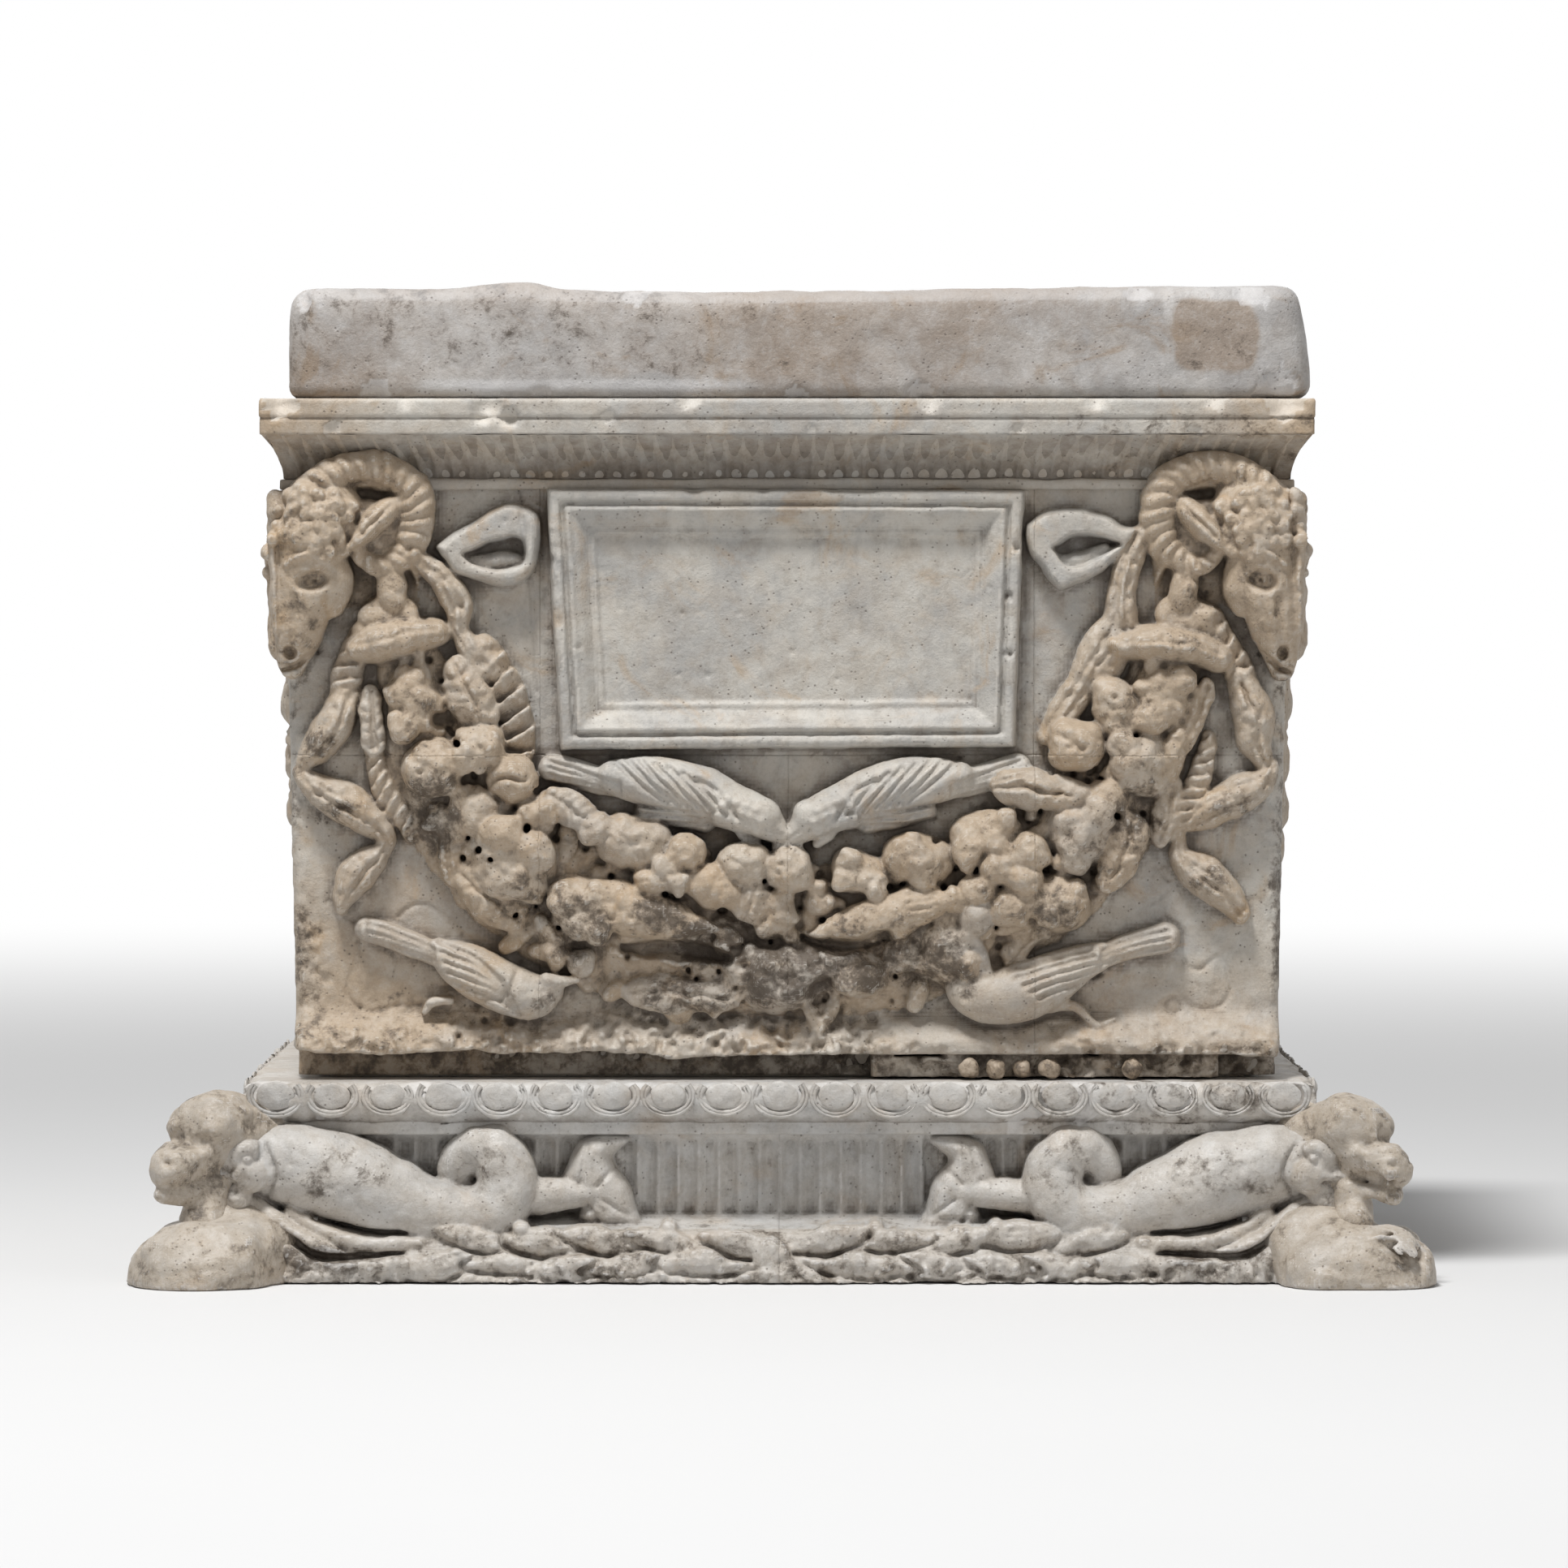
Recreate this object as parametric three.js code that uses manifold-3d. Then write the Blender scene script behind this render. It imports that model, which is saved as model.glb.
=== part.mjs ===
// A marble ash chest in three loose stones: a carved base, a hollow chest with garlands hung
// between rams' heads, and a slab lid. Millimetres, +Z up. The front faces -Y, and the origin is
// the centre of the base's underside.
import * as THREE from "three";
import { mergeVertices } from "three/addons/utils/BufferGeometryUtils.js";
import Module from "manifold-3d";

const wasm = await Module();
wasm.setup();

// Driving sizes of the three stones
const baseHeight = 83;
const chestHeight = 285.5;
const lidHeight = 48;
const bedGap = 0.3; // between stones that stand on each other
const overrun = 2; // how far a cut or a joined piece runs past the face it meets
const chestShift = 3; // the chest stands this far to the right of the base's middle
const lidShift = 5; // and the lid's slab this far to the right of the chest's

// Chest: cornice, shaft and foot
const shaftTopWidth = 423;
const shaftFootWidth = 413;
const corniceOverhang = 9; // cornice face to the shaft's top edge, at each side
const corniceWidth = shaftTopWidth + 2 * corniceOverhang;
const corniceDepth = 320;
const corniceWear = 2; // how far the top edge is worn back
const fasciaHeight = 15; // both flat bands of the cornice together
const fasciaStep = 0.8; // the lower band stands behind the upper one
const cavettoHeight = 18.5;
const filletHeight = 4.5;
const filletProud = 3;
const frontOverhang = 23; // cornice face to the front's background
const backOverhang = 8;
const footBandHeight = 10.5;
const footBandInset = 7;
const ledgeHeight = 4;
const ledgeProud = 12;
const ledgeSideProud = 2;
const footCurveHeight = 15;

// Chest: the ash cavity
const sideWall = 41.5;
const endWall = 49.5; // the front and back walls, without the carving
const cavityWidth = shaftFootWidth - 2 * sideWall;
const cavityDrop = 210;
const cavityCornerRadius = 14;

// Carving on the chest
const reliefProud = 26; // highest carving on the front, from the background
const sideReliefProud = 7;
const fluteWidth = 7.2;
const fluteDrop = 2.2; // how deep a flute is cut
const beadSizeShare = 0.44;
const beadRadius = beadSizeShare * footBandHeight;
const beadStripProud = 11;

// Lid
const lidSideInset = 6.5; // lid edge to cornice face
const lidFrontInset = 6;
const lidWidth = corniceWidth - 2 * lidSideInset;
const lidDepth = corniceDepth - 2 * lidFrontInset;
const lidEdge = 4; // bevel round the lid's arrises
const lidCornerRadius = 8;
const lidKeyDrop = 8; // the raised panel under the lid that keys into the cavity
const lidKeyClearance = 2.5;

// Base: top moulding, fluted frieze and leaf plinth
const baseWidth = 540; // over the corner lobes
const baseDepth = 420;
const tableSideInset = 45.5; // table edge to the lobes' outer face
const tableFrontInset = 44;
const tableWidth = baseWidth - 2 * tableSideInset;
const tableDepth = baseDepth - 2 * tableFrontInset;
const ovoloHeight = 17;
const ovoloSwell = 6;
const tableFilletHeight = 5;
const tableFilletInset = 7;
const friezeInset = 17;
const friezeFluteWidth = 8.5;
const lobeProud = 26; // lobes, from the plinth's front and sides
const lobeWidth = 48;
const lobeHeight = 34;
const lobeWear = 7;
const plinthHeight = 20;
const plinthSlope = 10;
const dolphinProud = 31; // dolphins, from the frieze
const skullRadius = 17;
const jawPropRadius = 7; // stone left between a skull's jaw and the lobe under it

// The carver's grids: squares across the shaft and up the chest, and the same for the base
const gridAcross = 123;
const gridUp = 83.6;
const gridStart = 0.4; // squares that lie below the chest's underside
const baseGridAcross = 161.6;
const baseGridUp = 25;

// Derived places
const chestFloor = baseHeight + bedGap;
const lidFloor = chestFloor + chestHeight + bedGap;
const shaftWidth = (shaftTopWidth + shaftFootWidth) / 2;
const backgroundY = -corniceDepth / 2 + frontOverhang;
const shaftBackY = corniceDepth / 2 - backOverhang;
const cavityDepth = shaftBackY - backgroundY - 2 * endWall;
const shaftTop = chestHeight - fasciaHeight - cavettoHeight - filletHeight;
const shaftTaper = Math.atan((shaftTopWidth - shaftFootWidth) / 2 / shaftTop);
const squareX = shaftWidth / gridAcross;
const squareZ = chestHeight / gridUp;
const square = Math.min(squareX, squareZ);
const baseSquareX = baseWidth / baseGridAcross;
const baseSquareZ = baseHeight / baseGridUp;
const baseSquare = Math.min(baseSquareX, baseSquareZ);
const carvingSunk = fluteDrop + overrun; // how far carving is rooted in the face behind it
const degrees = Math.PI / 180;
const right = 90 * degrees;
const cornerSteps = 4; // facets of a rounded corner
const marble = { chest: "#b9ab97", base: "#cdc6ba", lid: "#aea59a" };

// Booleans: a closed geometry becomes a solid, and the result goes back to a geometry

function toSolid(geometry) {
  const loose = geometry.index ? geometry.toNonIndexed() : geometry.clone();
  const bare = new THREE.BufferGeometry();
  bare.setAttribute("position", loose.getAttribute("position"));
  const merged = mergeVertices(bare);
  return new wasm.Manifold(
    new wasm.Mesh({
      numProp: 3,
      vertProperties: merged.attributes.position.array,
      triVerts: new Uint32Array(merged.index.array),
    }),
  );
}

function toGeometry(solid) {
  const mesh = solid.getMesh();
  const positions = new Float32Array(mesh.numVert * 3);
  for (let i = 0; i < mesh.numVert; i += 1) {
    const start = i * mesh.numProp;
    positions.set(mesh.vertProperties.subarray(start, start + 3), i * 3);
  }
  const geometry = new THREE.BufferGeometry();
  geometry.setAttribute("position", new THREE.BufferAttribute(positions, 3));
  geometry.setIndex(new THREE.BufferAttribute(mesh.triVerts, 1));
  const faceted = geometry.toNonIndexed();
  faceted.computeVertexNormals();
  return faceted;
}

function joined(geometries) {
  let solids = geometries.map(toSolid);
  while (solids.length > 1) {
    const pairs = [];
    for (let i = 0; i < solids.length; i += 2) {
      pairs.push(i + 1 < solids.length ? solids[i].add(solids[i + 1]) : solids[i]);
    }
    solids = pairs;
  }
  return solids[0];
}

// The mirror image of a geometry in X or Y, with its faces turned back outwards
function mirrored(geometry, acrossX = true) {
  const flipped = geometry.index ? geometry.toNonIndexed() : geometry.clone();
  flipped.scale(acrossX ? -1 : 1, acrossX ? 1 : -1, 1);
  const positions = flipped.getAttribute("position");
  const second = new THREE.Vector3();
  const third = new THREE.Vector3();
  for (let i = 0; i < positions.count; i += 3) {
    second.fromBufferAttribute(positions, i + 1);
    third.fromBufferAttribute(positions, i + 2);
    positions.setXYZ(i + 1, third.x, third.y, third.z);
    positions.setXYZ(i + 2, second.x, second.y, second.z);
  }
  return flipped;
}

// Shape builders

// A closed skin through rings of equal length. Each ring runs counterclockwise about +Z.
function loft(rings) {
  const count = rings[0].length;
  const corners = [];
  const put = (...points) => points.forEach((point) => corners.push(point.x, point.y, point.z));
  for (let level = 0; level + 1 < rings.length; level += 1) {
    for (let i = 0; i < count; i += 1) {
      const next = (i + 1) % count;
      const [a, b] = [rings[level][i], rings[level][next]];
      const [c, d] = [rings[level + 1][next], rings[level + 1][i]];
      put(a, b, c, a, c, d);
    }
  }
  const [first, last] = [rings[0], rings[rings.length - 1]];
  THREE.ShapeUtils.triangulateShape(first, []).forEach(([a, b, c]) => put(first[a], first[c], first[b]));
  THREE.ShapeUtils.triangulateShape(last, []).forEach(([a, b, c]) => put(last[a], last[b], last[c]));
  const geometry = new THREE.BufferGeometry();
  geometry.setAttribute("position", new THREE.Float32BufferAttribute(corners, 3));
  return geometry;
}

// A rectangular ring at height z, from its half width and its front and back
function rectangle(z, halfWidth, front, back = -front) {
  return [
    new THREE.Vector3(-halfWidth, front, z),
    new THREE.Vector3(halfWidth, front, z),
    new THREE.Vector3(halfWidth, back, z),
    new THREE.Vector3(-halfWidth, back, z),
  ];
}

// Stations along one edge where flutes start and reach their bottoms
function fluteStations(length, width) {
  const count = Math.round(length / width);
  const pitch = length / count;
  return Array.from({ length: count }, (_, i) => [i * pitch - length / 2, (i + 0.5) * pitch - length / 2]);
}

// A rectangular ring whose front and sides are cut into upright flutes. The flutes keep the places
// they have on the narrowest ring, so that they stay upright where the ring widens.
function flutedRectangle(z, halfWidth, front, back, across, along) {
  const ring = [];
  const middle = (across.front + back) / 2;
  across.stations.forEach(([start, deep], i) => {
    ring.push(new THREE.Vector3(i === 0 ? -halfWidth : start, front, z));
    ring.push(new THREE.Vector3(deep, front + fluteDrop, z));
  });
  along.stations.forEach(([start, deep], i) => {
    ring.push(new THREE.Vector3(halfWidth, i === 0 ? front : start + middle, z));
    ring.push(new THREE.Vector3(halfWidth - fluteDrop, deep + middle, z));
  });
  ring.push(new THREE.Vector3(halfWidth, back, z));
  ring.push(new THREE.Vector3(-halfWidth, back, z));
  [...along.stations].reverse().forEach(([start, deep], i, all) => {
    ring.push(new THREE.Vector3(fluteDrop - halfWidth, deep + middle, z));
    if (i + 1 < all.length) {
      ring.push(new THREE.Vector3(-halfWidth, start + middle, z));
    }
  });
  return ring;
}

// The flutes of a ring: how they are spaced across its front and along its sides
function fluteLayout(halfWidth, front, back, width) {
  return [
    { front, stations: fluteStations(2 * halfWidth, width) },
    { stations: fluteStations(back - front, width) },
  ];
}

// Cross-sections of limbs and straps, as shares of half width and height
function roundSection(sides) {
  return Array.from({ length: sides }, (_, k) => {
    const angle = (k / sides) * 2 * Math.PI;
    return [Math.cos(angle), Math.sin(angle)];
  });
}

const ridgedShares = [
  [-1, 0],
  [1, 0],
  [1, 0.6],
  [0, 1],
  [-1, 0.6],
];

// A closed tapering limb. Each station is [x, y, z, half width, height].
function limb(stations, section, stepsPerSpan = 1) {
  const curve = new THREE.CatmullRomCurve3(stations.map(([x, y, z]) => new THREE.Vector3(x, y, z)));
  const spans = stations.length - 1;
  const steps = spans * stepsPerSpan;
  const out = new THREE.Vector3(0, 0, 1);
  const rings = [];
  for (let i = 0; i <= steps; i += 1) {
    const along = i / steps;
    const station = Math.min(Math.floor(along * spans), spans - 1);
    const share = along * spans - station;
    const halfWidth = THREE.MathUtils.lerp(stations[station][3], stations[station + 1][3], share);
    const height = THREE.MathUtils.lerp(stations[station][4], stations[station + 1][4], share);
    const tangent = curve.getTangent(along);
    const across = new THREE.Vector3().crossVectors(out, tangent).normalize();
    const up = new THREE.Vector3().crossVectors(tangent, across);
    const centre = curve.getPoint(along);
    rings.push(
      section.map(([acrossShare, upShare]) =>
        centre
          .clone()
          .addScaledVector(across, halfWidth * acrossShare)
          .addScaledVector(up, height * upShare),
      ),
    );
  }
  return skinned(rings);
}

// The skin of a limb: bands between its rings and a fan over each end
function skinned(rings) {
  const corners = [];
  const put = (...points) => points.forEach((point) => corners.push(point.x, point.y, point.z));
  const last = rings[rings.length - 1];
  const sides = last.length;
  for (let k = 0; k < sides; k += 1) {
    const next = (k + 1) % sides;
    for (let i = 0; i + 1 < rings.length; i += 1) {
      put(rings[i][k], rings[i][next], rings[i + 1][next]);
      put(rings[i][k], rings[i + 1][next], rings[i + 1][k]);
    }
    if (k > 0 && next > 0) {
      put(rings[0][0], rings[0][next], rings[0][k]);
      put(last[0], last[k], last[next]);
    }
  }
  const geometry = new THREE.BufferGeometry();
  geometry.setAttribute("position", new THREE.Float32BufferAttribute(corners, 3));
  return geometry;
}

// Carving on the front is made lying down: x across, y up from the chest's underside and z out
// from the background. This stands it up on the front.
function stoodOnFront(geometry) {
  return geometry.rotateX(right).translate(0, backgroundY, chestFloor);
}

// The same for the side at +X or -X, whose carving is made with x = 0 at the middle of the side.
// The sides lean outwards, and their carving leans with them.
function stoodOnSide(geometry, sign) {
  geometry.rotateX(right).rotateZ(sign * right).rotateY(sign * shaftTaper);
  const middle = (backgroundY + shaftBackY) / 2;
  return geometry.translate(sign * (shaftFootWidth / 2), middle, chestFloor);
}

// A rounded lump with upright sides, sunk into the face it stands on
const domeSides = 8;
const smallDomeSides = 6;
const domeShares = [
  [0, 0],
  [1, 0],
  [1, 0.4],
  [0.74, 0.82],
  [0, 1],
];

function dome(place, radii, turn, height, sunk, sides = domeSides) {
  const profile = domeShares.map(([radius, up]) => new THREE.Vector2(radius, up));
  const geometry = new THREE.LatheGeometry(profile, sides);
  geometry.rotateX(right);
  geometry.scale(radii[0], radii[1], height + sunk);
  geometry.rotateZ(turn * degrees);
  geometry.translate(place[0], place[1], -sunk);
  return geometry;
}

// A lump on the chest, in grid squares. Its height is a share of how proud the carving stands.
const smallLumpShare = 2.5;

function lump([x, y, radiusX, radiusY, turn, heightShare], proud = reliefProud) {
  const radii = [radiusX * square, radiusY * square];
  const small = proud < reliefProud || Math.min(radiusX, radiusY) < smallLumpShare;
  const sides = small ? smallDomeSides : domeSides;
  const place = [x * squareX, (y - gridStart) * squareZ];
  return dome(place, radii, turn, heightShare * proud, carvingSunk, sides);
}

// A strap on a face, its stations on the grid: [x, y, half width, height share]
function strap(stations, proud = reliefProud, section = ridgedShares, stepsPerSpan = 1) {
  return limb(
    stations.map(([x, y, halfWidth, heightShare]) => [
      x * squareX,
      (y - gridStart) * squareZ,
      -carvingSunk,
      halfWidth * square,
      heightShare * proud + carvingSunk,
    ]),
    section,
    stepsPerSpan,
  );
}

// Tables of the front's carving, in grid squares from the middle and from the underside.
// A fruit is [x, y, radius across, radius up, turn, height share].
const fruitShares = [
  [-46.6, 47.7, 3.4, 3.6, 0, 0.8],
  [-51.2, 47.7, 1.2, 3.4, 0, 0.5],
  [-38.8, 47.6, 2.2, 4.4, 25, 0.55],
  [-42.7, 37.7, 3.8, 3.7, 0, 1],
  [-39.5, 41.6, 4.2, 2.6, 0, 0.9],
  [-33.5, 37.4, 3.4, 3.2, 0, 0.9],
  [-37.8, 33.1, 2.1, 3, 15, 0.8],
  [-31.4, 33.2, 3.1, 2.7, -20, 0.8],
  [-26.3, 33.9, 3.5, 1.9, -30, 0.8],
  [-33.8, 26.7, 5.1, 4.5, -15, 1],
  [-36.4, 21.6, 4.9, 2.4, -45, 0.55],
  [-41.8, 27.6, 1.3, 3.8, 0, 0.45],
  [-25.5, 21.9, 4.2, 3.5, 0, 0.95],
  [-29, 16.5, 1.7, 3.8, 20, 0.6],
  [-25.2, 14.6, 1.7, 1.7, 0, 0.6],
  [-20.2, 29.5, 4.3, 3.3, 0, 0.9],
  [-13.1, 28, 2.9, 2.4, 0, 0.95],
  [-15.8, 26, 1.9, 1.8, 0, 0.95],
  [-5.7, 26.4, 3.5, 2.4, -10, 0.95],
  [1, 26.2, 2.8, 2.8, 0, 1],
  [-9.2, 23, 3.6, 2.1, -25, 0.9],
  [-17.6, 20, 7, 3.1, -12, 0.9],
  [-13.3, 11.4, 7.7, 2.6, 3, 0.6],
  [-0.1, 12.7, 5.2, 4.4, 0, 0.8],
  [-2, 20.8, 2.8, 3, 0, 0.7],
  [9.4, 25.7, 2.9, 2.5, 0, 0.9],
  [16, 27.4, 4.1, 3, 0, 0.95],
  [12.2, 20.1, 8.6, 2.6, 13, 0.95],
  [24.6, 30.5, 4.2, 2.9, 10, 0.9],
  [23.4, 23.6, 2, 2, 0, 0.95],
  [25.7, 26.1, 2, 2, 0, 1],
  [28.6, 25.1, 2.1, 2.1, 0, 1],
  [29.4, 28.3, 2.2, 2, 0, 0.95],
  [23.4, 20.4, 2, 1.9, 0, 0.9],
  [27.3, 21.2, 2, 2, 0, 0.9],
  [35.9, 31, 4.4, 3.9, 30, 1],
  [32, 35.7, 6, 2.4, -8, 0.9],
  [37, 41, 3.2, 3.1, 0, 0.95],
  [33.6, 22.6, 3.2, 3.4, 0, 0.85],
  [43.8, 38.8, 3.4, 4, 0, 0.95],
  [41.6, 29, 2.4, 4.9, -22, 0.75],
  [46.6, 32, 2.2, 3.6, 0, 0.5],
  [19.4, 14.9, 4.6, 3.5, 0, 0.85],
  [9.4, 13.2, 2.8, 2.7, 0, 0.7],
  [5, 15.4, 3.2, 2.6, 0, 0.75],
  [29.3, 17.6, 1.4, 3.6, -30, 0.4],
  [43, 46.8, 2.5, 4, 0, 0.8],
  [47.6, 48, 2.9, 3.9, 0, 0.8],
  [50.3, 44.8, 1.3, 5.2, -22, 0.5],
];

// The mass of leaves that the fruits lie on, as a strap
const stemShares = [
  [-47, 51, 3.5, 0.45],
  [-43, 38, 6.5, 0.5],
  [-34.5, 27, 8, 0.5],
  [-24, 20.5, 9, 0.5],
  [-12, 17.5, 9.5, 0.5],
  [0, 16.8, 9.5, 0.5],
  [12, 17.6, 9.5, 0.5],
  [24.5, 21.5, 9, 0.5],
  [35.5, 29.5, 8, 0.5],
  [43.5, 40, 6, 0.5],
  [47, 51, 3.5, 0.45],
];

// The rings that bind the garland's two ends
const bandShares = [
  [
    [-52.4, 53.4, 1.5, 0.75],
    [-50, 54, 2, 0.9],
    [-46.4, 54.6, 2, 0.9],
    [-44, 55, 1.5, 0.75],
  ],
  [
    [41.6, 53.8, 1.5, 0.75],
    [44.6, 53.9, 2, 0.9],
    [50, 53.1, 2, 0.9],
    [53, 52, 1.5, 0.75],
  ],
];

// Ribbons: the two bow loops and the falls beside the garland
const ribbonShares = [
  [
    [-43.6, 65, 1, 0.3],
    [-39, 68.8, 1.2, 0.35],
    [-34.4, 70.6, 1.3, 0.4],
    [-31.2, 68.6, 1.2, 0.4],
    [-31.4, 64.4, 1.1, 0.4],
    [-35.4, 62, 1.1, 0.35],
    [-41, 62.4, 1, 0.3],
  ],
  [
    [43.4, 68.6, 1, 0.3],
    [38, 70, 1.3, 0.35],
    [32.4, 69.6, 1.5, 0.4],
    [30.6, 66, 1.4, 0.4],
    [32.4, 62.4, 1.2, 0.4],
    [36.4, 62.2, 1.1, 0.35],
    [41.4, 65.6, 1, 0.3],
  ],
  [
    [-46.5, 66, 1.6, 0.4],
    [-41.4, 61.6, 1.7, 0.45],
    [-38.8, 56, 1.8, 0.4],
    [-36.6, 50.8, 1.9, 0.35],
    [-34.4, 45.4, 1.9, 0.35],
    [-33.6, 40.5, 1.8, 0.3],
  ],
  [
    [43.4, 67, 1.8, 0.35],
    [41.4, 60.5, 1.8, 0.4],
    [40.6, 54, 2, 0.4],
    [36, 49.6, 1.9, 0.35],
    [32.4, 44.6, 1.8, 0.3],
    [32.6, 40, 1.8, 0.3],
  ],
  [
    [49.5, 62, 1.8, 0.3],
    [51.8, 57, 1.9, 0.3],
    [54, 51, 1.9, 0.3],
    [57, 45.6, 2.2, 0.4],
    [60, 40.6, 1.6, 0.35],
  ],
  [
    [59.4, 37.6, 1.4, 0.35],
    [56, 35, 2.3, 0.45],
    [51, 31.6, 1.5, 0.35],
  ],
  [
    [48.8, 27.4, 1.5, 0.35],
    [51.6, 25, 2.1, 0.45],
    [54.8, 21.6, 1.6, 0.35],
  ],
  [
    [-52.4, 56, 1.6, 0.35],
    [-54.2, 50.6, 1.6, 0.3],
    [-54, 45.6, 1.8, 0.35],
    [-56.6, 41.4, 1.9, 0.4],
    [-59.6, 38.8, 1.5, 0.35],
  ],
  [
    [-59.4, 36.6, 1.5, 0.35],
    [-55, 33.4, 2.2, 0.45],
    [-50.4, 30.2, 1.5, 0.4],
  ],
  [
    [-49.8, 28.4, 1.4, 0.35],
    [-52.4, 26.2, 1.7, 0.4],
    [-55.2, 22, 1.4, 0.3],
  ],
];

// Birds: two under the panel and two at the foot. Lumps for body, breast, wing and head
const birdShares = [
  [-6.6, 34.9, 5.6, 3, -32, 0.75],
  [-3.2, 32.9, 2.7, 2.1, -30, 0.8],
  [-15.2, 36.4, 7.6, 2.7, -28, 0.7],
  [9, 34.9, 5.6, 3, 32, 0.75],
  [4.9, 33, 3, 2.3, 30, 0.8],
  [17, 36.6, 7.6, 2.9, 28, 0.7],
  [-37, 11.8, 6.8, 3, -28, 0.7],
  [-30.4, 10.9, 3.9, 2.6, 5, 0.7],
  [31, 11, 8.2, 3.5, 20, 0.75],
  [23.5, 10.1, 3.3, 2.8, 0, 0.7],
];

// Tails and beaks of the birds, as straps
const birdStrapShares = [
  [
    [-18, 35, 1.6, 0.5],
    [-23, 37, 2, 0.45],
    [-28.6, 39, 1.6, 0.3],
  ],
  [
    [19, 35.6, 1.6, 0.5],
    [24, 37.8, 2, 0.45],
    [29, 39.6, 1.6, 0.3],
  ],
  [
    [-41.6, 14.8, 1.5, 0.5],
    [-47, 17.2, 1.8, 0.45],
    [-52, 19.4, 1.4, 0.35],
  ],
  [
    [37.5, 14.4, 1.5, 0.5],
    [42, 16.2, 1.7, 0.45],
    [47, 17.6, 1.9, 0.4],
  ],
  [
    [-4, 31.4, 1.2, 0.7],
    [-1, 30.2, 1, 0.65],
    [1.8, 28.6, 0.7, 0.6],
  ],
  [
    [6, 31.6, 1.2, 0.7],
    [3, 30.8, 1, 0.65],
    [0.6, 29.4, 0.7, 0.6],
  ],
];

// The framed panel: half widths at its top and foot, and its centre and half height
const panelCentreShare = 57;
const panelHalfHeightShare = 16;
const panelHalfTopShare = 29.6;
const panelHalfFootShare = 28.2;
const panelFieldHalfTopShare = 24;
const panelFieldHalfFootShare = 23.4;
const panelFieldHalfHeightShare = 10.9;
const panelProud = 12;
const panelFieldProud = 5;
const panelRimWidth = 5;
const panelGrooveWidth = 2;
const panelGrooveDrop = 2.5;
const panelCymaWidth = 9;

// A ring of the panel, given half widths, half height and how far out it lies
function panelRing(halfTop, halfFoot, halfHeight, out) {
  const centre = (panelCentreShare - gridStart) * squareZ;
  return [
    new THREE.Vector3(-halfFoot, centre - halfHeight, out),
    new THREE.Vector3(halfFoot, centre - halfHeight, out),
    new THREE.Vector3(halfTop, centre + halfHeight, out),
    new THREE.Vector3(-halfTop, centre + halfHeight, out),
  ];
}

function framedPanel() {
  const outer = [panelHalfTopShare * squareX, panelHalfFootShare * squareX, panelHalfHeightShare * squareZ];
  const field = [
    panelFieldHalfTopShare * squareX,
    panelFieldHalfFootShare * squareX,
    panelFieldHalfHeightShare * squareZ,
  ];
  const widened = (sizes, by) => sizes.map((size) => size + by);
  const slab = loft([panelRing(...outer, -overrun), panelRing(...outer, panelProud)]);
  const dish = loft([
    panelRing(...field, panelFieldProud),
    panelRing(...widened(field, panelCymaWidth / 3), panelFieldProud + panelGrooveDrop),
    panelRing(...widened(field, panelCymaWidth), panelProud),
    panelRing(...widened(field, panelCymaWidth), panelProud + overrun),
  ]);
  const grooveOuter = widened(outer, -panelRimWidth);
  const grooveInner = widened(grooveOuter, -panelGrooveWidth);
  const [low, high] = [panelProud - panelGrooveDrop, panelProud + overrun];
  const groove = toSolid(loft([panelRing(...grooveOuter, low), panelRing(...grooveOuter, high)])).subtract(
    toSolid(
      loft([panelRing(...grooveInner, low - overrun), panelRing(...grooveInner, high + overrun)]),
    ),
  );
  return toGeometry(toSolid(slab).subtract(toSolid(dish)).subtract(groove));
}

// A ram's head for the corner at -X -Y: skull and muzzle, fleece, eye brow, ear and two horns
const hornShares = [
  [-56.6, 70.2, 1.9, 0.8],
  [-56, 73.4, 2, 0.85],
  [-52.2, 75, 2, 0.85],
  [-48.2, 73.4, 2, 0.8],
  [-46, 69.6, 1.9, 0.75],
  [-46.6, 65.6, 1.5, 0.75],
  [-49.6, 63.8, 1.2, 0.8],
  [-52.8, 64.8, 0.9, 0.85],
];
const sideHornInset = 41; // middle of the side's horn, from the corner of the shaft
// The skull and muzzle: [x, y, out share, half width, half height]
const headShares = [
  [-55.3, 69.8, 0.25, 5, 4.4],
  [-56.5, 66.9, 0.3, 5.9, 5],
  [-57.6, 62.7, 0.35, 5.1, 4.4],
  [-58.8, 57.4, 0.38, 4, 3.7],
  [-59.9, 53, 0.4, 3.2, 3.1],
  [-60.3, 51, 0.4, 2.2, 2.2],
];

function ramHead() {
  const head = limb(
    headShares.map(([x, y, out, halfWidth, height]) => [
      x * squareX,
      (y - gridStart) * squareZ,
      out * reliefProud,
      halfWidth * square,
      height * square,
    ]),
    roundSection(9),
  );
  const parts = [
    head,
    lump([-57.6, 67.2, 4.6, 2.4, 0, 0.95]),
    lump([-50.4, 67.6, 1.7, 2.6, -35, 0.95]),
    lump([-58.4, 63.6, 1.9, 1.1, 10, 1]),
    lump([-48.6, 58.6, 3, 3.6, 10, 0.55]),
    strap(hornShares, reliefProud, ridgedShares, 2),
  ];
  return parts.map(stoodOnFront);
}

// The half of a ram's head that shows on a side: its horn, carved low
const hornMiddleShare = -50.6; // across, in grid squares

function sideHorn() {
  const halfSide = (shaftBackY - backgroundY) / 2;
  const horn = strap(hornShares, sideReliefProud);
  const fleece = lump([-54, 66.8, 5, 3.4, 0, 0.9], sideReliefProud);
  const cheek = lump([-56, 57.5, 3.4, 7.5, 8, 0.9], sideReliefProud);
  return [horn, fleece, cheek].map((piece) =>
    piece.translate(sideHornInset - halfSide - hornMiddleShare * squareX, 0, 0),
  );
}

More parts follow.
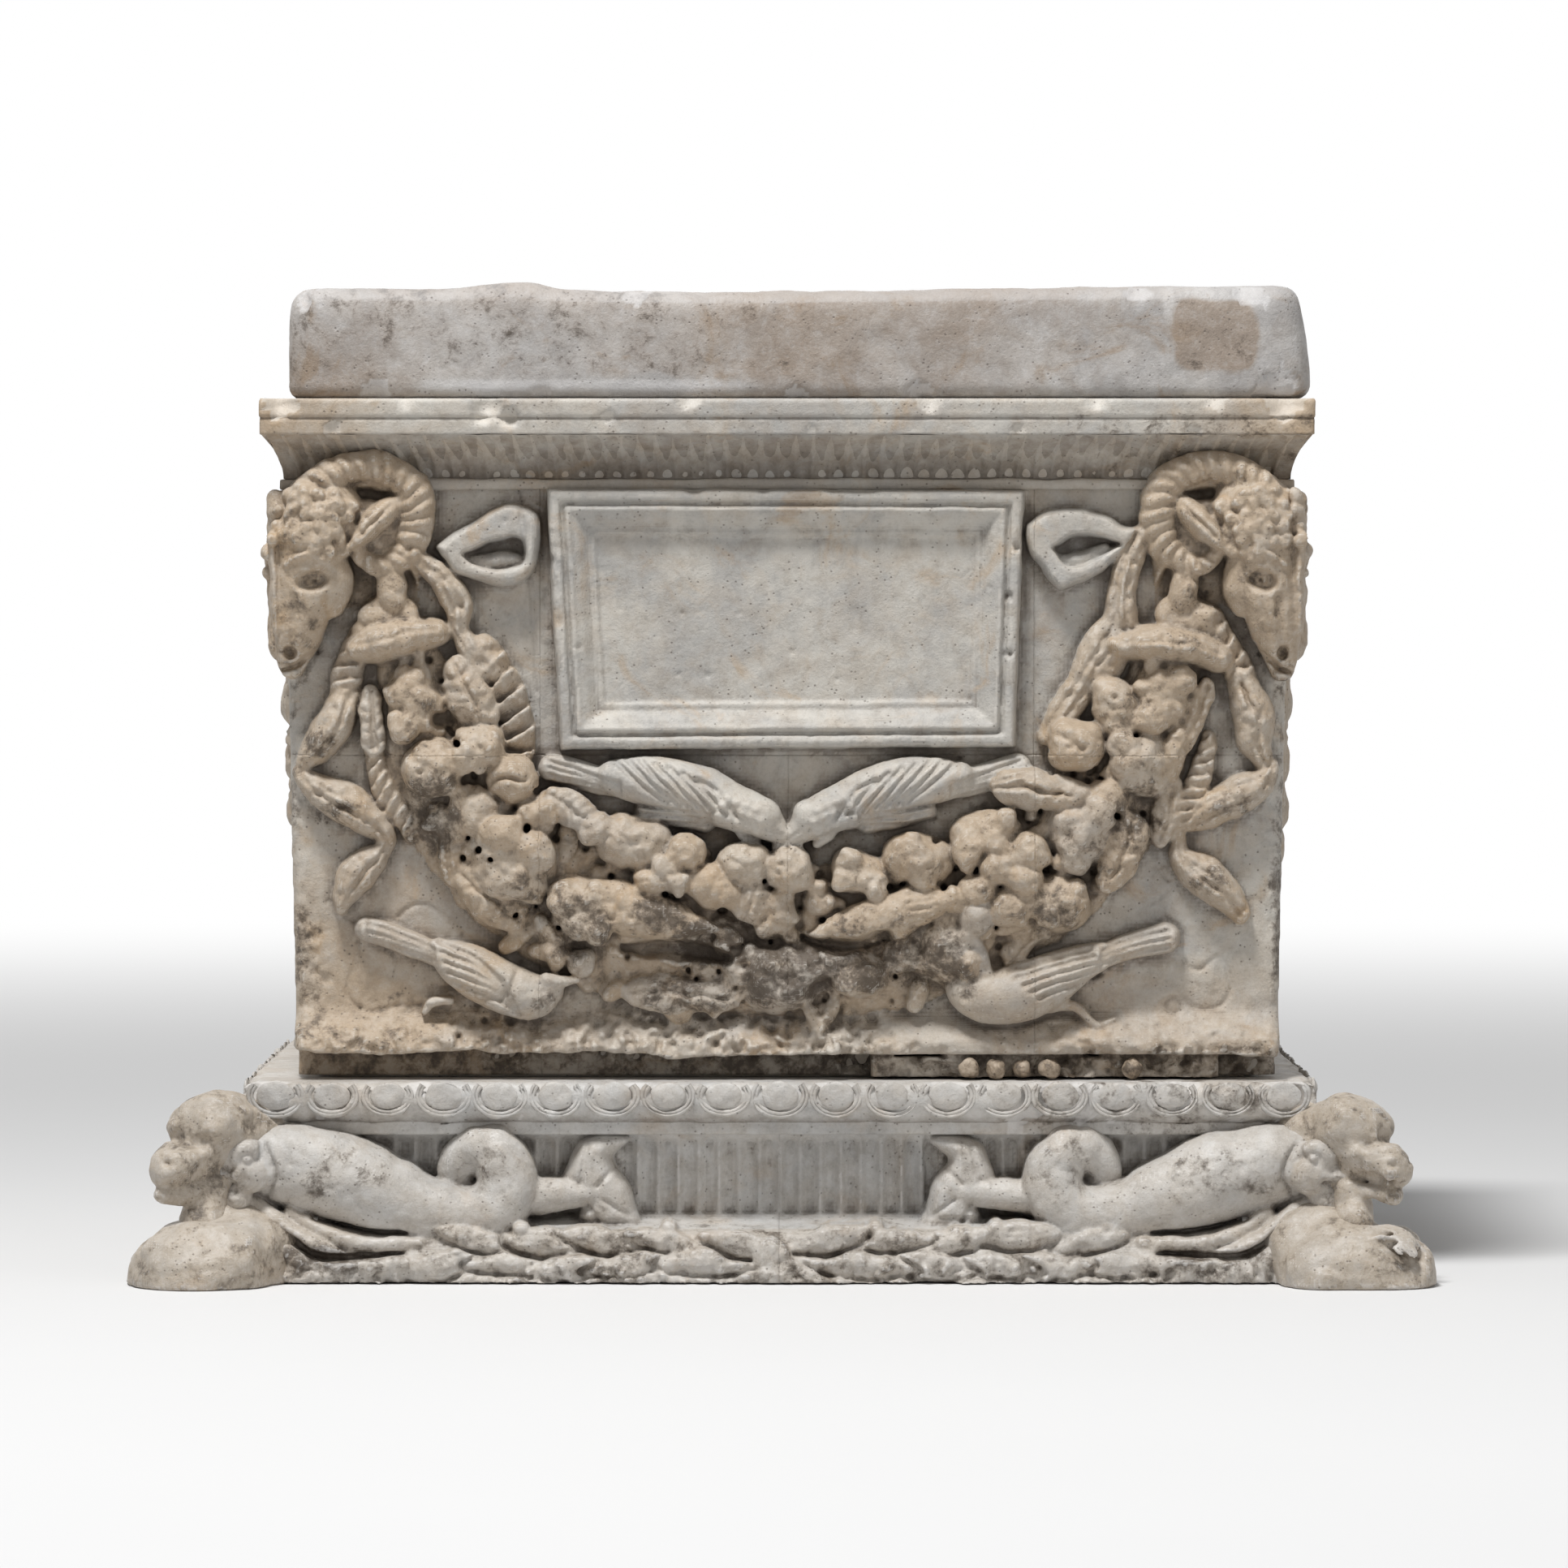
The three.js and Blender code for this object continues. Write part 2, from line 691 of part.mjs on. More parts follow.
// The swag on a side: fruits along a hanging curve between the two corner heads
const sideFruitCount = 13;
const sideSwagHalfShare = 27; // half span in grid squares
const sideSwagTopShare = 54;
const sideSwagSagShare = 30;
const sideFruitRadiusShare = 3.4;
const sideFruitSwellShare = 0.9; // how much larger the lowest fruit is
const sideFruitHeightShares = [0.8, 0.9]; // taken in turn

function sideSwag() {
  const pieces = [];
  for (let i = 0; i < sideFruitCount; i += 1) {
    const angle = (i / (sideFruitCount - 1)) * Math.PI;
    const sag = Math.sin(angle);
    const radius = sideFruitRadiusShare + sideFruitSwellShare * sag;
    const place = [-Math.cos(angle) * sideSwagHalfShare, sideSwagTopShare - sideSwagSagShare * sag];
    const height = sideFruitHeightShares[i % sideFruitHeightShares.length];
    pieces.push(lump([...place, radius, radius, 0, height], sideReliefProud));
  }
  return pieces;
}

// Chest

const cavettoSteps = 3;
const cavettoStart = [shaftTopWidth / 2, backgroundY - filletProud / 2];
const cavettoEnd = [corniceWidth / 2 - corniceWear, -corniceDepth / 2 + corniceWear];

function shaftBlock() {
  const [halfTop, halfFoot] = [shaftTopWidth / 2, shaftFootWidth / 2];
  const footFront = backgroundY + footBandInset;
  const footBack = shaftBackY - footBandInset;
  const ledgeTop = footBandHeight + ledgeHeight;
  const level = (z, halfWidth, proud) => rectangle(z, halfWidth, backgroundY - proud, shaftBackY);
  return loft([
    rectangle(0, halfFoot - footBandInset, footFront, footBack),
    rectangle(footBandHeight, halfFoot - footBandInset, footFront, footBack),
    level(footBandHeight, halfFoot + ledgeSideProud, ledgeProud),
    level(ledgeTop, halfFoot + ledgeSideProud, ledgeProud),
    level(ledgeTop + footCurveHeight / 3, halfFoot, ledgeProud / 3),
    level(ledgeTop + footCurveHeight, halfFoot, 0),
    level(shaftTop, halfTop, 0),
    level(shaftTop, halfTop + filletProud / 2, filletProud),
    level(shaftTop + filletHeight + overrun, halfTop + filletProud / 2, filletProud),
  ]);
}

function corniceBlock() {
  const level = (z, inset) =>
    rectangle(z, corniceWidth / 2 - inset, inset - corniceDepth / 2, shaftBackY);
  return loft([
    level(chestHeight - fasciaHeight, fasciaStep),
    level(chestHeight - fasciaHeight / 2, fasciaStep),
    level(chestHeight - fasciaHeight / 2, 0),
    level(chestHeight - corniceWear, 0),
    level(chestHeight, corniceWear),
  ]);
}

// The fluted hollow under the cornice, a quarter of a circle in section
function flutedCavetto() {
  const layout = fluteLayout(...cavettoStart, shaftBackY, fluteWidth);
  const rings = [];
  for (let i = 0; i <= cavettoSteps; i += 1) {
    const rise = i / cavettoSteps;
    const share = 1 - Math.cos(rise * right);
    const z = shaftTop + filletHeight + rise * cavettoHeight;
    const halfWidth = THREE.MathUtils.lerp(cavettoStart[0], cavettoEnd[0], share);
    const front = THREE.MathUtils.lerp(cavettoStart[1], cavettoEnd[1], share);
    rings.push(flutedRectangle(z, halfWidth, front, shaftBackY, ...layout));
  }
  return loft(rings);
}

// What is left of the bead moulding under the ledge
const beadStripShares = [10.5, 51]; // from and to, in grid squares
const beadShares = [22.6, 25.8, 29, 32.4, 42.7]; // beads that survive on it

function beadStrip() {
  const [start, end] = beadStripShares.map((share) => share * squareX);
  const depth = beadStripProud + footBandInset + overrun;
  const strip = new THREE.BoxGeometry(end - start, footBandHeight, depth);
  strip.translate((start + end) / 2, footBandHeight / 2, beadStripProud - beadRadius / 2 - depth / 2);
  const beads = beadShares.map((share) => {
    const radii = [beadRadius, beadRadius];
    return dome([share * squareX, footBandHeight / 2], radii, 0, beadStripProud, 0, smallDomeSides);
  });
  return [strip, ...beads].map(stoodOnFront);
}

function roundedBox(width, depth, height, radius) {
  const outline = new THREE.Shape();
  const [x, y] = [width / 2, depth / 2];
  outline.moveTo(-x + radius, -y);
  outline.lineTo(x - radius, -y);
  outline.absarc(x - radius, -y + radius, radius, -right, 0, false);
  outline.lineTo(x, y - radius);
  outline.absarc(x - radius, y - radius, radius, 0, right, false);
  outline.lineTo(-x + radius, y);
  outline.absarc(-x + radius, y - radius, radius, right, 180 * degrees, false);
  outline.lineTo(-x, -y + radius);
  outline.absarc(-x + radius, -y + radius, radius, 180 * degrees, 270 * degrees, false);
  return new THREE.ExtrudeGeometry(outline, {
    depth: height,
    bevelEnabled: false,
    curveSegments: cornerSteps,
  });
}

const cavityMiddleY = (backgroundY + shaftBackY) / 2;

function chest() {
  const stone = [shaftBlock(), corniceBlock(), flutedCavetto()].map((piece) =>
    piece.translate(0, 0, chestFloor),
  );
  const heads = ramHead();
  const frontHeads = [...heads, ...heads.map((piece) => mirrored(piece))];
  const carving = [
    framedPanel(),
    ...fruitShares.map((fruit) => lump(fruit)),
    strap(stemShares),
    ...bandShares.map((band) => strap(band)),
    ...ribbonShares.map((ribbon) => strap(ribbon)),
    ...birdShares.map((bird) => lump(bird)),
    ...birdStrapShares.map((piece) => strap(piece)),
  ].map(stoodOnFront);
  const sides = [-1, 1].flatMap((sign) =>
    [...sideHorn(), ...sideHorn().map((piece) => mirrored(piece)), ...sideSwag()].map((piece) =>
      stoodOnSide(piece, sign),
    ),
  );
  // Everything is cut off flush at the plain back
  const back = new THREE.BoxGeometry(corniceWidth * 2, corniceDepth, chestHeight * 2);
  back.translate(0, shaftBackY + corniceDepth / 2, chestFloor + chestHeight / 2);
  const cavity = roundedBox(cavityWidth, cavityDepth, cavityDrop + overrun, cavityCornerRadius);
  cavity.translate(0, cavityMiddleY, chestFloor + chestHeight - cavityDrop);
  const pieces = [...stone, ...frontHeads, ...carving, ...sides, ...beadStrip()];
  const hollowed = joined(pieces).subtract(toSolid(back)).subtract(toSolid(cavity));
  return toGeometry(hollowed).translate(chestShift, 0, 0);
}

// Lid: a slab with worn arrises and a key that drops into the cavity's mouth

function lid() {
  const inset = roundedBox(lidWidth - 2 * lidEdge, lidDepth - 2 * lidEdge, lidHeight, lidCornerRadius);
  inset.translate(lidShift, 0, lidFloor);
  const girdle = roundedBox(lidWidth, lidDepth, lidHeight - 2 * lidEdge, lidCornerRadius + lidEdge);
  girdle.translate(lidShift, 0, lidFloor + lidEdge);
  const keyWidth = cavityWidth - 2 * lidKeyClearance;
  const keyDepth = cavityDepth - 2 * lidKeyClearance;
  const key = roundedBox(keyWidth, keyDepth, lidKeyDrop + overrun, cavityCornerRadius);
  key.translate(0, cavityMiddleY, lidFloor - lidKeyDrop);
  return toGeometry(joined([inset, girdle, key])).translate(chestShift, 0, 0);
}

// Base

const friezeY = friezeInset - tableDepth / 2;
const friezeX = tableWidth / 2 - friezeInset;
const tableUnderside = baseHeight - ovoloHeight;
// The ovolo's section: shares of its height and of its swell
const ovoloShares = [
  [0, 0.75],
  [0.2, 0.25],
  [0.5, 0],
  [0.8, 0.1],
  [1, 0.5],
];

function baseBlock() {
  const [halfTable, front] = [tableWidth / 2, -tableDepth / 2];
  const level = (z, inset) => rectangle(z, halfTable - inset, front + inset);
  const table = loft(
    ovoloShares.map(([rise, inset]) => level(tableUnderside + rise * ovoloHeight, inset * ovoloSwell)),
  );
  const fillet = loft([
    level(tableUnderside - tableFilletHeight, tableFilletInset),
    level(tableUnderside + overrun, tableFilletInset),
  ]);
  const layout = fluteLayout(friezeX, friezeY, -friezeY, friezeFluteWidth);
  const core = loft(
    [0, tableUnderside].map((z) => flutedRectangle(z, friezeX, friezeY, -friezeY, ...layout)),
  );
  const [halfWidth, halfDepth] = [baseWidth / 2 - lobeProud, baseDepth / 2 - lobeProud];
  const plinth = loft([
    rectangle(0, halfWidth - overrun, overrun - halfDepth),
    rectangle(plinthHeight / 3, halfWidth, -halfDepth),
    rectangle(plinthHeight, halfWidth - plinthSlope, plinthSlope - halfDepth),
    rectangle(plinthHeight + overrun, friezeX - overrun, friezeY + overrun),
  ]);
  return [table, fillet, core, plinth];
}

// Carving on the base's front, in base grid squares from the middle and the underside.
// A dolphin is a limb: [x, y, out share, radius]
const dolphinShares = [
  [-72.4, 13.8, 0.62, 1.1],
  [-69.5, 14.6, 0.6, 2.3],
  [-66.6, 15, 0.56, 4],
  [-62, 14.3, 0.5, 5.2],
  [-57, 13.2, 0.47, 6],
  [-50, 10.3, 0.45, 5.5],
  [-42.8, 8.1, 0.45, 4],
  [-36.4, 8.1, 0.45, 3.4],
  [-32.9, 12.6, 0.5, 2.9],
  [-35.6, 17.2, 0.5, 2.7],
  [-40, 16.4, 0.4, 2.2],
  [-40.8, 12.8, 0.2, 1.6],
];
const tailShares = [
  [-33, 10.4, 0.25, 1.9],
  [-28.5, 10.8, 0.3, 1.8],
  [-23.6, 11, 0.28, 1.6],
];
const finShares = [
  [-67, 12, 0.5, 0.9],
  [-62, 7.6, 0.62, 1.3],
  [-56, 4.6, 0.75, 1.5],
  [-50, 2.8, 0.85, 1.4],
];
// Tail flukes: [x, y, radius across, radius up, turn, out share]
const flukeShares = [
  [-21.2, 15.2, 1.8, 4, -35, 0.28],
  [-21.6, 8.6, 1.7, 3.8, 25, 0.32],
];
// Leaves of the plinth's wreath, one half: [x, y, radius across, radius up, turn, out share]
const leafShares = [
  [-3.4, 6.4, 4.6, 1.7, -18, 0.95],
  [-11.5, 5.4, 5, 1.9, 8, 1.05],
  [-19, 3.4, 5.2, 1.8, -6, 1.15],
  [-26.5, 6.2, 5, 1.7, 10, 0.95],
  [-33.5, 3.2, 5.4, 1.9, 4, 1.15],
  [-42.5, 3, 5, 1.6, -4, 1.15],
];
// A skull's middle line, from the frieze's corner to the base's corner: [share of the way, share of
// the height, share of its radius]
const skullShares = [
  [-0.15, 0.58, 0.75],
  [0.25, 0.73, 0.98],
  [0.43, 0.76, 0.98],
  [0.58, 0.67, 0.74],
  [0.68, 0.6, 0.58],
  [0.72, 0.55, 0.44],
];
const jawPropShare = 0.66;
const sideCarvingShare = 0.8; // size of the sides' carving against the front's

// The dolphins, tails and leaves of one face, made lying down as the chest's carving is
function baseFace(halfSpan, share) {
  const spread = (halfSpan / (baseWidth / 2)) * baseSquareX;
  const size = baseSquare * share;
  const fine = share === 1;
  const round = ([x, y, outShare, radius]) => [
    x * spread,
    y * baseSquareZ,
    outShare * dolphinProud * share,
    radius * size,
    radius * size,
  ];
  const flat = ([x, y, radiusX, radiusY, turn, outShare]) =>
    dome(
      [x * spread, y * baseSquareZ],
      [radiusX * size, radiusY * size],
      turn,
      outShare * dolphinProud * share,
      carvingSunk,
      smallDomeSides,
    );
  const half = [
    limb(dolphinShares.map(round), roundSection(fine ? 8 : 6), fine ? 2 : 1),
    limb(tailShares.map(round), roundSection(6)),
    limb(finShares.map(round), roundSection(5)),
    ...flukeShares.map(flat),
    ...leafShares.map(flat),
  ];
  return [...half, ...half.map((piece) => mirrored(piece))];
}

// A worn ox skull and the stone that props its jaw, for the corner at -X -Y
function cornerSkull() {
  const way = (share) => [
    THREE.MathUtils.lerp(-friezeX, -baseWidth / 2, share),
    THREE.MathUtils.lerp(friezeY, -baseDepth / 2, share),
  ];
  const stations = skullShares.map(([share, rise, radius]) => [
    ...way(share),
    rise * baseHeight,
    radius * skullRadius,
    radius * skullRadius,
  ]);
  const propSize = [jawPropRadius, jawPropRadius];
  const prop = dome(way(jawPropShare), propSize, 0, baseHeight / 2, 0, smallDomeSides);
  return [limb(stations, roundSection(9)), prop];
}

// The lobe at the corner at -X -Y: its upright edges are cut back, its top and foot worn round
function cornerLobe() {
  const ring = (z, wear) => {
    const [x, y] = [wear - baseWidth / 2, wear - baseDepth / 2];
    const [endX, endY] = [lobeWidth - baseWidth / 2 - wear, lobeWidth - baseDepth / 2 - wear];
    const cut = lobeWear;
    return [
      [x, endY - cut],
      [x, y + cut],
      [x + cut, y],
      [endX - cut, y],
      [endX, y + cut],
      [endX, endY - cut],
      [endX - cut, endY],
      [x + cut, endY],
    ].map(([px, py]) => new THREE.Vector3(px, py, z));
  };
  return loft([
    ring(0, lobeWear / 2),
    ring(lobeHeight / 3, 0),
    ring((2 * lobeHeight) / 3, lobeWear / 3),
    ring(lobeHeight, lobeWear),
  ]);
}

function base() {
  const front = baseFace(baseWidth / 2, 1).map((piece) => piece.rotateX(right).translate(0, friezeY, 0));
  const sides = [-1, 1].flatMap((sign) =>
    baseFace(baseDepth / 2, sideCarvingShare).map((piece) =>
      piece
        .rotateX(right)
        .rotateZ(sign * right)
        .translate(sign * friezeX, 0, 0),
    ),
  );
  // The skulls stand at the front corners only, the lobes at all four
  const leftCorners = [...cornerSkull(), cornerLobe(), mirrored(cornerLobe(), false)];
  const corners = [...leftCorners, ...leftCorners.map((piece) => mirrored(piece))];
  // Nothing reaches below the bed
  const bed = new THREE.BoxGeometry(baseWidth * 2, baseDepth * 2, baseHeight);
  bed.translate(0, 0, -baseHeight / 2);
  const pieces = [...baseBlock(), ...front, ...sides, ...corners];
  return toGeometry(joined(pieces).subtract(toSolid(bed)));
}

function stone(name, geometry, color) {
  const material = new THREE.MeshStandardMaterial({ color, roughness: 0.75, metalness: 0 });
  const mesh = new THREE.Mesh(geometry, material);
  mesh.name = name;
  return mesh;
}

const urn = new THREE.Group();
urn.add(stone("base", base(), marble.base));
urn.add(stone("chest", chest(), marble.chest));
urn.add(stone("lid", lid(), marble.lid));

export default urn;
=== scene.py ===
"""A marble ash chest in three loose stones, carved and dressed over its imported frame.

The carving is worked out in millimetres on flat faces, as a carver would: across, up and out from
the ground of the face. Each face is then turned into a closed mesh and set in its place in metres.
"""

import functools
import itertools
import logging
import math
from dataclasses import dataclass, field, replace
from enum import Enum
from typing import Any, Dict, List, Optional, Sequence, Tuple, Union

import bpy
import numpy as np
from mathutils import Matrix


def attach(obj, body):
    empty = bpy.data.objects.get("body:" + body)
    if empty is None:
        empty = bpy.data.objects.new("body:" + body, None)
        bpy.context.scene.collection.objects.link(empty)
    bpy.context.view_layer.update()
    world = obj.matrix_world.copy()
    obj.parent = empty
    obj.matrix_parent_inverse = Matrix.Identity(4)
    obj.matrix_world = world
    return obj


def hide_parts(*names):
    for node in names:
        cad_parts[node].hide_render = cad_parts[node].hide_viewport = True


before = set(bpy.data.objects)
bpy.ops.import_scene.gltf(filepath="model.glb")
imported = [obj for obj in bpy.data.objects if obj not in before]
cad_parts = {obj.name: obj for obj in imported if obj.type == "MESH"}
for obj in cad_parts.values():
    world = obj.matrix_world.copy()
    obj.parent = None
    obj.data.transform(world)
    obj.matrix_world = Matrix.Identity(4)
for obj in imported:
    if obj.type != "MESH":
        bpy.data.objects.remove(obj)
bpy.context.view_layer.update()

MM = 0.001
LOG = logging.getLogger("ash_chest")
Number = Union[float, int]
Point = Tuple[float, float]
Point3 = Tuple[float, float, float]

# The chest in millimetres: how far right of the base's middle it stands, its middle from front to
# back, its foot, the height of its shaft, how far the shaft's foot and head reach from its middle,
# and where the shaft's front and back stand
CHEST_SHIFT = 3.0
MIDDLE_Y = 7.5
CHEST_FLOOR = 83.3
SHAFT_HEIGHT = 247.5
SHAFT_FOOT, SHAFT_HEAD = 206.5, 211.5
SHAFT_FRONT, SHAFT_BACK = -137.0, 152.0

# A square of the carver's grid in millimetres, on the chest and on the base
SQUARE = 3.4
BASE_SQUARE = 3.33


class Stone(Enum):
    """The three loose stones, named as their bodies are."""

    BASE = "base"
    CHEST = "chest"
    LID = "lid"


class Fruit(Enum):
    """What a lump of the garland is carved as."""

    ROUND = "round"
    SLIT = "slit"
    LEAF = "leaf"
    GRAPE = "grape"
    BROKEN = "broken"


# Noise and curves


def noise(coords: Sequence[np.ndarray], size: float, seed: int) -> np.ndarray:
    """Smooth value noise.

    Args:
        coords: One to three arrays of coordinates in millimetres.
        size: The size of one swell in millimetres.
        seed: The number that fixes the pattern.

    Returns:
        Values from -1 to 1, of the coordinates' shape.
    """
    cells, shares = [], []
    for coord in coords:
        scaled = np.asarray(coord, np.float32) / size
        floor = np.floor(scaled)
        share = scaled - floor
        cells.append(floor.astype(np.int64))
        shares.append(share * share * (3 - 2 * share))
    primes = (73856093, 19349663, 83492791)
    total = np.zeros(np.broadcast(*cells).shape, np.float32)
    for corner in itertools.product((0, 1), repeat=len(cells)):
        mixed = np.int64(seed * 15485863 + 7)
        weight: Any = 1.0
        for step, cell, share, prime in zip(corner, cells, shares, primes):
            mixed = mixed ^ ((cell + step) * prime)
            weight = weight * (share if step else 1 - share)
        mixed = mixed & 0xFFFFFFFF
        mixed = ((mixed ^ (mixed >> 15)) * 2246822519) & 0xFFFFFFFF
        mixed = ((mixed ^ (mixed >> 13)) * 3266489917) & 0xFFFFFFFF
        mixed = mixed ^ (mixed >> 16)
        total += weight * (mixed.astype(np.float32) / 4294967295.0)
    return total * 2 - 1


def rough(
    coords: Sequence[np.ndarray], size: float, seed: int, octaves: int = 4, gain: float = 0.5
) -> np.ndarray:
    """Noise of several sizes, each half the last.

    Args:
        coords: One to three arrays of coordinates in millimetres.
        size: The size of the largest swell.
        seed: The number that fixes the pattern.
        octaves: How many sizes are added up.
        gain: How much of the last size's strength the next one has.

    Returns:
        Values of about -1 to 1.
    """
    total: Any = 0.0
    weight, whole = 1.0, 0.0
    for octave in range(octaves):
        total = total + weight * noise(coords, size / 2**octave, seed + 31 * octave)
        whole += weight
        weight *= gain
    return total / whole * 1.6


def spline(stations: Sequence[Sequence[float]], steps: int = 6) -> np.ndarray:
    """A smooth curve through stations of any number of values.

    Args:
        stations: The rows that the curve passes through.
        steps: How many points stand for each span.

    Returns:
        The points, one row each.
    """
    rows = np.asarray(stations, float)
    padded = np.vstack([2 * rows[0] - rows[1], rows, 2 * rows[-1] - rows[-2]])
    points = []
    for i in range(len(rows) - 1):
        a, b, c, d = padded[i : i + 4]
        for t in np.arange(steps) / steps:
            points.append(
                0.5
                * (
                    2 * b
                    + (c - a) * t
                    + (2 * a - 5 * b + 4 * c - d) * t * t
                    + (3 * b - a - 3 * c + d) * t**3
                )
            )
    points.append(rows[-1])
    return np.array(points)


def ease(values: np.ndarray, low: float, high: float) -> np.ndarray:
    """A smooth step from 0 at low to 1 at high."""
    share = np.clip((values - low) / (high - low), 0, 1)
    return share * share * (3 - 2 * share)


# Meshes


# The marks that the marble reads: soil with painted shade, wear with painted highlight, tan, and crust with
# painted shade
MARKS = ("hollow", "worn", "tan", "crust")


@dataclass
class Shell:
    """A surface in millimetres: its points, its faces and its marks.

    Its marks give each point, from 0 to 1, soil with painted shade, wear with painted highlight, tan, and
    crust with painted shade.
    The last faces of four, as many as walls says, are flat ones that close it behind.
    """

    points: np.ndarray
    quads: np.ndarray
    tris: np.ndarray = field(default_factory=lambda: np.zeros((0, 3), np.int64))
    marks: Dict[str, np.ndarray] = field(default_factory=dict)
    walls: int = 0

    def mark(self, name: str) -> np.ndarray:
        """One of the marks, 0 where it isn't set."""
        return self.marks.get(name, np.zeros(len(self.points)))

    def tint(self, **marks: Union[float, np.ndarray]) -> "Shell":
        """Sets marks to one value or to one for each point.

        Args:
            marks: The values by name.

        Returns:
            The same shell.
        """
        for name, value in marks.items():
            self.marks[name] = np.clip(np.zeros(len(self.points)) + value, 0, 1)
        return self

    def normals(self) -> np.ndarray:
        """The direction that faces outwards at each point.

        Returns:
            A direction of length 1 for each point.
        """
        total = np.zeros_like(self.points)
        for faces in (self.quads, self.tris):
            if len(faces) == 0:
                continue
            corners = self.points[faces]
            facing = np.cross(corners[:, 2] - corners[:, 0], corners[:, -1] - corners[:, 1])
            if faces.shape[1] == 3:
                facing = np.cross(corners[:, 1] - corners[:, 0], corners[:, 2] - corners[:, 0])
            for k in range(faces.shape[1]):
                for axis in range(3):
                    total[:, axis] += np.bincount(faces[:, k], facing[:, axis], minlength=len(total))
        length = np.linalg.norm(total, axis=1, keepdims=True)
        return total / np.maximum(length, 1e-12)

    def weather(
        self, amount: Union[float, np.ndarray], size: float, seed: int, octaves: int = 4
    ) -> "Shell":
        """Moves the points in and out by noise.

        Args:
            amount: About how far at most, in millimetres, for all points or for each.
            size: The size of the largest swell.
            seed: The number that fixes the pattern.
            octaves: How many sizes of swell.

        Returns:
            The same shell.
        """
        swell = rough(list(self.points.T), size, seed, octaves) * amount
        self.points = self.points + self.normals() * swell[:, None]
        return self

    def dent(self, dents: Sequence[Sequence[float]], way: np.ndarray) -> None:
        """Knocks chips out of the surface.

        Args:
            dents: Rows of x, y, z, radius and depth.
            way: The direction in which the stone gives way, one for all points or for each.
        """
        deep = np.zeros(len(self.points))
        ragged = 1 + 0.45 * rough(list(self.points.T), 6, 77, 3)
        for x, y, z, radius, depth in dents:
            away = np.linalg.norm(self.points - (x, y, z), axis=1) / radius * ragged
            deep = np.maximum(deep, depth * np.clip(1.3 * (1 - away), 0, 1) ** 0.8)
        self.points = self.points + way * deep[:, None]
        self.marks["worn"] = np.clip(self.mark("worn") + (deep > 0.5), 0, 1)

    def mirrored(self) -> "Shell":
        """The shell mirrored left to right."""
        return Shell(
            self.points * (-1, 1, 1), self.quads[:, ::-1], self.tris[:, ::-1], self.marks, self.walls
        )

    def joined(self, other: "Shell") -> "Shell":
        """This shell and another as one; neither has walls.

        Args:
            other: The other shell.

        Returns:
            Both in one.
        """
        count = len(self.points)
        return Shell(
            np.vstack([self.points, other.points]),
            np.vstack([self.quads, other.quads + count]),
            np.vstack([self.tris, other.tris + count]),
            {name: np.concatenate([self.mark(name), other.mark(name)]) for name in MARKS},
        )

    def part(self, chosen: np.ndarray) -> "Shell":
        """The part of a shell of quads that a mask of its quads picks.

        Args:
            chosen: For each quad, whether it belongs.

        Returns:
            The part, still open.
        """
        quads = self.quads[chosen]
        used, renumbered = np.unique(quads, return_inverse=True)
        marks = {name: values[used] for name, values in self.marks.items()}
        return Shell(self.points[used], renumbered.reshape(quads.shape), marks=marks)

    def closed_behind(self, depth: float, narrow: float = 0.0) -> "Shell":
        """Closes an open shell behind.

        Args:
            depth: Where its flat back stands, as w.
            narrow: How much nearer the middle the back's ends stand.

        Returns:
            The closed shell.
        """
        edges = np.vstack([self.quads[:, [k, (k + 1) % 4]] for k in range(4)])
        keys = np.sort(edges, axis=1)
        keys = keys[:, 0] * len(self.points) + keys[:, 1]
        _, first, counts = np.unique(keys, return_index=True, return_counts=True)
        rim = edges[first[counts == 1]]
        if len(rim) == 0:
            return self
        ends = np.unique(rim)
        behind = np.zeros(len(self.points), np.int64)
        behind[ends] = len(self.points) + np.arange(len(ends))
        low = self.points[ends].copy()
        low[:, 2] = depth
        middle = low.mean(axis=0)
        if narrow:
            half = np.abs(low[:, 0] - middle[0]).max()
            low[:, 0] = middle[0] + (low[:, 0] - middle[0]) * (1 - narrow / half)
        a, b = rim.T
        walls = np.stack([b, a, behind[a], behind[b]], axis=1)
        centre = np.full(len(a), len(self.points) + len(ends))
        extra = np.zeros(len(ends) + 1)
        return Shell(
            np.vstack([self.points, low, middle]),
            np.vstack([self.quads, walls]),
            np.stack([behind[b], behind[a], centre], axis=1),
            {name: np.concatenate([values, extra]) for name, values in self.marks.items()},
            len(walls),
        )


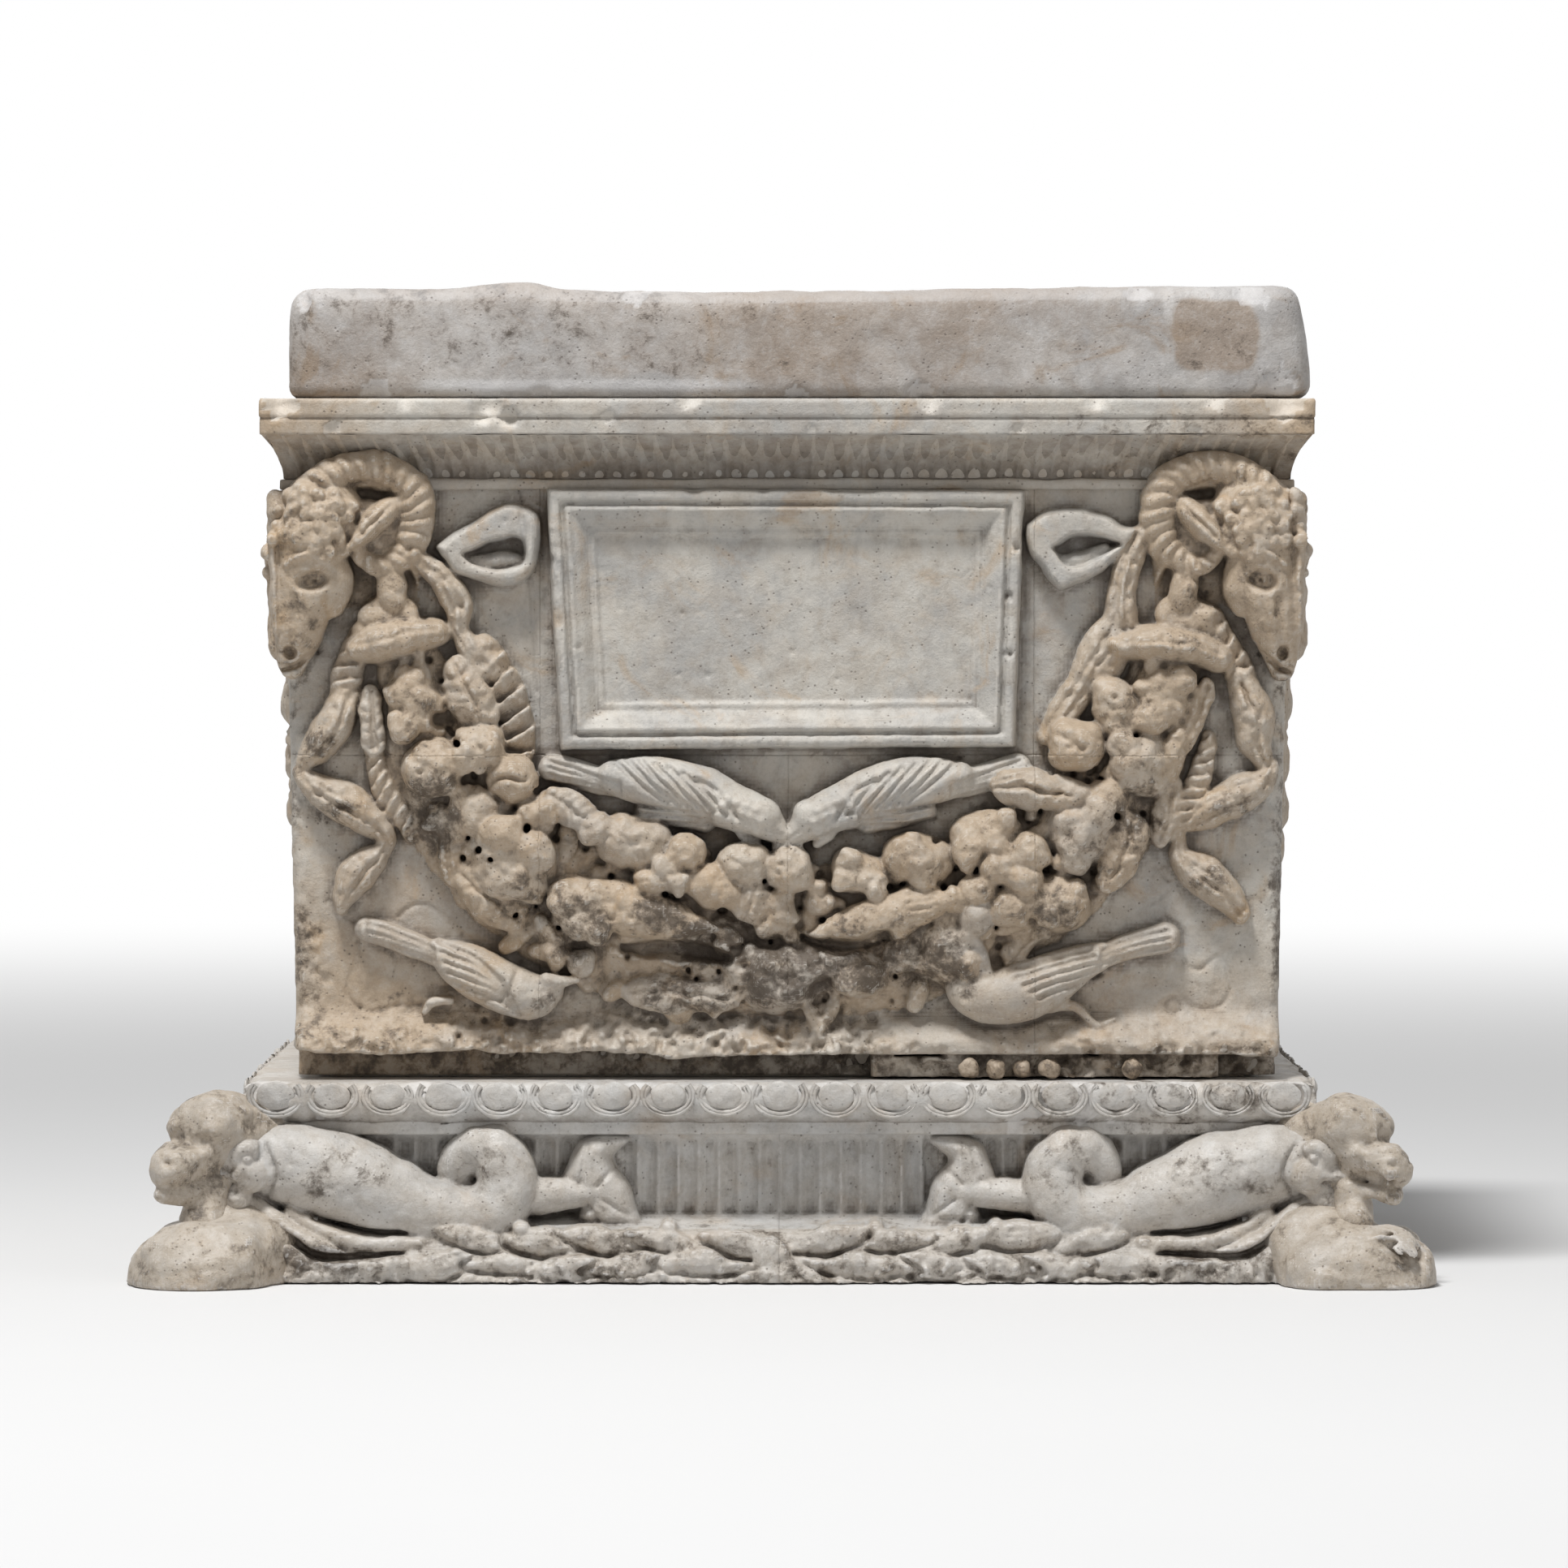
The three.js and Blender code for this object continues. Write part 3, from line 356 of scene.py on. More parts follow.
def surface_net(values: np.ndarray) -> Tuple[np.ndarray, np.ndarray]:
    """The surface at which a block of values turns from positive, inside, to negative.

    Args:
        values: A block of numbers, one for each corner of a cubic grid.

    Returns:
        Points in grid steps, and quads that face from positive to negative.
    """
    inside = values > 0
    shape = tuple(n - 1 for n in values.shape)
    some = np.zeros(shape, bool)
    every = np.ones(shape, bool)
    offsets = list(itertools.product((0, 1), repeat=3))
    for di, dj, dk in offsets:
        part = inside[di : di + shape[0], dj : dj + shape[1], dk : dk + shape[2]]
        some |= part
        every &= part
    active = some & ~every
    cells = np.argwhere(active)
    index = np.full(shape, -1, np.int32)
    index[active] = np.arange(len(cells), dtype=np.int32)
    corner = {o: values[cells[:, 0] + o[0], cells[:, 1] + o[1], cells[:, 2] + o[2]] for o in offsets}
    total = np.zeros((len(cells), 3), np.float32)
    count = np.zeros(len(cells), np.float32)
    for a, b in itertools.combinations(offsets, 2):
        if sum(abs(p - q) for p, q in zip(a, b)) != 1:
            continue
        first, second = corner[a], corner[b]
        cross = (first > 0) != (second > 0)
        share = first[cross] / (first[cross] - second[cross])
        start, step = np.array(a, np.float32), np.array(b, np.float32) - np.array(a, np.float32)
        total[cross] += start + share[:, None] * step
        count[cross] += 1
    points = total / count[:, None] + cells
    quads = []
    for axis in range(3):
        second, third = (axis + 1) % 3, (axis + 2) % 3
        here = [slice(None)] * 3
        here[axis] = slice(0, -1)
        there = [slice(None)] * 3
        there[axis] = slice(1, None)
        cross = inside[tuple(here)] != inside[tuple(there)]
        at = np.argwhere(cross)
        keep = (
            (at[:, second] > 0)
            & (at[:, second] < values.shape[second] - 1)
            & (at[:, third] > 0)
            & (at[:, third] < values.shape[third] - 1)
        )
        at = at[keep]
        ring = []
        for back_second, back_third in ((1, 1), (0, 1), (0, 0), (1, 0)):
            cell = at.copy()
            cell[:, second] -= back_second
            cell[:, third] -= back_third
            ring.append(index[cell[:, 0], cell[:, 1], cell[:, 2]])
        faces = np.stack(ring, axis=1)
        solid = inside[at[:, 0], at[:, 1], at[:, 2]]
        faces[~solid] = faces[~solid][:, ::-1]
        quads.append(faces)
    return points, np.vstack(quads).astype(np.int64)


def box_mean(block: np.ndarray, reach: int) -> np.ndarray:
    """The mean of a block of values over a cube of 2 * reach + 1 steps round each.

    Args:
        block: The block of values.
        reach: How many steps it looks each way.

    Returns:
        The means, in a block of the same size.
    """
    result = block
    for axis in range(3):
        pad = [(0, 0)] * 3
        pad[axis] = (reach + 1, reach)
        summed = np.cumsum(np.pad(result, pad, mode="edge"), axis=axis, dtype=np.float32)
        size = result.shape[axis]
        high = [slice(None)] * 3
        high[axis] = slice(2 * reach + 1, 2 * reach + 1 + size)
        low = [slice(None)] * 3
        low[axis] = slice(0, size)
        result = (summed[tuple(high)] - summed[tuple(low)]) / (2 * reach + 1)
    return result


def net_shell(values: np.ndarray, cell: float) -> Shell:
    """A shell round the positive part of a block of values, in grid steps, with its marks.

    Args:
        values: The block of values.
        cell: The size of a grid step in millimetres, for the reach of the marks.

    Returns:
        The shell, its points still in grid steps.
    """
    soft = values
    for axis in range(3):
        padded = np.pad(soft, [(1, 1) if a == axis else (0, 0) for a in range(3)], mode="edge")
        before = [slice(None)] * 3
        before[axis] = slice(0, -2)
        after = [slice(None)] * 3
        after[axis] = slice(2, None)
        soft = 0.6 * soft + 0.2 * (padded[tuple(before)] + padded[tuple(after)])
    points, quads = surface_net(soft)
    solid = (soft > 0).astype(np.float32)
    nearest = np.clip(np.rint(points).astype(int), 0, np.array(values.shape) - 1)
    at = (nearest[:, 0], nearest[:, 1], nearest[:, 2])
    # More stone round a point means a hollow, less a ridge: hollows are painted dark, as soil and as painted
    # shade, and ridges pale, as wear and as a painted highlight
    wide = box_mean(solid, max(2, round(5.5 / cell)))[at] - 0.5
    near = box_mean(solid, max(1, round(2.0 / cell)))[at] - 0.5
    shell = Shell(points, quads)
    return shell.tint(hollow=wide * 3.2 + near * 0.8, worn=-near * 3.0 - wide * 0.6)


@dataclass(frozen=True)
class Placement:
    """Where a face stands: its origin and its directions across, up and out. It may lean out."""

    origin: Point3
    across: Point3 = (1.0, 0.0, 0.0)
    up: Point3 = (0.0, 0.0, 1.0)
    out: Point3 = (0.0, -1.0, 0.0)
    lean: float = 0.0

    def place(self, shell: Shell) -> Shell:
        """Moves a shell from its face into the row frame, still in millimetres.

        Args:
            shell: The shell, as across, up and out.

        Returns:
            The same shell, moved.
        """
        u, v, w = shell.points.T
        w = w + self.lean * v
        shell.points = (
            np.array(self.origin)
            + u[:, None] * np.array(self.across)
            + v[:, None] * np.array(self.up)
            + w[:, None] * np.array(self.out)
        )
        return shell


def facing(hand: int) -> Tuple[Point3, Point3, Point3]:
    """The directions of a side face, across, up and out: -1 for the left side and 1 for the right."""
    return (0, hand, 0), (0, 0, 1), (hand, 0, 0)


def build_piece(name: str, shell: Shell, material: bpy.types.Material, stone: Stone) -> bpy.types.Object:
    """Makes an object of a shell, dresses it and fixes it to its stone.

    Args:
        name: The piece's name.
        shell: Its shape in millimetres, in the row frame.
        material: Its marble.
        stone: The stone that it belongs to.

    Returns:
        The object.
    """
    mesh = bpy.data.meshes.new(name)
    mesh.vertices.add(len(shell.points))
    mesh.vertices.foreach_set("co", (shell.points * MM).astype(np.float32).ravel())
    loops = np.concatenate([shell.quads.ravel(), shell.tris.ravel()]).astype(np.int32)
    sizes = np.concatenate([np.full(len(shell.quads), 4), np.full(len(shell.tris), 3)])
    starts = np.concatenate([[0], np.cumsum(sizes)[:-1]]).astype(np.int32)
    mesh.loops.add(len(loops))
    mesh.loops.foreach_set("vertex_index", loops)
    mesh.polygons.add(len(sizes))
    mesh.polygons.foreach_set("loop_start", starts)
    smooth = np.arange(len(sizes)) < len(shell.quads) - shell.walls
    mesh.polygons.foreach_set("use_smooth", smooth | ((sizes == 3) & (shell.walls == 0)))
    for label in MARKS:
        attribute = mesh.attributes.new(label, "FLOAT", "POINT")
        attribute.data.foreach_set("value", shell.mark(label).astype(np.float32))
    mesh.update(calc_edges=True)
    mesh.validate()
    mesh.materials.append(material)
    piece = bpy.data.objects.new(name, mesh)
    bpy.context.scene.collection.objects.link(piece)
    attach(piece, stone.value)
    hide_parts(stone.value)
    LOG.info("%s: %d faces", name, len(sizes))
    return piece


# Carving on a face


@dataclass
class Track:
    """The part of a face near a path: where it is, how far across the path and how far along it."""

    window: Tuple[slice, slice]
    across: np.ndarray
    along: np.ndarray
    values: np.ndarray

    def inside(self) -> np.ndarray:
        """Where the path's width covers the face."""
        return np.abs(self.across) < 1


class Relief:
    """A face of stone as a carver sees it: how far out it stands at each place across and up."""

    def __init__(
        self, left: float, right: float, foot: float, top: float, cell: float, back: float, crown: float
    ) -> None:
        """Starts a flat face.

        Args:
            left: Where it starts, across.
            right: Where it ends, across.
            foot: Where it starts, up.
            top: Where it ends, up.
            cell: The size of its mesh.
            back: How far behind the ground its mesh reaches.
            crown: How far out the carving may stand.
        """
        self.cell, self.back, self.crown = cell, back, crown
        self.left, self.foot = left, foot
        self.count = (round((right - left) / cell), round((top - foot) / cell))
        fine = cell / 2
        self.u = (left + (np.arange(2 * self.count[0]) + 0.5) * fine).astype(np.float32)
        self.v = (foot + (np.arange(2 * self.count[1]) + 0.5) * fine).astype(np.float32)
        self.height = np.zeros((len(self.u), len(self.v)), np.float32)
        self.wild, self.tan, self.crust = (np.zeros_like(self.height) for _ in range(3))
        flat = (self.u[:, None], self.v[None, :])
        self.bends = [rough(flat, 10, seed, 3) for seed in (901, 902)]
        self.wander = 0.0
        self.blend = 0.5
        self.tone: Optional[float] = None

    def window(self, left: float, right: float, foot: float, top: float) -> Tuple[slice, slice]:
        """The part of the face between four limits."""
        return (
            slice(*np.searchsorted(self.u, (left, right))), slice(*np.searchsorted(self.v, (foot, top)))
        )

    def grid(self, window: Tuple[slice, slice]) -> Tuple[np.ndarray, np.ndarray]:
        """The places across and up in a window, astray by as much as the hand wanders."""
        across = self.u[window[0]][:, None] + self.wander * self.bends[0][window]
        return across, self.v[window[1]][None, :] + self.wander * self.bends[1][window]

    def whole(self) -> Tuple[np.ndarray, np.ndarray]:
        """The places across and up of the whole face."""
        return self.grid((slice(None), slice(None)))

    def at(self, u: float, v: float) -> float:
        """How far out the face stands at a place."""
        i, j = np.searchsorted(self.u, u) - 1, np.searchsorted(self.v, v) - 1
        return float(self.height[i, j])

    def lowest(self, u: float, v: float, reach: float) -> Point:
        """The lowest place within reach of a place.

        Args:
            u: The place, across.
            v: The place, up.
            reach: How far to look each way.

        Returns:
            The lowest place, across and up.
        """
        window = self.window(u - reach, u + reach, v - reach, v + reach)
        block = self.height[window]
        i, j = np.unravel_index(int(np.argmin(block)), block.shape)
        return float(self.u[window[0]][i]), float(self.v[window[1]][j])

    def around(
        self, u: float, v: float, radii: Tuple[float, float], turn: float, power: float = 2.0
    ) -> Tuple[Tuple[slice, slice], np.ndarray, np.ndarray, np.ndarray]:
        """An oval on the face.

        Args:
            u: Its middle, across.
            v: Its middle, up.
            radii: Its radii.
            turn: How far it is turned, in degrees.
            power: 2 for an ellipse, more for a squarer shape.

        Returns:
            Its window, how far out from its middle each place is (1 at the rim), and its own coordinates.
        """
        reach = max(radii) * 1.45
        window = self.window(u - reach, u + reach, v - reach, v + reach)
        across, up = self.grid(window)
        cos, sin = math.cos(math.radians(turn)), math.sin(math.radians(turn))
        along = ((across - u) * cos + (up - v) * sin) / radii[0]
        over = ((up - v) * cos - (across - u) * sin) / radii[1]
        rim = (np.abs(along) ** power + np.abs(over) ** power) ** (1 / power)
        return window, rim, along, over

    def raise_to(self, window: Tuple[slice, slice], heights: np.ndarray, mask: np.ndarray) -> None:
        """Brings the face out to given heights where it is lower.

        Args:
            window: The part of the face.
            heights: How far out it is brought there.
            mask: Where it is touched.
        """
        here = self.height[window]
        if self.tone is not None:
            np.copyto(self.tan[window], self.tone, where=mask & (heights > here - 0.4))
        fillet = np.maximum(self.blend - np.abs(here - heights), 0) ** 2 / (4 * self.blend)
        np.copyto(here, np.maximum(here, heights) + fillet, where=mask)

    def cut_to(self, window: Tuple[slice, slice], heights: np.ndarray, mask: np.ndarray) -> None:
        """Takes the face back to given heights where it is higher."""
        here = self.height[window]
        np.copyto(here, np.minimum(here, heights), where=mask)

    def lump(
        self,
        u: float,
        v: float,
        radii: Tuple[float, float],
        turn: float,
        top: float,
        swell: float = 0.9,
        power: float = 2.0,
    ) -> None:
        """Leaves a rounded lump standing.

        Args:
            u: Its middle, across.
            v: Its middle, up.
            radii: Its radii.
            turn: How far it is turned, in degrees.
            top: How far out its top stands.
            swell: How round it is, as a share of its smaller radius.
            power: 2 for an oval, more for a squarer shape.
        """
        window, rim, _, _ = self.around(u, v, radii, turn, power)
        drop = swell * min(radii)
        dome = top - drop + drop * np.sqrt(np.clip(1 - rim * rim, 0, 1))
        self.raise_to(window, dome, rim < 1)

    def pit(self, u: float, v: float, radii: Tuple[float, float], turn: float, depth: float) -> None:
        """Hollows out an oval dish below the face as it stands.

        Args:
            u: Its middle, across.
            v: Its middle, up.
            radii: Its radii.
            turn: How far it is turned, in degrees.
            depth: How deep it is at its middle.
        """
        window, rim, _, _ = self.around(u, v, radii, turn)
        here = self.height[window]
        here -= (depth * np.clip(1 - rim * rim, 0, 1) ** 0.7).astype(np.float32)

    def drill(self, u: float, v: float, radius: float, floor: float) -> None:
        """Drills a round hole down to a floor."""
        window, rim, _, _ = self.around(u, v, (radius, radius), 0)
        self.cut_to(window, floor + 3 * np.clip(rim, 0, 1) ** 4, rim < 1)

    def track(self, stations: Sequence[Sequence[float]], steps: int = 6) -> Track:
        """Follows a path over the face.

        Args:
            stations: Rows of across, up, half width and any further values.
            steps: How many straight bits stand for each span.

        Returns:
            The track. Its values hold the half width and the further values at each place.
        """
        path = spline(stations, steps)
        widest = path[:, 2].max() + self.cell + 1.5 * self.wander
        window = self.window(
            path[:, 0].min() - widest,
            path[:, 0].max() + widest,
            path[:, 1].min() - widest,
            path[:, 1].max() + widest,
        )
        across, up = self.grid(window)
        lines = self.u[window[0]], self.v[window[1]]
        shape = across.shape
        best = np.full(shape, 1e9, np.float32)
        side = np.zeros(shape, np.float32)
        along = np.zeros(shape, np.float32)
        values = np.zeros(shape + (path.shape[1] - 2,), np.float32)
        travelled = 0.0
        for start, end in zip(path[:-1], path[1:]):
            du, dv = end[0] - start[0], end[1] - start[1]
            length = math.hypot(du, dv) or 1e-6
            margin = max(start[2], end[2]) + self.cell + 1.5 * self.wander
            low_u, high_u = sorted((start[0], end[0]))
            low_v, high_v = sorted((start[1], end[1]))
            near = (
                slice(*np.searchsorted(lines[0], (low_u - margin, high_u + margin))),
                slice(*np.searchsorted(lines[1], (low_v - margin, high_v + margin))),
            )
            pu, pv = across[near] - start[0], up[near] - start[1]
            share = np.clip((pu * du + pv * dv) / length**2, 0, 1)
            off_u, off_v = pu - share * du, pv - share * dv
            distance = np.hypot(off_u, off_v)
            width = start[2] + share * (end[2] - start[2])
            ratio = distance / np.maximum(width, 1e-3)
            closer = ratio < best[near]
            best[near] = np.where(closer, ratio, best[near])
            hand = np.sign(du * pv - dv * pu)
            side[near] = np.where(closer, ratio * hand, side[near])
            along[near] = np.where(closer, travelled + share * length, along[near])
            for k in range(values.shape[2]):
                value = start[2 + k] + share * (end[2 + k] - start[2 + k])
                values[near + (k,)] = np.where(closer, value, values[near + (k,)])
            travelled += length
        side = np.where(best < 1e8, side, 1e3)
        return Track(window, side, along, values)

    def strap(
        self,
        stations: Sequence[Sequence[float]],
        crown: float = 0.5,
        ribs: float = 0.0,
        pitch: float = 5.0,
        slant: float = 0.0,
        pleated: bool = False,
    ) -> None:
        """Leaves a band standing along a path.

        Args:
            stations: Rows of across, up, half width and height.
            crown: How round its section is, from 0, flat, to 1, half round.
            ribs: How deep its cross grooves are, in millimetres.
            pitch: How far apart its cross grooves are.
            slant: How far the grooves run ahead at the edge, in millimetres.
            pleated: Whether the grooves are pleats, steep on one side only.
        """
        track = self.track(stations)
        s = np.clip(np.abs(track.across), 0, 1)
        section = 1 - crown * (1 - np.sqrt(1 - s * s)) - 0.25 * (1 - crown) * s**6
        heights = track.values[..., 1] * section
        if ribs:
            phase = (track.along + slant * track.across) / pitch
            saw = phase - np.floor(phase)
            heights = heights - ribs * (saw if pleated else (1 - np.abs(2 * saw - 1)) ** 3)
        self.raise_to(track.window, heights, track.inside())

    def limb(
        self,
        stations: Sequence[Sequence[float]],
        steps: int = 6,
        ribs: float = 0.0,
        pitch: float = 5.0,
        slant: float = 0.0,
    ) -> None:
        """Leaves a round limb standing: rows of across, up, radius and how far out its middle lies.

        Args:
            stations: The rows.
            steps: How many straight bits stand for each span.
            ribs: How deep its rings are cut, in millimetres.
            pitch: How far apart the rings are.
            slant: How far they run ahead at the edge, in millimetres.
        """
        track = self.track(stations, steps)
        s = np.clip(np.abs(track.across), 0, 1)
        bulge = track.values[..., 0] * np.sqrt(1 - s * s)
        if ribs:
            phase = (track.along + slant * track.across) / pitch
            saw = phase - np.floor(phase)
            bulge = bulge - ribs * (1 - np.sqrt(1 - (2 * saw - 1) ** 2)) ** 0.8
        self.raise_to(track.window, track.values[..., 1] + bulge, track.inside())

    def groove(self, stations: Sequence[Sequence[float]], depth: float, steps: int = 6) -> None:
        """Cuts a groove along a path of across, up and half width.

        Args:
            stations: The rows.
            depth: How deep it is.
            steps: How many straight bits stand for each span.
        """
        track = self.track(stations, steps)
        s = np.clip(np.abs(track.across), 0, 1)
        here = self.height[track.window]
        here -= (depth * (1 - s * s) * track.inside()).astype(np.float32)

    def outline(self, corners: Sequence[Point]) -> Tuple[Tuple[slice, slice], np.ndarray]:
        """How far inside a closed outline each place is.

        Args:
            corners: The outline's corners.

        Returns:
            Its window, and distances that are positive inside.
        """
        shape = np.asarray(corners, float)
        window = self.window(
            shape[:, 0].min() - 4, shape[:, 0].max() + 4, shape[:, 1].min() - 4, shape[:, 1].max() + 4
        )
        across, up = self.grid(window)
        best = np.full(across.shape, 1e9, np.float32)
        odd = np.zeros(best.shape, bool)
        for start, end in zip(shape, np.roll(shape, -1, axis=0)):
            du, dv = end - start
            share = np.clip(
                ((across - start[0]) * du + (up - start[1]) * dv) / max(du * du + dv * dv, 1e-9), 0, 1
            )
            best = np.minimum(best, np.hypot(across - start[0] - share * du, up - start[1] - share * dv))
            if dv:
                spans = (up > min(start[1], end[1])) & (up <= max(start[1], end[1]))
                odd ^= spans & (across < start[0] + (up - start[1]) * du / dv)
        return window, np.where(odd, best, -best)

    def pillow(self, corners: Sequence[Point], top: float, edge: float, foot: float = 0.0) -> None:
        """Leaves a flat shape standing with a rounded edge.

        Args:
            corners: Its outline.
            top: How far out it stands.
            edge: How wide its rounded edge is.
            foot: How far out the edge starts.
        """
        smooth = spline(list(corners) + [corners[0]], 5)[:-1]
        window, inward = self.outline([(p[0], p[1]) for p in smooth])
        share = np.clip(inward / edge, 0, 1)
        heights = foot + (top - foot) * np.sqrt(1 - (1 - share) ** 2)
        self.raise_to(window, heights, inward > 0)

    def hole(self, corners: Sequence[Point], floor: float) -> None:
        """Cuts a shape down to a floor, with slightly sloping sides.

        Args:
            corners: Its outline.
            floor: How far out its floor stands.
        """
        smooth = spline(list(corners) + [corners[0]], 5)[:-1]
        window, inward = self.outline([(p[0], p[1]) for p in smooth])
        here = self.height[window]
        share = np.clip(inward / 2.0, 0, 1)
        np.copyto(here, np.minimum(here, here * (1 - share) + floor * share), where=inward > 0)

    def break_up(
        self, u: float, v: float, radii: Tuple[float, float], amount: float, crust: float = 0.0
    ) -> None:
        """Marks an oval as weathered.

        Args:
            u: Its middle, across.
            v: Its middle, up.
            radii: Its radii.
            amount: How far its surface is broken, in millimetres.
            crust: How dark a crust has grown there, from 0 to 1.
        """
        window, rim, _, _ = self.around(u, v, (radii[0] * 1.3, radii[1] * 1.3), 0)
        fade = 1 - ease(rim, 0.35, 1.0)
        for layer, full in ((self.wild, amount), (self.crust, crust)):
            np.copyto(layer[window], np.maximum(layer[window], full * fade))

    def weather(self, seed: int, even: float = 0.22) -> None:
        """Roughens the whole face a little, and what is marked as broken a lot.

        Args:
            seed: The number that fixes the pattern.
            even: How rough the sound surface is.
        """
        flat = (self.u[:, None], self.v[None, :])
        self.height += 2 * even * rough(flat, 38, seed, 2)
        self.height += even * rough(flat, 7, seed + 1, 4, 0.7)
        broken = rough(flat, 7, seed + 2, 4, 0.7)
        crags = 1 - 2 * np.abs(rough(flat, 6, seed + 3, 3, 0.6))
        holes = np.clip(noise(flat, 3.1, seed + 4) - 0.35, 0, 1) * 2.2
        self.height += self.wild * (0.5 * broken + 0.4 * crags - 0.25) - np.minimum(self.wild, 1.2) * holes

    def shell(self) -> Shell:
        """The face as an open shell.

        Returns:
            The shell, as across, up and out, with its marks.
        """
        steps = int(round((self.crown - self.back) / self.cell)) + 1
        block = np.empty((self.count[0], self.count[1], steps), np.float32)
        for k in range(steps):
            level = np.clip((self.height - (self.back + k * self.cell)) / self.cell, -1.5, 1.5)
            block[:, :, k] = level.reshape(self.count[0], 2, self.count[1], 2).mean(axis=(1, 3))
        shell = net_shell(block, self.cell)
        place = np.rint(shell.points[:, :2] * 2 + 0.5).astype(int)
        spots = tuple(np.clip(place[:, k], 0, self.height.shape[k] - 1) for k in range(2))
        shell.tint(tan=self.tan[spots], crust=self.crust[spots])
        shell.points = shell.points * self.cell + np.array(
            [self.left + self.cell / 2, self.foot + self.cell / 2, self.back]
        )
        return shell

    def pieces(
        self, bounds: Sequence[float] = (), level: float = 1e3, whole: Point = (0.0, 0.0)
    ) -> List[Shell]:
        """The face as closed shells.

        Args:
            bounds: Where it is cut across.
            level: Where it is cut once upwards.
            whole: Between which places the part above the level stays in one.

        Returns:
            The shells, from left to right, first below the level and then above it.
        """
        shell = self.shell()
        middle = shell.points[shell.quads].mean(axis=1)
        high = middle[:, 1] > level
        kept = high & (middle[:, 0] > whole[0]) & (middle[:, 0] < whole[1])
        across = np.where(kept, whole[0] + 1, middle[:, 0])
        group = np.searchsorted(np.asarray(bounds, float), across) + high * (len(bounds) + 1)
        return [shell.part(group == i).closed_behind(self.back - 0.5) for i in np.unique(group)]


class Boulder:
    """A block of stone worked in the round, on a grid of distances that are positive inside."""

    def __init__(self, low: Sequence[float], high: Sequence[float], cell: float = 0.9) -> None:
        """Starts an empty block between two corners, in millimetres.

        Args:
            low: The lower corner.
            high: The upper corner.
            cell: The size of its mesh.
        """
        self.low, self.cell = np.asarray(low, float), cell
        counts = np.ceil((np.asarray(high) - self.low) / cell).astype(int) + 1
        axes = [self.low[a] + np.arange(counts[a]) * cell for a in range(3)]
        self.x, self.y, self.z = (axes[0][:, None, None], axes[1][None, :, None], axes[2][None, None, :])
        self.values = np.full(tuple(counts), -30.0, np.float32)

    def _oval(self, centre: Sequence[float], radii: Sequence[float], power: float = 2.0) -> np.ndarray:
        """How far inside an ellipsoid each place is.

        Args:
            centre: Its middle.
            radii: Its radii.
            power: 2 for an ellipsoid, more for a squarer shape.

        Returns:
            The distances, positive inside.
        """
        axes = (self.x, self.y, self.z)
        rim = sum(np.abs((axis - c) / r) ** power for axis, c, r in zip(axes, centre, radii)) ** (1 / power)
        return ((1 - rim) * min(radii)).astype(np.float32)

    def merge(self, other: np.ndarray, blend: float) -> None:
        """Adds another shape, with a smooth fillet of about the given size.

        Args:
            other: The shape's distances, positive inside.
            blend: The fillet's size, 0 for none.
        """
        if blend <= 0:
            self.values = np.maximum(self.values, other)
            return
        share = np.clip(0.5 + 0.5 * (other - self.values) / blend, 0, 1)
        self.values = self.values * (1 - share) + other * share + blend * share * (1 - share)

    def ball(
        self, centre: Sequence[float], radii: Sequence[float], blend: float = 2.0, power: float = 2.0
    ) -> None:
        """Adds an ellipsoid, squarer with a higher power."""
        self.merge(self._oval(centre, radii, power), blend)

    def limb(self, stations: Sequence[Sequence[float]], blend: float) -> None:
        """Adds a limb through stations of x, y, z and radius.

        Args:
            stations: The rows.
            blend: The fillet's size.
        """
        path = spline(stations, 4)
        shape = np.full_like(self.values, -30.0)
        for start, end in zip(path[:-1], path[1:]):
            d = end[:3] - start[:3]
            square = max(float(d @ d), 1e-9)
            px, py, pz = self.x - start[0], self.y - start[1], self.z - start[2]
            share = np.clip((px * d[0] + py * d[1] + pz * d[2]) / square, 0, 1)
            distance = np.sqrt(
                (px - share * d[0]) ** 2 + (py - share * d[1]) ** 2 + (pz - share * d[2]) ** 2
            )
            radius = start[3] + share * (end[3] - start[3])
            shape = np.maximum(shape, (radius - distance).astype(np.float32))
        self.merge(shape, blend)

    def carve(self, centre: Sequence[float], radii: Sequence[float], blend: float = 1.5) -> None:
        """Cuts an ellipsoid away.

        Args:
            centre: Its middle.
            radii: Its radii.
            blend: The fillet's size.
        """
        self.values = -self.values
        self.merge(self._oval(centre, radii), blend)
        self.values = -self.values

    def trench(self, stations: Sequence[Sequence[float]], blend: float = 1.0) -> None:
        """Cuts a round groove away along stations of x, y, z and radius.

        Args:
            stations: The rows.
            blend: The fillet's size.
        """
        self.values = -self.values
        self.limb(stations, blend)
        self.values = -self.values

    def weather(self, amount: float, size: float, seed: int, octaves: int = 4) -> None:
        """Roughens the surface by noise.

        Args:
            amount: About how far at most, in millimetres.
            size: The size of the largest swell.
            seed: The number that fixes the pattern.
            octaves: How many sizes of swell.
        """
        shape = self.values.shape
        coords = [np.broadcast_to(a, shape).astype(np.float32) for a in (self.x, self.y, self.z)]
        near = np.abs(self.values) < 4
        swell = rough([c[near] for c in coords], size, seed, octaves)
        self.values[near] += (amount * swell).astype(np.float32)

    def shell(self) -> Shell:
        """The block as a closed shell.

        Returns:
            The shell in millimetres, with its marks.
        """
        clipped = np.clip(self.values / self.cell, -1.5, 1.5)
        for axis in range(3):
            edge = [slice(None)] * 3
            for side in (0, -1):
                edge[axis] = side
                clipped[tuple(edge)] = -1.5
        shell = net_shell(clipped, self.cell)
        shell.points = shell.points * self.cell + self.low
        return shell


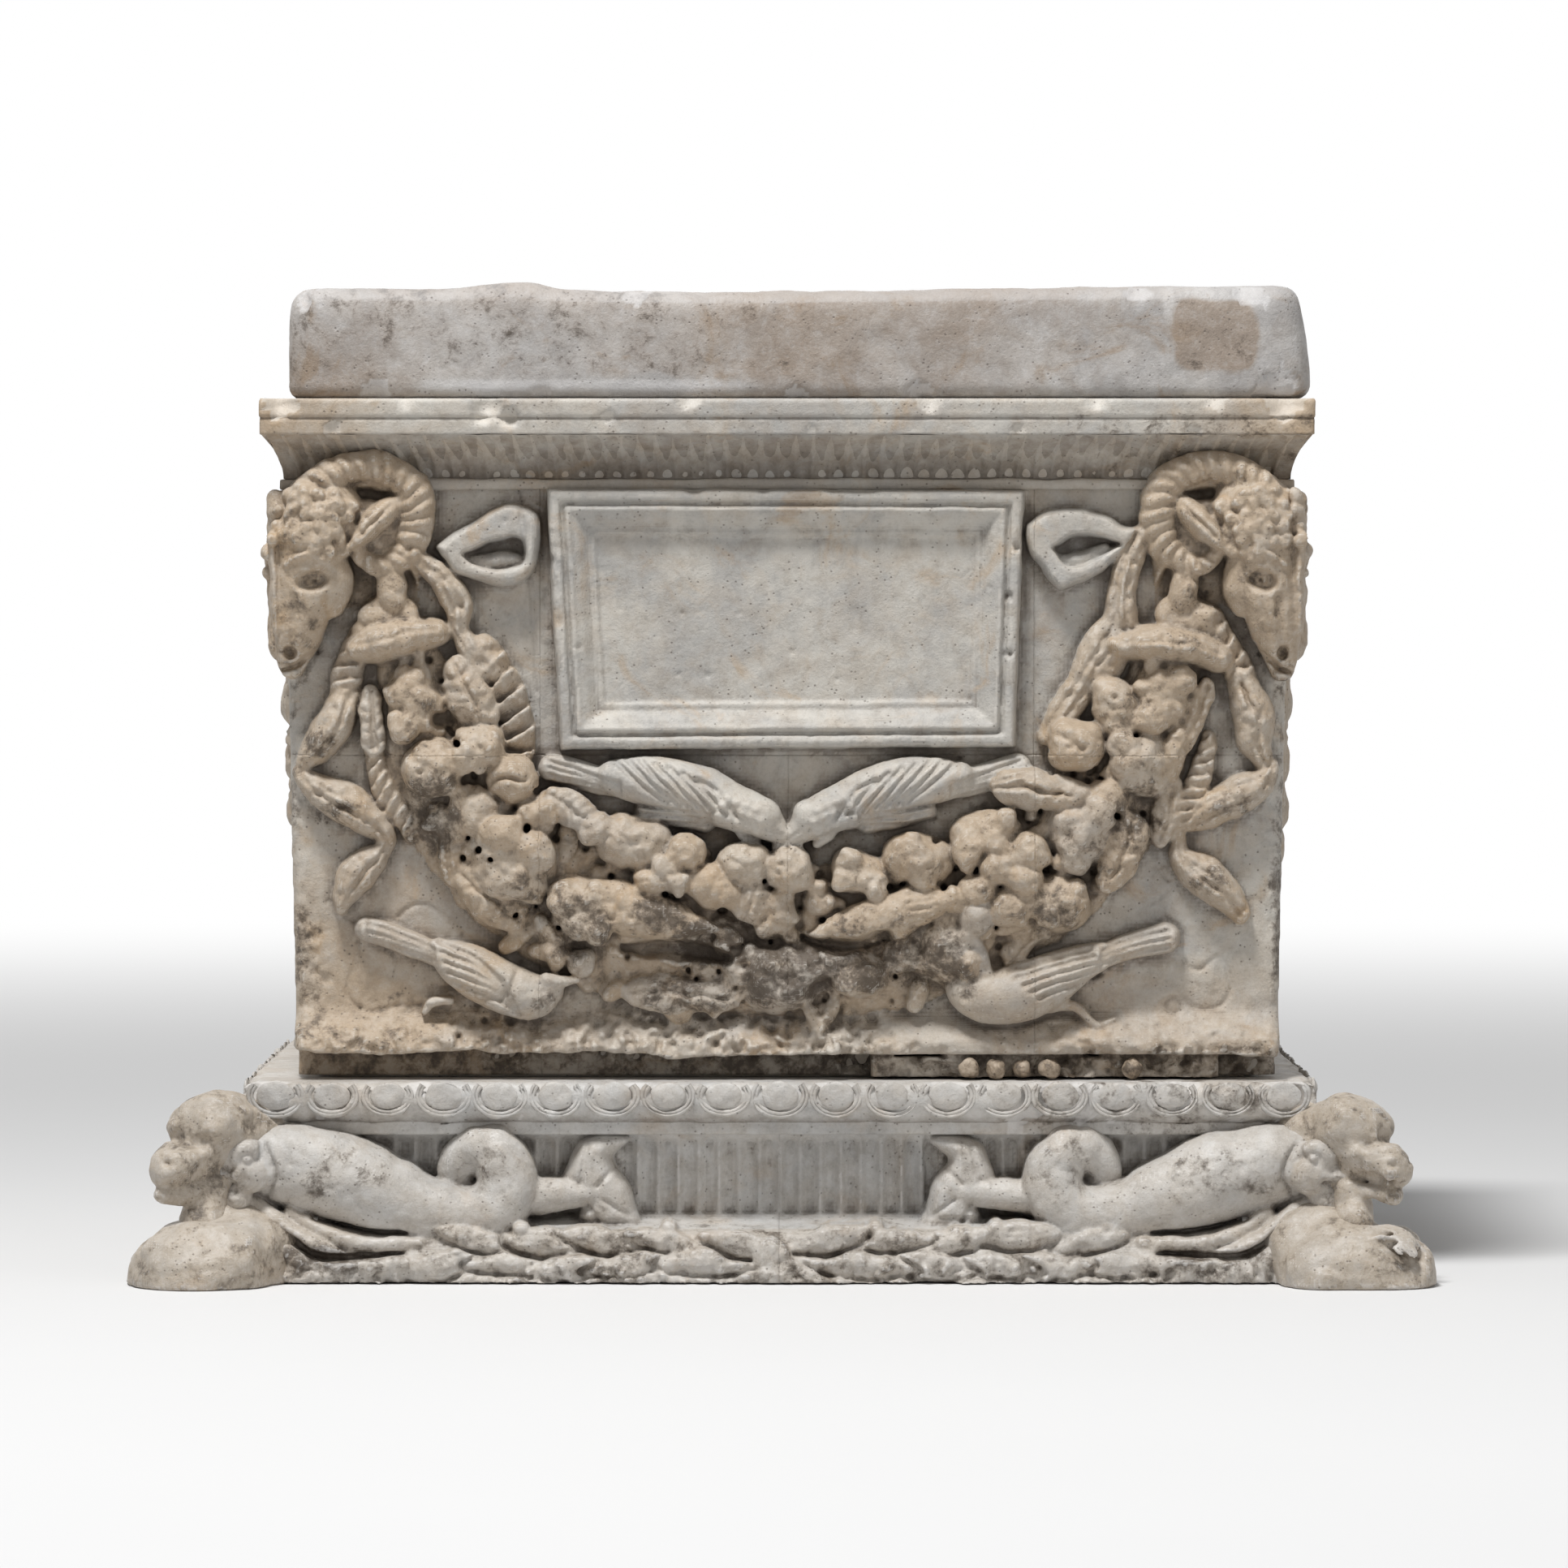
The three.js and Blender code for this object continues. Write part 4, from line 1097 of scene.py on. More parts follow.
@dataclass(frozen=True)
class Ring:
    """A level rectangle of a stone's plain body."""

    z: float
    half_width: float
    front: float
    back: float
    corner: float = 0.0
    # How dark the ring is painted, as soil and as painted shade, and how pale, as wear and as a painted
    # highlight
    hollow: float = 0.0
    worn: float = 0.0


def ring_loft(rings: Sequence[Ring], across: int, along: int, shift: float = 0.0) -> Shell:
    """A closed skin through rings.

    Args:
        rings: The levels, bottom to top on the outside.
        across: How many faces the front and the back have.
        along: How many faces each side has.
        shift: How far the whole is moved across.

    Returns:
        The shell.
    """
    levels, hollow, worn = [], [], []
    for ring in rings:
        a = np.arange(across) / across
        b = np.arange(along) / along
        w, f, k = ring.half_width, ring.front, ring.back
        xs = np.concatenate([-w + 2 * w * a, np.full(along, w), w - 2 * w * a, np.full(along, -w)])
        ys = np.concatenate([np.full(across, f), f + (k - f) * b, np.full(across, k), k + (f - k) * b])
        r = ring.corner
        if r > 0:
            cx, cy = np.clip(xs, r - w, w - r), np.clip(ys, f + r, k - r)
            dx, dy = xs - cx, ys - cy
            length = np.maximum(np.hypot(dx, dy), 1e-9)
            xs, ys = cx + dx / length * r, cy + dy / length * r
        levels.append(np.stack([xs + shift, ys, np.full(len(xs), ring.z)], axis=1))
        hollow.append(np.full(len(xs), ring.hollow))
        worn.append(np.full(len(xs), ring.worn))
    count = 2 * (across + along)
    points = np.vstack(levels)
    first = np.arange(count)
    after = (first + 1) % count
    quads = np.vstack(
        [
            np.stack([first, after, after + count, first + count], axis=1) + level * count
            for level in range(len(rings) - 1)
        ]
    )
    ends = np.vstack([points, levels[0].mean(axis=0), levels[-1].mean(axis=0)])
    low, high = len(points), len(points) + 1
    top = (len(rings) - 1) * count
    tris = np.vstack(
        [
            np.stack([after, first, np.full(count, low)], axis=1),
            np.stack([first + top, after + top, np.full(count, high)], axis=1),
        ]
    )
    marks = [np.concatenate(values + [np.zeros(2)]) for values in (hollow, worn)]
    return Shell(ends, quads, tris).tint(hollow=marks[0], worn=marks[1])


# Shader and geometry trees


class Wire:
    """A socket's output that can be used in Python expressions."""

    def __init__(self, tree: "Tree", socket: bpy.types.NodeSocket) -> None:
        """Wraps a socket of a tree."""
        self.tree, self.socket = tree, socket

    def _math(self, operation: str, *values: Union["Wire", Number]) -> "Wire":
        """A Math node's result."""
        return self.tree.node(self.tree.math, {"operation": operation}, dict(enumerate(values)))

    def __add__(self, other: Union["Wire", Number]) -> "Wire":
        """Sum."""
        return self._math("ADD", self, other)

    __radd__ = __add__

    def __sub__(self, other: Union["Wire", Number]) -> "Wire":
        """Difference."""
        return self._math("SUBTRACT", self, other)

    def __rsub__(self, other: Union["Wire", Number]) -> "Wire":
        """Difference from a number."""
        return self._math("SUBTRACT", other, self)

    def __mul__(self, other: Union["Wire", Number]) -> "Wire":
        """Product."""
        return self._math("MULTIPLY", self, other)

    __rmul__ = __mul__

    def __pow__(self, other: Number) -> "Wire":
        """Power."""
        return self._math("POWER", self, other)

    def clamped(self) -> "Wire":
        """The value kept between 0 and 1."""
        return self.tree.node(self.tree.math, {"operation": "ADD", "use_clamp": True}, {0: self, 1: 0.0})

    def step(self, low: float, high: float) -> "Wire":
        """A smooth step from 0 at low to 1 at high.

        Args:
            low: Where it starts.
            high: Where it ends.

        Returns:
            The step.
        """
        return self.tree.node(
            "ShaderNodeMapRange",
            {"interpolation_type": "SMOOTHSTEP"},
            {"Value": self, "From Min": low, "From Max": high},
        )


class Tree:
    """A node tree under construction."""

    math = "ShaderNodeMath"

    def __init__(self, tree: bpy.types.NodeTree) -> None:
        """Starts with a tree, whose nodes are cleared."""
        self.tree = tree
        tree.nodes.clear()

    def node(
        self,
        kind: str,
        settings: Optional[Dict[str, Any]] = None,
        inputs: Optional[Dict[Union[str, int], Any]] = None,
        output: Union[str, int] = 0,
    ) -> Wire:
        """Adds a node.

        Args:
            kind: The node's type.
            settings: Its settings, set first. "stops" holds a ramp's positions and colours.
            inputs: Values or wires for its sockets, by name or number.
            output: The output that is handed back.

        Returns:
            The chosen output.
        """
        made = self.tree.nodes.new(kind)
        for key, value in (settings or {}).items():
            if key == "stops":
                ramp = made.color_ramp
                while len(ramp.elements) < len(value):
                    ramp.elements.new(0.5)
                for element, (position, colour) in zip(ramp.elements, value):
                    element.position, element.color = position, (*colour, 1)
            else:
                setattr(made, key, value)
        for key, value in (inputs or {}).items():
            socket = made.inputs[key]
            if isinstance(value, Wire):
                self.tree.links.new(value.socket, socket)
            else:
                socket.default_value = value
        return Wire(self, made.outputs[output]) if len(made.outputs) else Wire(self, None)

    def seen(self) -> Wire:
        """1 where the camera looks, straight or through glass or a mirror, and 0 elsewhere."""
        rays = ("Camera Ray", "Glossy Ray", "Transmission Ray")
        return sum(self.node("ShaderNodeLightPath", output=f"Is {ray}") for ray in rays).clamped()

    def mix(self, factor: Union[Wire, float], first: Any, second: Any) -> Wire:
        """Mixes two colours, given as wires or as red, green and blue.

        Args:
            factor: How much of the second shows.
            first: The first colour.
            second: The second colour.

        Returns:
            The mixed colour.
        """
        colours = [c if isinstance(c, Wire) else (*c, 1) for c in (first, second)]
        return self.node(
            "ShaderNodeMix", {"data_type": "RGBA"}, {0: factor, 6: colours[0], 7: colours[1]}, 2
        )


Colour = Tuple[float, float, float]


@dataclass(frozen=True)
class Marble:
    """Old marble: its colours, how strongly each shows, and how rough it is."""

    name: str = "chest_marble"
    pale: Colour = (0.50, 0.475, 0.43)
    grey: Colour = (0.355, 0.345, 0.33)
    tanned: Colour = (0.40, 0.30, 0.20)
    # Dark soil, also the colour of painted shade in hollows and under overhangs
    soil_and_shade_colour: Colour = (0.085, 0.066, 0.05)
    # Black crust, also the colour of painted shade below the chest's foot ledge
    crust: Colour = (0.062, 0.046, 0.033)
    stain: Colour = (0.41, 0.27, 0.14)
    # Pale fresh stone, also the colour of painted highlight on ridges
    fresh_stone_and_highlight: Colour = (0.64, 0.60, 0.54)
    stained: float = 0.45
    # How strongly hollows darken, as soil and as painted shade
    soil_and_shade_strength: float = 0.85
    patch: float = 42.0
    sheen: float = 0.5
    grain: float = 0.38

    def build(self) -> bpy.types.Material:
        """Makes the material; its patterns stand still in the object's own coordinates.

        Returns:
            The material.
        """
        material = bpy.data.materials.new(self.name)
        material.use_nodes = True
        tree = Tree(material.node_tree)
        place = tree.node("ShaderNodeTexCoord", output="Object")
        hollow, worn, tan, crust = (
            tree.node("ShaderNodeAttribute", {"attribute_name": label}, output="Fac") for label in MARKS
        )

        def cloud(size: float, detail: float = 4.0, twist: float = 0.0, shift: float = 0.0) -> Wire:
            """Noise in the object's own coordinates.

            Args:
                size: The size of a cloud in millimetres.
                detail: How finely it is broken.
                twist: How far it is bent.
                shift: How far it is moved, in metres.

            Returns:
                Values from 0 to 1.
            """
            moved = tree.node("ShaderNodeMapping", None, {"Vector": place, "Location": (shift,) * 3})
            values = {"Vector": moved, "Scale": 1000 / size, "Detail": detail, "Roughness": 0.62,
                      "Distortion": twist}
            return tree.node("ShaderNodeTexNoise", None, values)

        broad = cloud(self.patch, 6.0, 0.7).step(0.4, 0.63)
        second = cloud(self.patch * 0.45, 6.0, 0.9, 3.1)
        mottle = cloud(7.0, 6.0, 0.3, 1.7)
        specks = cloud(1.7, 3.0, 0.0, 5.3)
        crystals = cloud(0.8, 2.0, 0.0, 2.2)
        colour = tree.mix(broad * 0.8, self.pale, self.grey)
        patina = (tan * 1.25 + (second - 0.5) * 1.3 + (mottle - 0.5) * 0.5).clamped()
        colour = tree.mix(patina * 0.85, colour, self.tanned)
        ochre = cloud(self.patch * 0.8, 6.0, 1.2, 7.7).step(0.54, 0.7)
        colour = tree.mix(ochre * self.stained, colour, self.stain)
        shade = (mottle - 0.5) * 1.6 + (specks - 0.5) * 0.9 + (crystals - 0.5) * 0.5
        colour = tree.mix(shade.clamped() * 0.5, colour, self.soil_and_shade_colour)
        colour = tree.mix((0.0 - shade).clamped() * 0.5, colour, self.fresh_stone_and_highlight)
        # Hollows and undersides darken toward soil: soil and painted shade
        soil_and_shade_amount = (hollow * self.soil_and_shade_strength + (mottle - 0.5) * 0.5 + (second - 0.5) * 0.4).step(0.12, 1.0)
        colour = tree.mix(soil_and_shade_amount * 0.86, colour, self.soil_and_shade_colour)
        # Black crust; below the chest's foot ledge this is painted shade
        black = crust * 0.95 + (mottle - 0.5) * 1.3 + (second - 0.5) * 1.1 + (specks - 0.5) * 0.4
        black = black.step(0.3, 0.72)
        colour = tree.mix(black * crust.step(0.0, 0.12) * 0.85, colour, self.crust)
        # Ridges and chips lighten: wear, and on ridges a painted highlight
        bare_and_highlight = (worn * (mottle + 0.35)).step(0.25, 0.8)
        colour = tree.mix(bare_and_highlight * 0.5, colour, self.fresh_stone_and_highlight)
        pores = tree.node("ShaderNodeTexVoronoi", None, {"Vector": place, "Scale": 380.0})
        pits = (1.0 - pores.step(0.08, 0.24)) * cloud(12.0, 2.0, 0.0, 9.9).step(0.47, 0.6)
        colour = tree.mix(pits * 0.6, colour, self.soil_and_shade_colour)
        height = specks * 0.6 + mottle * 0.9 - pits * 0.6 + crystals * 0.3 + black * specks * 0.8
        bump = tree.node(
            "ShaderNodeBump", None, {"Strength": self.grain, "Distance": 0.0014, "Height": height}
        )
        values = {"Base Color": colour, "Roughness": self.sheen + 0.2 * mottle + 0.15 * soil_and_shade_amount,
                  "Normal": bump, "IOR": 1.48}
        shader = tree.node("ShaderNodeBsdfPrincipled", None, values)
        tree.node("ShaderNodeOutputMaterial", None, {"Surface": shader})
        return material


@dataclass(frozen=True)
class PlainStage:
    """The pale floor, which fades into white away from the stone."""

    name: str = "pale_floor"
    shade: float = 0.72
    fade: Tuple[float, float] = (0.7, 3.4)

    def build(self) -> bpy.types.Material:
        """Makes a matt pale material, faintly mottled, that turns white far from the stone.

        Returns:
            The material.
        """
        material = bpy.data.materials.new(self.name)
        material.use_nodes = True
        tree = Tree(material.node_tree)
        place = tree.node("ShaderNodeTexCoord", output="Object")
        cloud = tree.node("ShaderNodeTexNoise", None, {"Vector": place, "Scale": 3.0})
        low, high = [(self.shade + d,) * 3 for d in (-0.01, 0.01)]
        values = {"Base Color": tree.mix(cloud, low, high), "Roughness": 0.9}
        shader = tree.node("ShaderNodeBsdfPrincipled", None, values)
        white = tree.node("ShaderNodeEmission", None, {"Color": (1, 1, 1, 1), "Strength": 1.0})
        away = tree.node("ShaderNodeVectorMath", {"operation": "LENGTH"}, {0: place}, output="Value")
        far = away.step(*self.fade) * tree.seen()
        blend = tree.node("ShaderNodeMixShader", None, {0: far, 1: shader, 2: white})
        tree.node("ShaderNodeOutputMaterial", None, {"Surface": blend})
        return material


CHEST_MARBLE = Marble()
BASE_MARBLE = replace(
    CHEST_MARBLE, name="base_marble", pale=(0.56, 0.545, 0.52), grey=(0.42, 0.415, 0.405),
    tanned=(0.40, 0.33, 0.25), fresh_stone_and_highlight=(0.72, 0.70, 0.68), stained=0.25, soil_and_shade_strength=0.75, patch=60.0, sheen=0.4,
)
LID_MARBLE = replace(
    CHEST_MARBLE, name="lid_marble", pale=(0.47, 0.45, 0.43), grey=(0.31, 0.295, 0.285),
    tanned=(0.28, 0.22, 0.17), soil_and_shade_colour=(0.10, 0.08, 0.065), stain=(0.26, 0.18, 0.11), fresh_stone_and_highlight=(0.64, 0.63, 0.63),
    stained=0.6,
)


# Geometry trees for what repeats


class GrownPiece:
    """A mesh that a geometry tree makes from named sizes."""

    def __init__(self, name: str) -> None:
        """Starts a tree with a mesh to hang it on.

        Args:
            name: The tree's name.
        """
        self.name = name
        self.group = bpy.data.node_groups.new(name, "GeometryNodeTree")
        self.group.interface.new_socket("Geometry", in_out="OUTPUT", socket_type="NodeSocketGeometry")
        self.tree = Tree(self.group)
        self.values: Dict[str, Any] = {}

    def inputs(self, **sizes: Union[float, int]) -> Dict[str, Wire]:
        """Args:
            sizes: Names and values; whole numbers make whole-number inputs.

        Returns:
            A wire for each name.
        """
        for name, value in sizes.items():
            kind = "NodeSocketInt" if isinstance(value, int) else "NodeSocketFloat"
            socket = self.group.interface.new_socket(name, in_out="INPUT", socket_type=kind)
            socket.default_value = value
            self.values[socket.identifier] = value
        made = self.group.nodes.new("NodeGroupInput")
        return {name: Wire(self.tree, made.outputs[name]) for name in sizes}

    def grow(self, geometry: Wire, material: bpy.types.Material) -> Shell:
        """Ends the tree, evaluates it and takes the mesh.

        Args:
            geometry: The wire that carries the geometry.
            material: What the tree sets on it.

        Returns:
            The mesh as a shell, in the tree's own millimetres.
        """
        real = self.tree.node("GeometryNodeRealizeInstances", None, {0: geometry})
        dressed = self.tree.node("GeometryNodeSetMaterial", None, {"Geometry": real, "Material": material})
        out = self.group.nodes.new("NodeGroupOutput")
        self.group.links.new(dressed.socket, out.inputs[0])
        holder = bpy.data.objects.new(self.name, bpy.data.meshes.new(self.name))
        bpy.context.scene.collection.objects.link(holder)
        modifier = holder.modifiers.new("grow", "NODES")
        modifier.node_group = self.group
        for identifier, value in self.values.items():
            modifier[identifier] = value
        depsgraph = bpy.context.evaluated_depsgraph_get()
        mesh = bpy.data.meshes.new_from_object(holder.evaluated_get(depsgraph))
        points = np.zeros(len(mesh.vertices) * 3, np.float32)
        mesh.vertices.foreach_get("co", points)
        loops = np.zeros(len(mesh.loops), np.int32)
        mesh.loops.foreach_get("vertex_index", loops)
        sizes = np.zeros(len(mesh.polygons), np.int32)
        mesh.polygons.foreach_get("loop_total", sizes)
        starts = np.zeros(len(mesh.polygons), np.int32)
        mesh.polygons.foreach_get("loop_start", starts)
        quads = loops[starts[sizes == 4][:, None] + np.arange(4)]
        tris = loops[starts[sizes == 3][:, None] + np.arange(3)]
        holder.modifiers.clear()
        bpy.data.objects.remove(holder)
        bpy.data.meshes.remove(mesh)
        return Shell(points.reshape(-1, 3).astype(float), quads.astype(np.int64), tris.astype(np.int64))


def fluted_hollow(
    name: str,
    foot: Tuple[float, float],
    head: Tuple[float, float],
    rise: float,
    overhang: float,
    depth: float,
    pitch: float,
    material: bpy.types.Material,
) -> Shell:
    """A quarter-round hollow moulding cut into upright flutes, lying on a face.

    Args:
        name: The tree's name.
        foot: Where its foot starts and ends, across.
        head: Where its head starts and ends, across.
        rise: How high it is.
        overhang: How far its head stands out over its foot.
        depth: How deep the flutes are.
        pitch: How wide a flute is.
        material: Its marble.

    Returns:
        An open shell: across, up and out from the foot.
    """
    piece = GrownPiece(name)
    flutes = round((foot[1] - foot[0]) / pitch)
    size = piece.inputs(
        Foot_Start=foot[0],
        Foot_End=foot[1],
        Head_Start=head[0],
        Head_End=head[1],
        Rise=rise,
        Overhang=overhang,
        Depth=depth,
        Flutes=float(flutes),
        Columns=flutes * 8 + 1,
        Rows=22,
    )
    tree = piece.tree
    grid = tree.node(
        "GeometryNodeMeshGrid",
        None,
        {"Size X": 1.0, "Size Y": 1.0, "Vertices X": size["Columns"], "Vertices Y": size["Rows"]},
    )
    place = tree.node("GeometryNodeInputPosition")
    x = tree.node("ShaderNodeSeparateXYZ", None, {0: place}, "X") + 0.5
    y = tree.node("ShaderNodeSeparateXYZ", None, {0: place}, "Y") + 0.5
    at_foot = size["Foot_Start"] + x * (size["Foot_End"] - size["Foot_Start"])
    at_head = size["Head_Start"] + x * (size["Head_End"] - size["Head_Start"])
    bow = 1.0 - tree.node(tree.math, {"operation": "COSINE"}, {0: y * (math.pi / 2)})
    across = at_foot + (at_head - at_foot) * bow
    wave = tree.node(tree.math, {"operation": "SINE"}, {0: x * size["Flutes"] * math.pi})
    scoop = tree.node(tree.math, {"operation": "ABSOLUTE"}, {0: wave}) ** 0.7
    ends = tree.node(tree.math, {"operation": "SINE"}, {0: y * math.pi}) ** 0.35
    out = size["Overhang"] * bow - size["Depth"] * scoop * ends
    up = size["Rise"] * y
    where = tree.node("ShaderNodeCombineXYZ", None, {0: across, 1: up, 2: out})
    bent = tree.node("GeometryNodeSetPosition", None, {"Geometry": grid, "Position": where})
    return piece.grow(bent, material)


def bead(name: str, place: Point3, radii: Point3, seed: int, material: bpy.types.Material) -> Shell:
    """A bead of slightly uneven size.

    Args:
        name: The tree's name.
        place: Its middle.
        radii: Its half sizes.
        seed: The number that fixes its unevenness.
        material: Its marble.

    Returns:
        A closed shell.
    """
    piece = GrownPiece(name)
    size = piece.inputs(Count=1, Radius=1.0, Seed=seed)
    tree = piece.tree
    start = {"Count": size["Count"], "Start Location": place}
    spot = tree.node("GeometryNodeMeshLine", {"mode": "OFFSET"}, start)
    round_ball = {"Segments": 18, "Rings": 12, "Radius": size["Radius"]}
    ball = tree.node("GeometryNodeMeshUVSphere", None, round_ball)
    limits = {k: tuple(radius * share for radius in radii) for k, share in enumerate((0.9, 1.06))}
    uneven = tree.node(
        "FunctionNodeRandomValue", {"data_type": "FLOAT_VECTOR"}, {**limits, "Seed": size["Seed"]}
    )
    values = {"Points": spot, "Instance": ball, "Scale": uneven}
    return piece.grow(tree.node("GeometryNodeInstanceOnPoints", None, values), material)


def egg_row(
    name: str, count: int, pitch: float, egg: Sequence[float], rim: float, seed: int,
    material: bpy.types.Material,
) -> Shell:
    """A row of eggs, each in its shell, lying on a face and centred across.

    Args:
        name: The tree's name.
        count: How many.
        pitch: How far apart.
        egg: An egg's half width, half height and how far it stands out.
        rim: How thick the shell round it is.
        seed: The number that fixes their unevenness.
        material: Their marble.

    Returns:
        Closed shells, all in one.
    """
    piece = GrownPiece(name)
    size = piece.inputs(Count=count, Pitch=pitch, Rim=rim, Seed=seed)
    tree = piece.tree
    offset = tree.node("ShaderNodeCombineXYZ", None, {0: size["Pitch"], 1: 0.0, 2: 0.0})
    begin = tree.node(
        "ShaderNodeCombineXYZ", None, {0: (1.0 - size["Count"]) * size["Pitch"] * 0.5, 1: 0.0, 2: 0.0}
    )
    line = tree.node(
        "GeometryNodeMeshLine",
        {"mode": "OFFSET"},
        {"Count": size["Count"], "Start Location": begin, "Offset": offset},
    )
    ball = tree.node("GeometryNodeMeshUVSphere", None, {"Segments": 20, "Rings": 12, "Radius": 1.0})
    egged = tree.node("GeometryNodeTransform", None, {"Geometry": ball, "Scale": tuple(egg)})
    wire = tree.node(
        "GeometryNodeCurvePrimitiveCircle", {"mode": "RADIUS"}, {"Resolution": 6, "Radius": size["Rim"]}
    )
    parts = [egged]
    for wide, high in ((1.24, 1.24), (1.42, 1.46)):
        arc = tree.node(
            "GeometryNodeCurveArc",
            {"mode": "RADIUS"},
            {
                "Resolution": 22, "Radius": 1.0, "Start Angle": math.radians(-215),
                "Sweep Angle": math.radians(250),
            },
        )
        stretched = tree.node(
            "GeometryNodeTransform", None, {"Geometry": arc, "Scale": (egg[0] * wide, egg[1] * high, 1.0)}
        )
        values = {"Curve": stretched, "Profile Curve": wire, "Fill Caps": True}
        parts.append(tree.node("GeometryNodeCurveToMesh", None, values))
    pair = piece.group.nodes.new("GeometryNodeJoinGeometry")
    for part in parts:
        piece.group.links.new(part.socket, pair.inputs[0])
    uneven = tree.node(
        "FunctionNodeRandomValue",
        {"data_type": "FLOAT_VECTOR"},
        {0: (0.93, 0.92, 0.3), 1: (1.03, 1.05, 1.15), "Seed": size["Seed"]},
    )
    eggs = tree.node(
        "GeometryNodeInstanceOnPoints",
        None,
        {"Points": line, "Instance": Wire(tree, pair.outputs[0]), "Scale": uneven},
    )
    return piece.grow(eggs, material)


# The chest


@dataclass(frozen=True)
class Squares:
    """The carver's squares on a face: how wide and high one is, and where the first row starts."""

    across: float
    up: float
    start: float = 0.0
    hand: int = 1

    def at(self, x: float, y: float) -> Point:
        """A place in millimetres."""
        return self.hand * x * self.across, (y - self.start) * self.up

    def path(self, *rows: Sequence[float]) -> List[List[float]]:
        """Rows of x, y, width in squares and further values in millimetres, turned to millimetres."""
        size = (self.across + self.up) / 2
        return [[*self.at(row[0], row[1]), row[2] * size, *row[3:]] for row in rows]

    def shape(self, *corners: Point) -> List[Point]:
        """An outline in millimetres."""
        return [self.at(x, y) for x, y in corners]

    def turned(self, hand: int) -> "Squares":
        """The same squares for a mirrored carving."""
        return Squares(self.across, self.up, self.start, hand)


CHEST_SQUARES = Squares(3.398, 3.415, 0.4)
BASE_SQUARES = Squares(3.3416, 3.32)
ROUND, SLIT, LEAF, GRAPE, BROKEN = Fruit

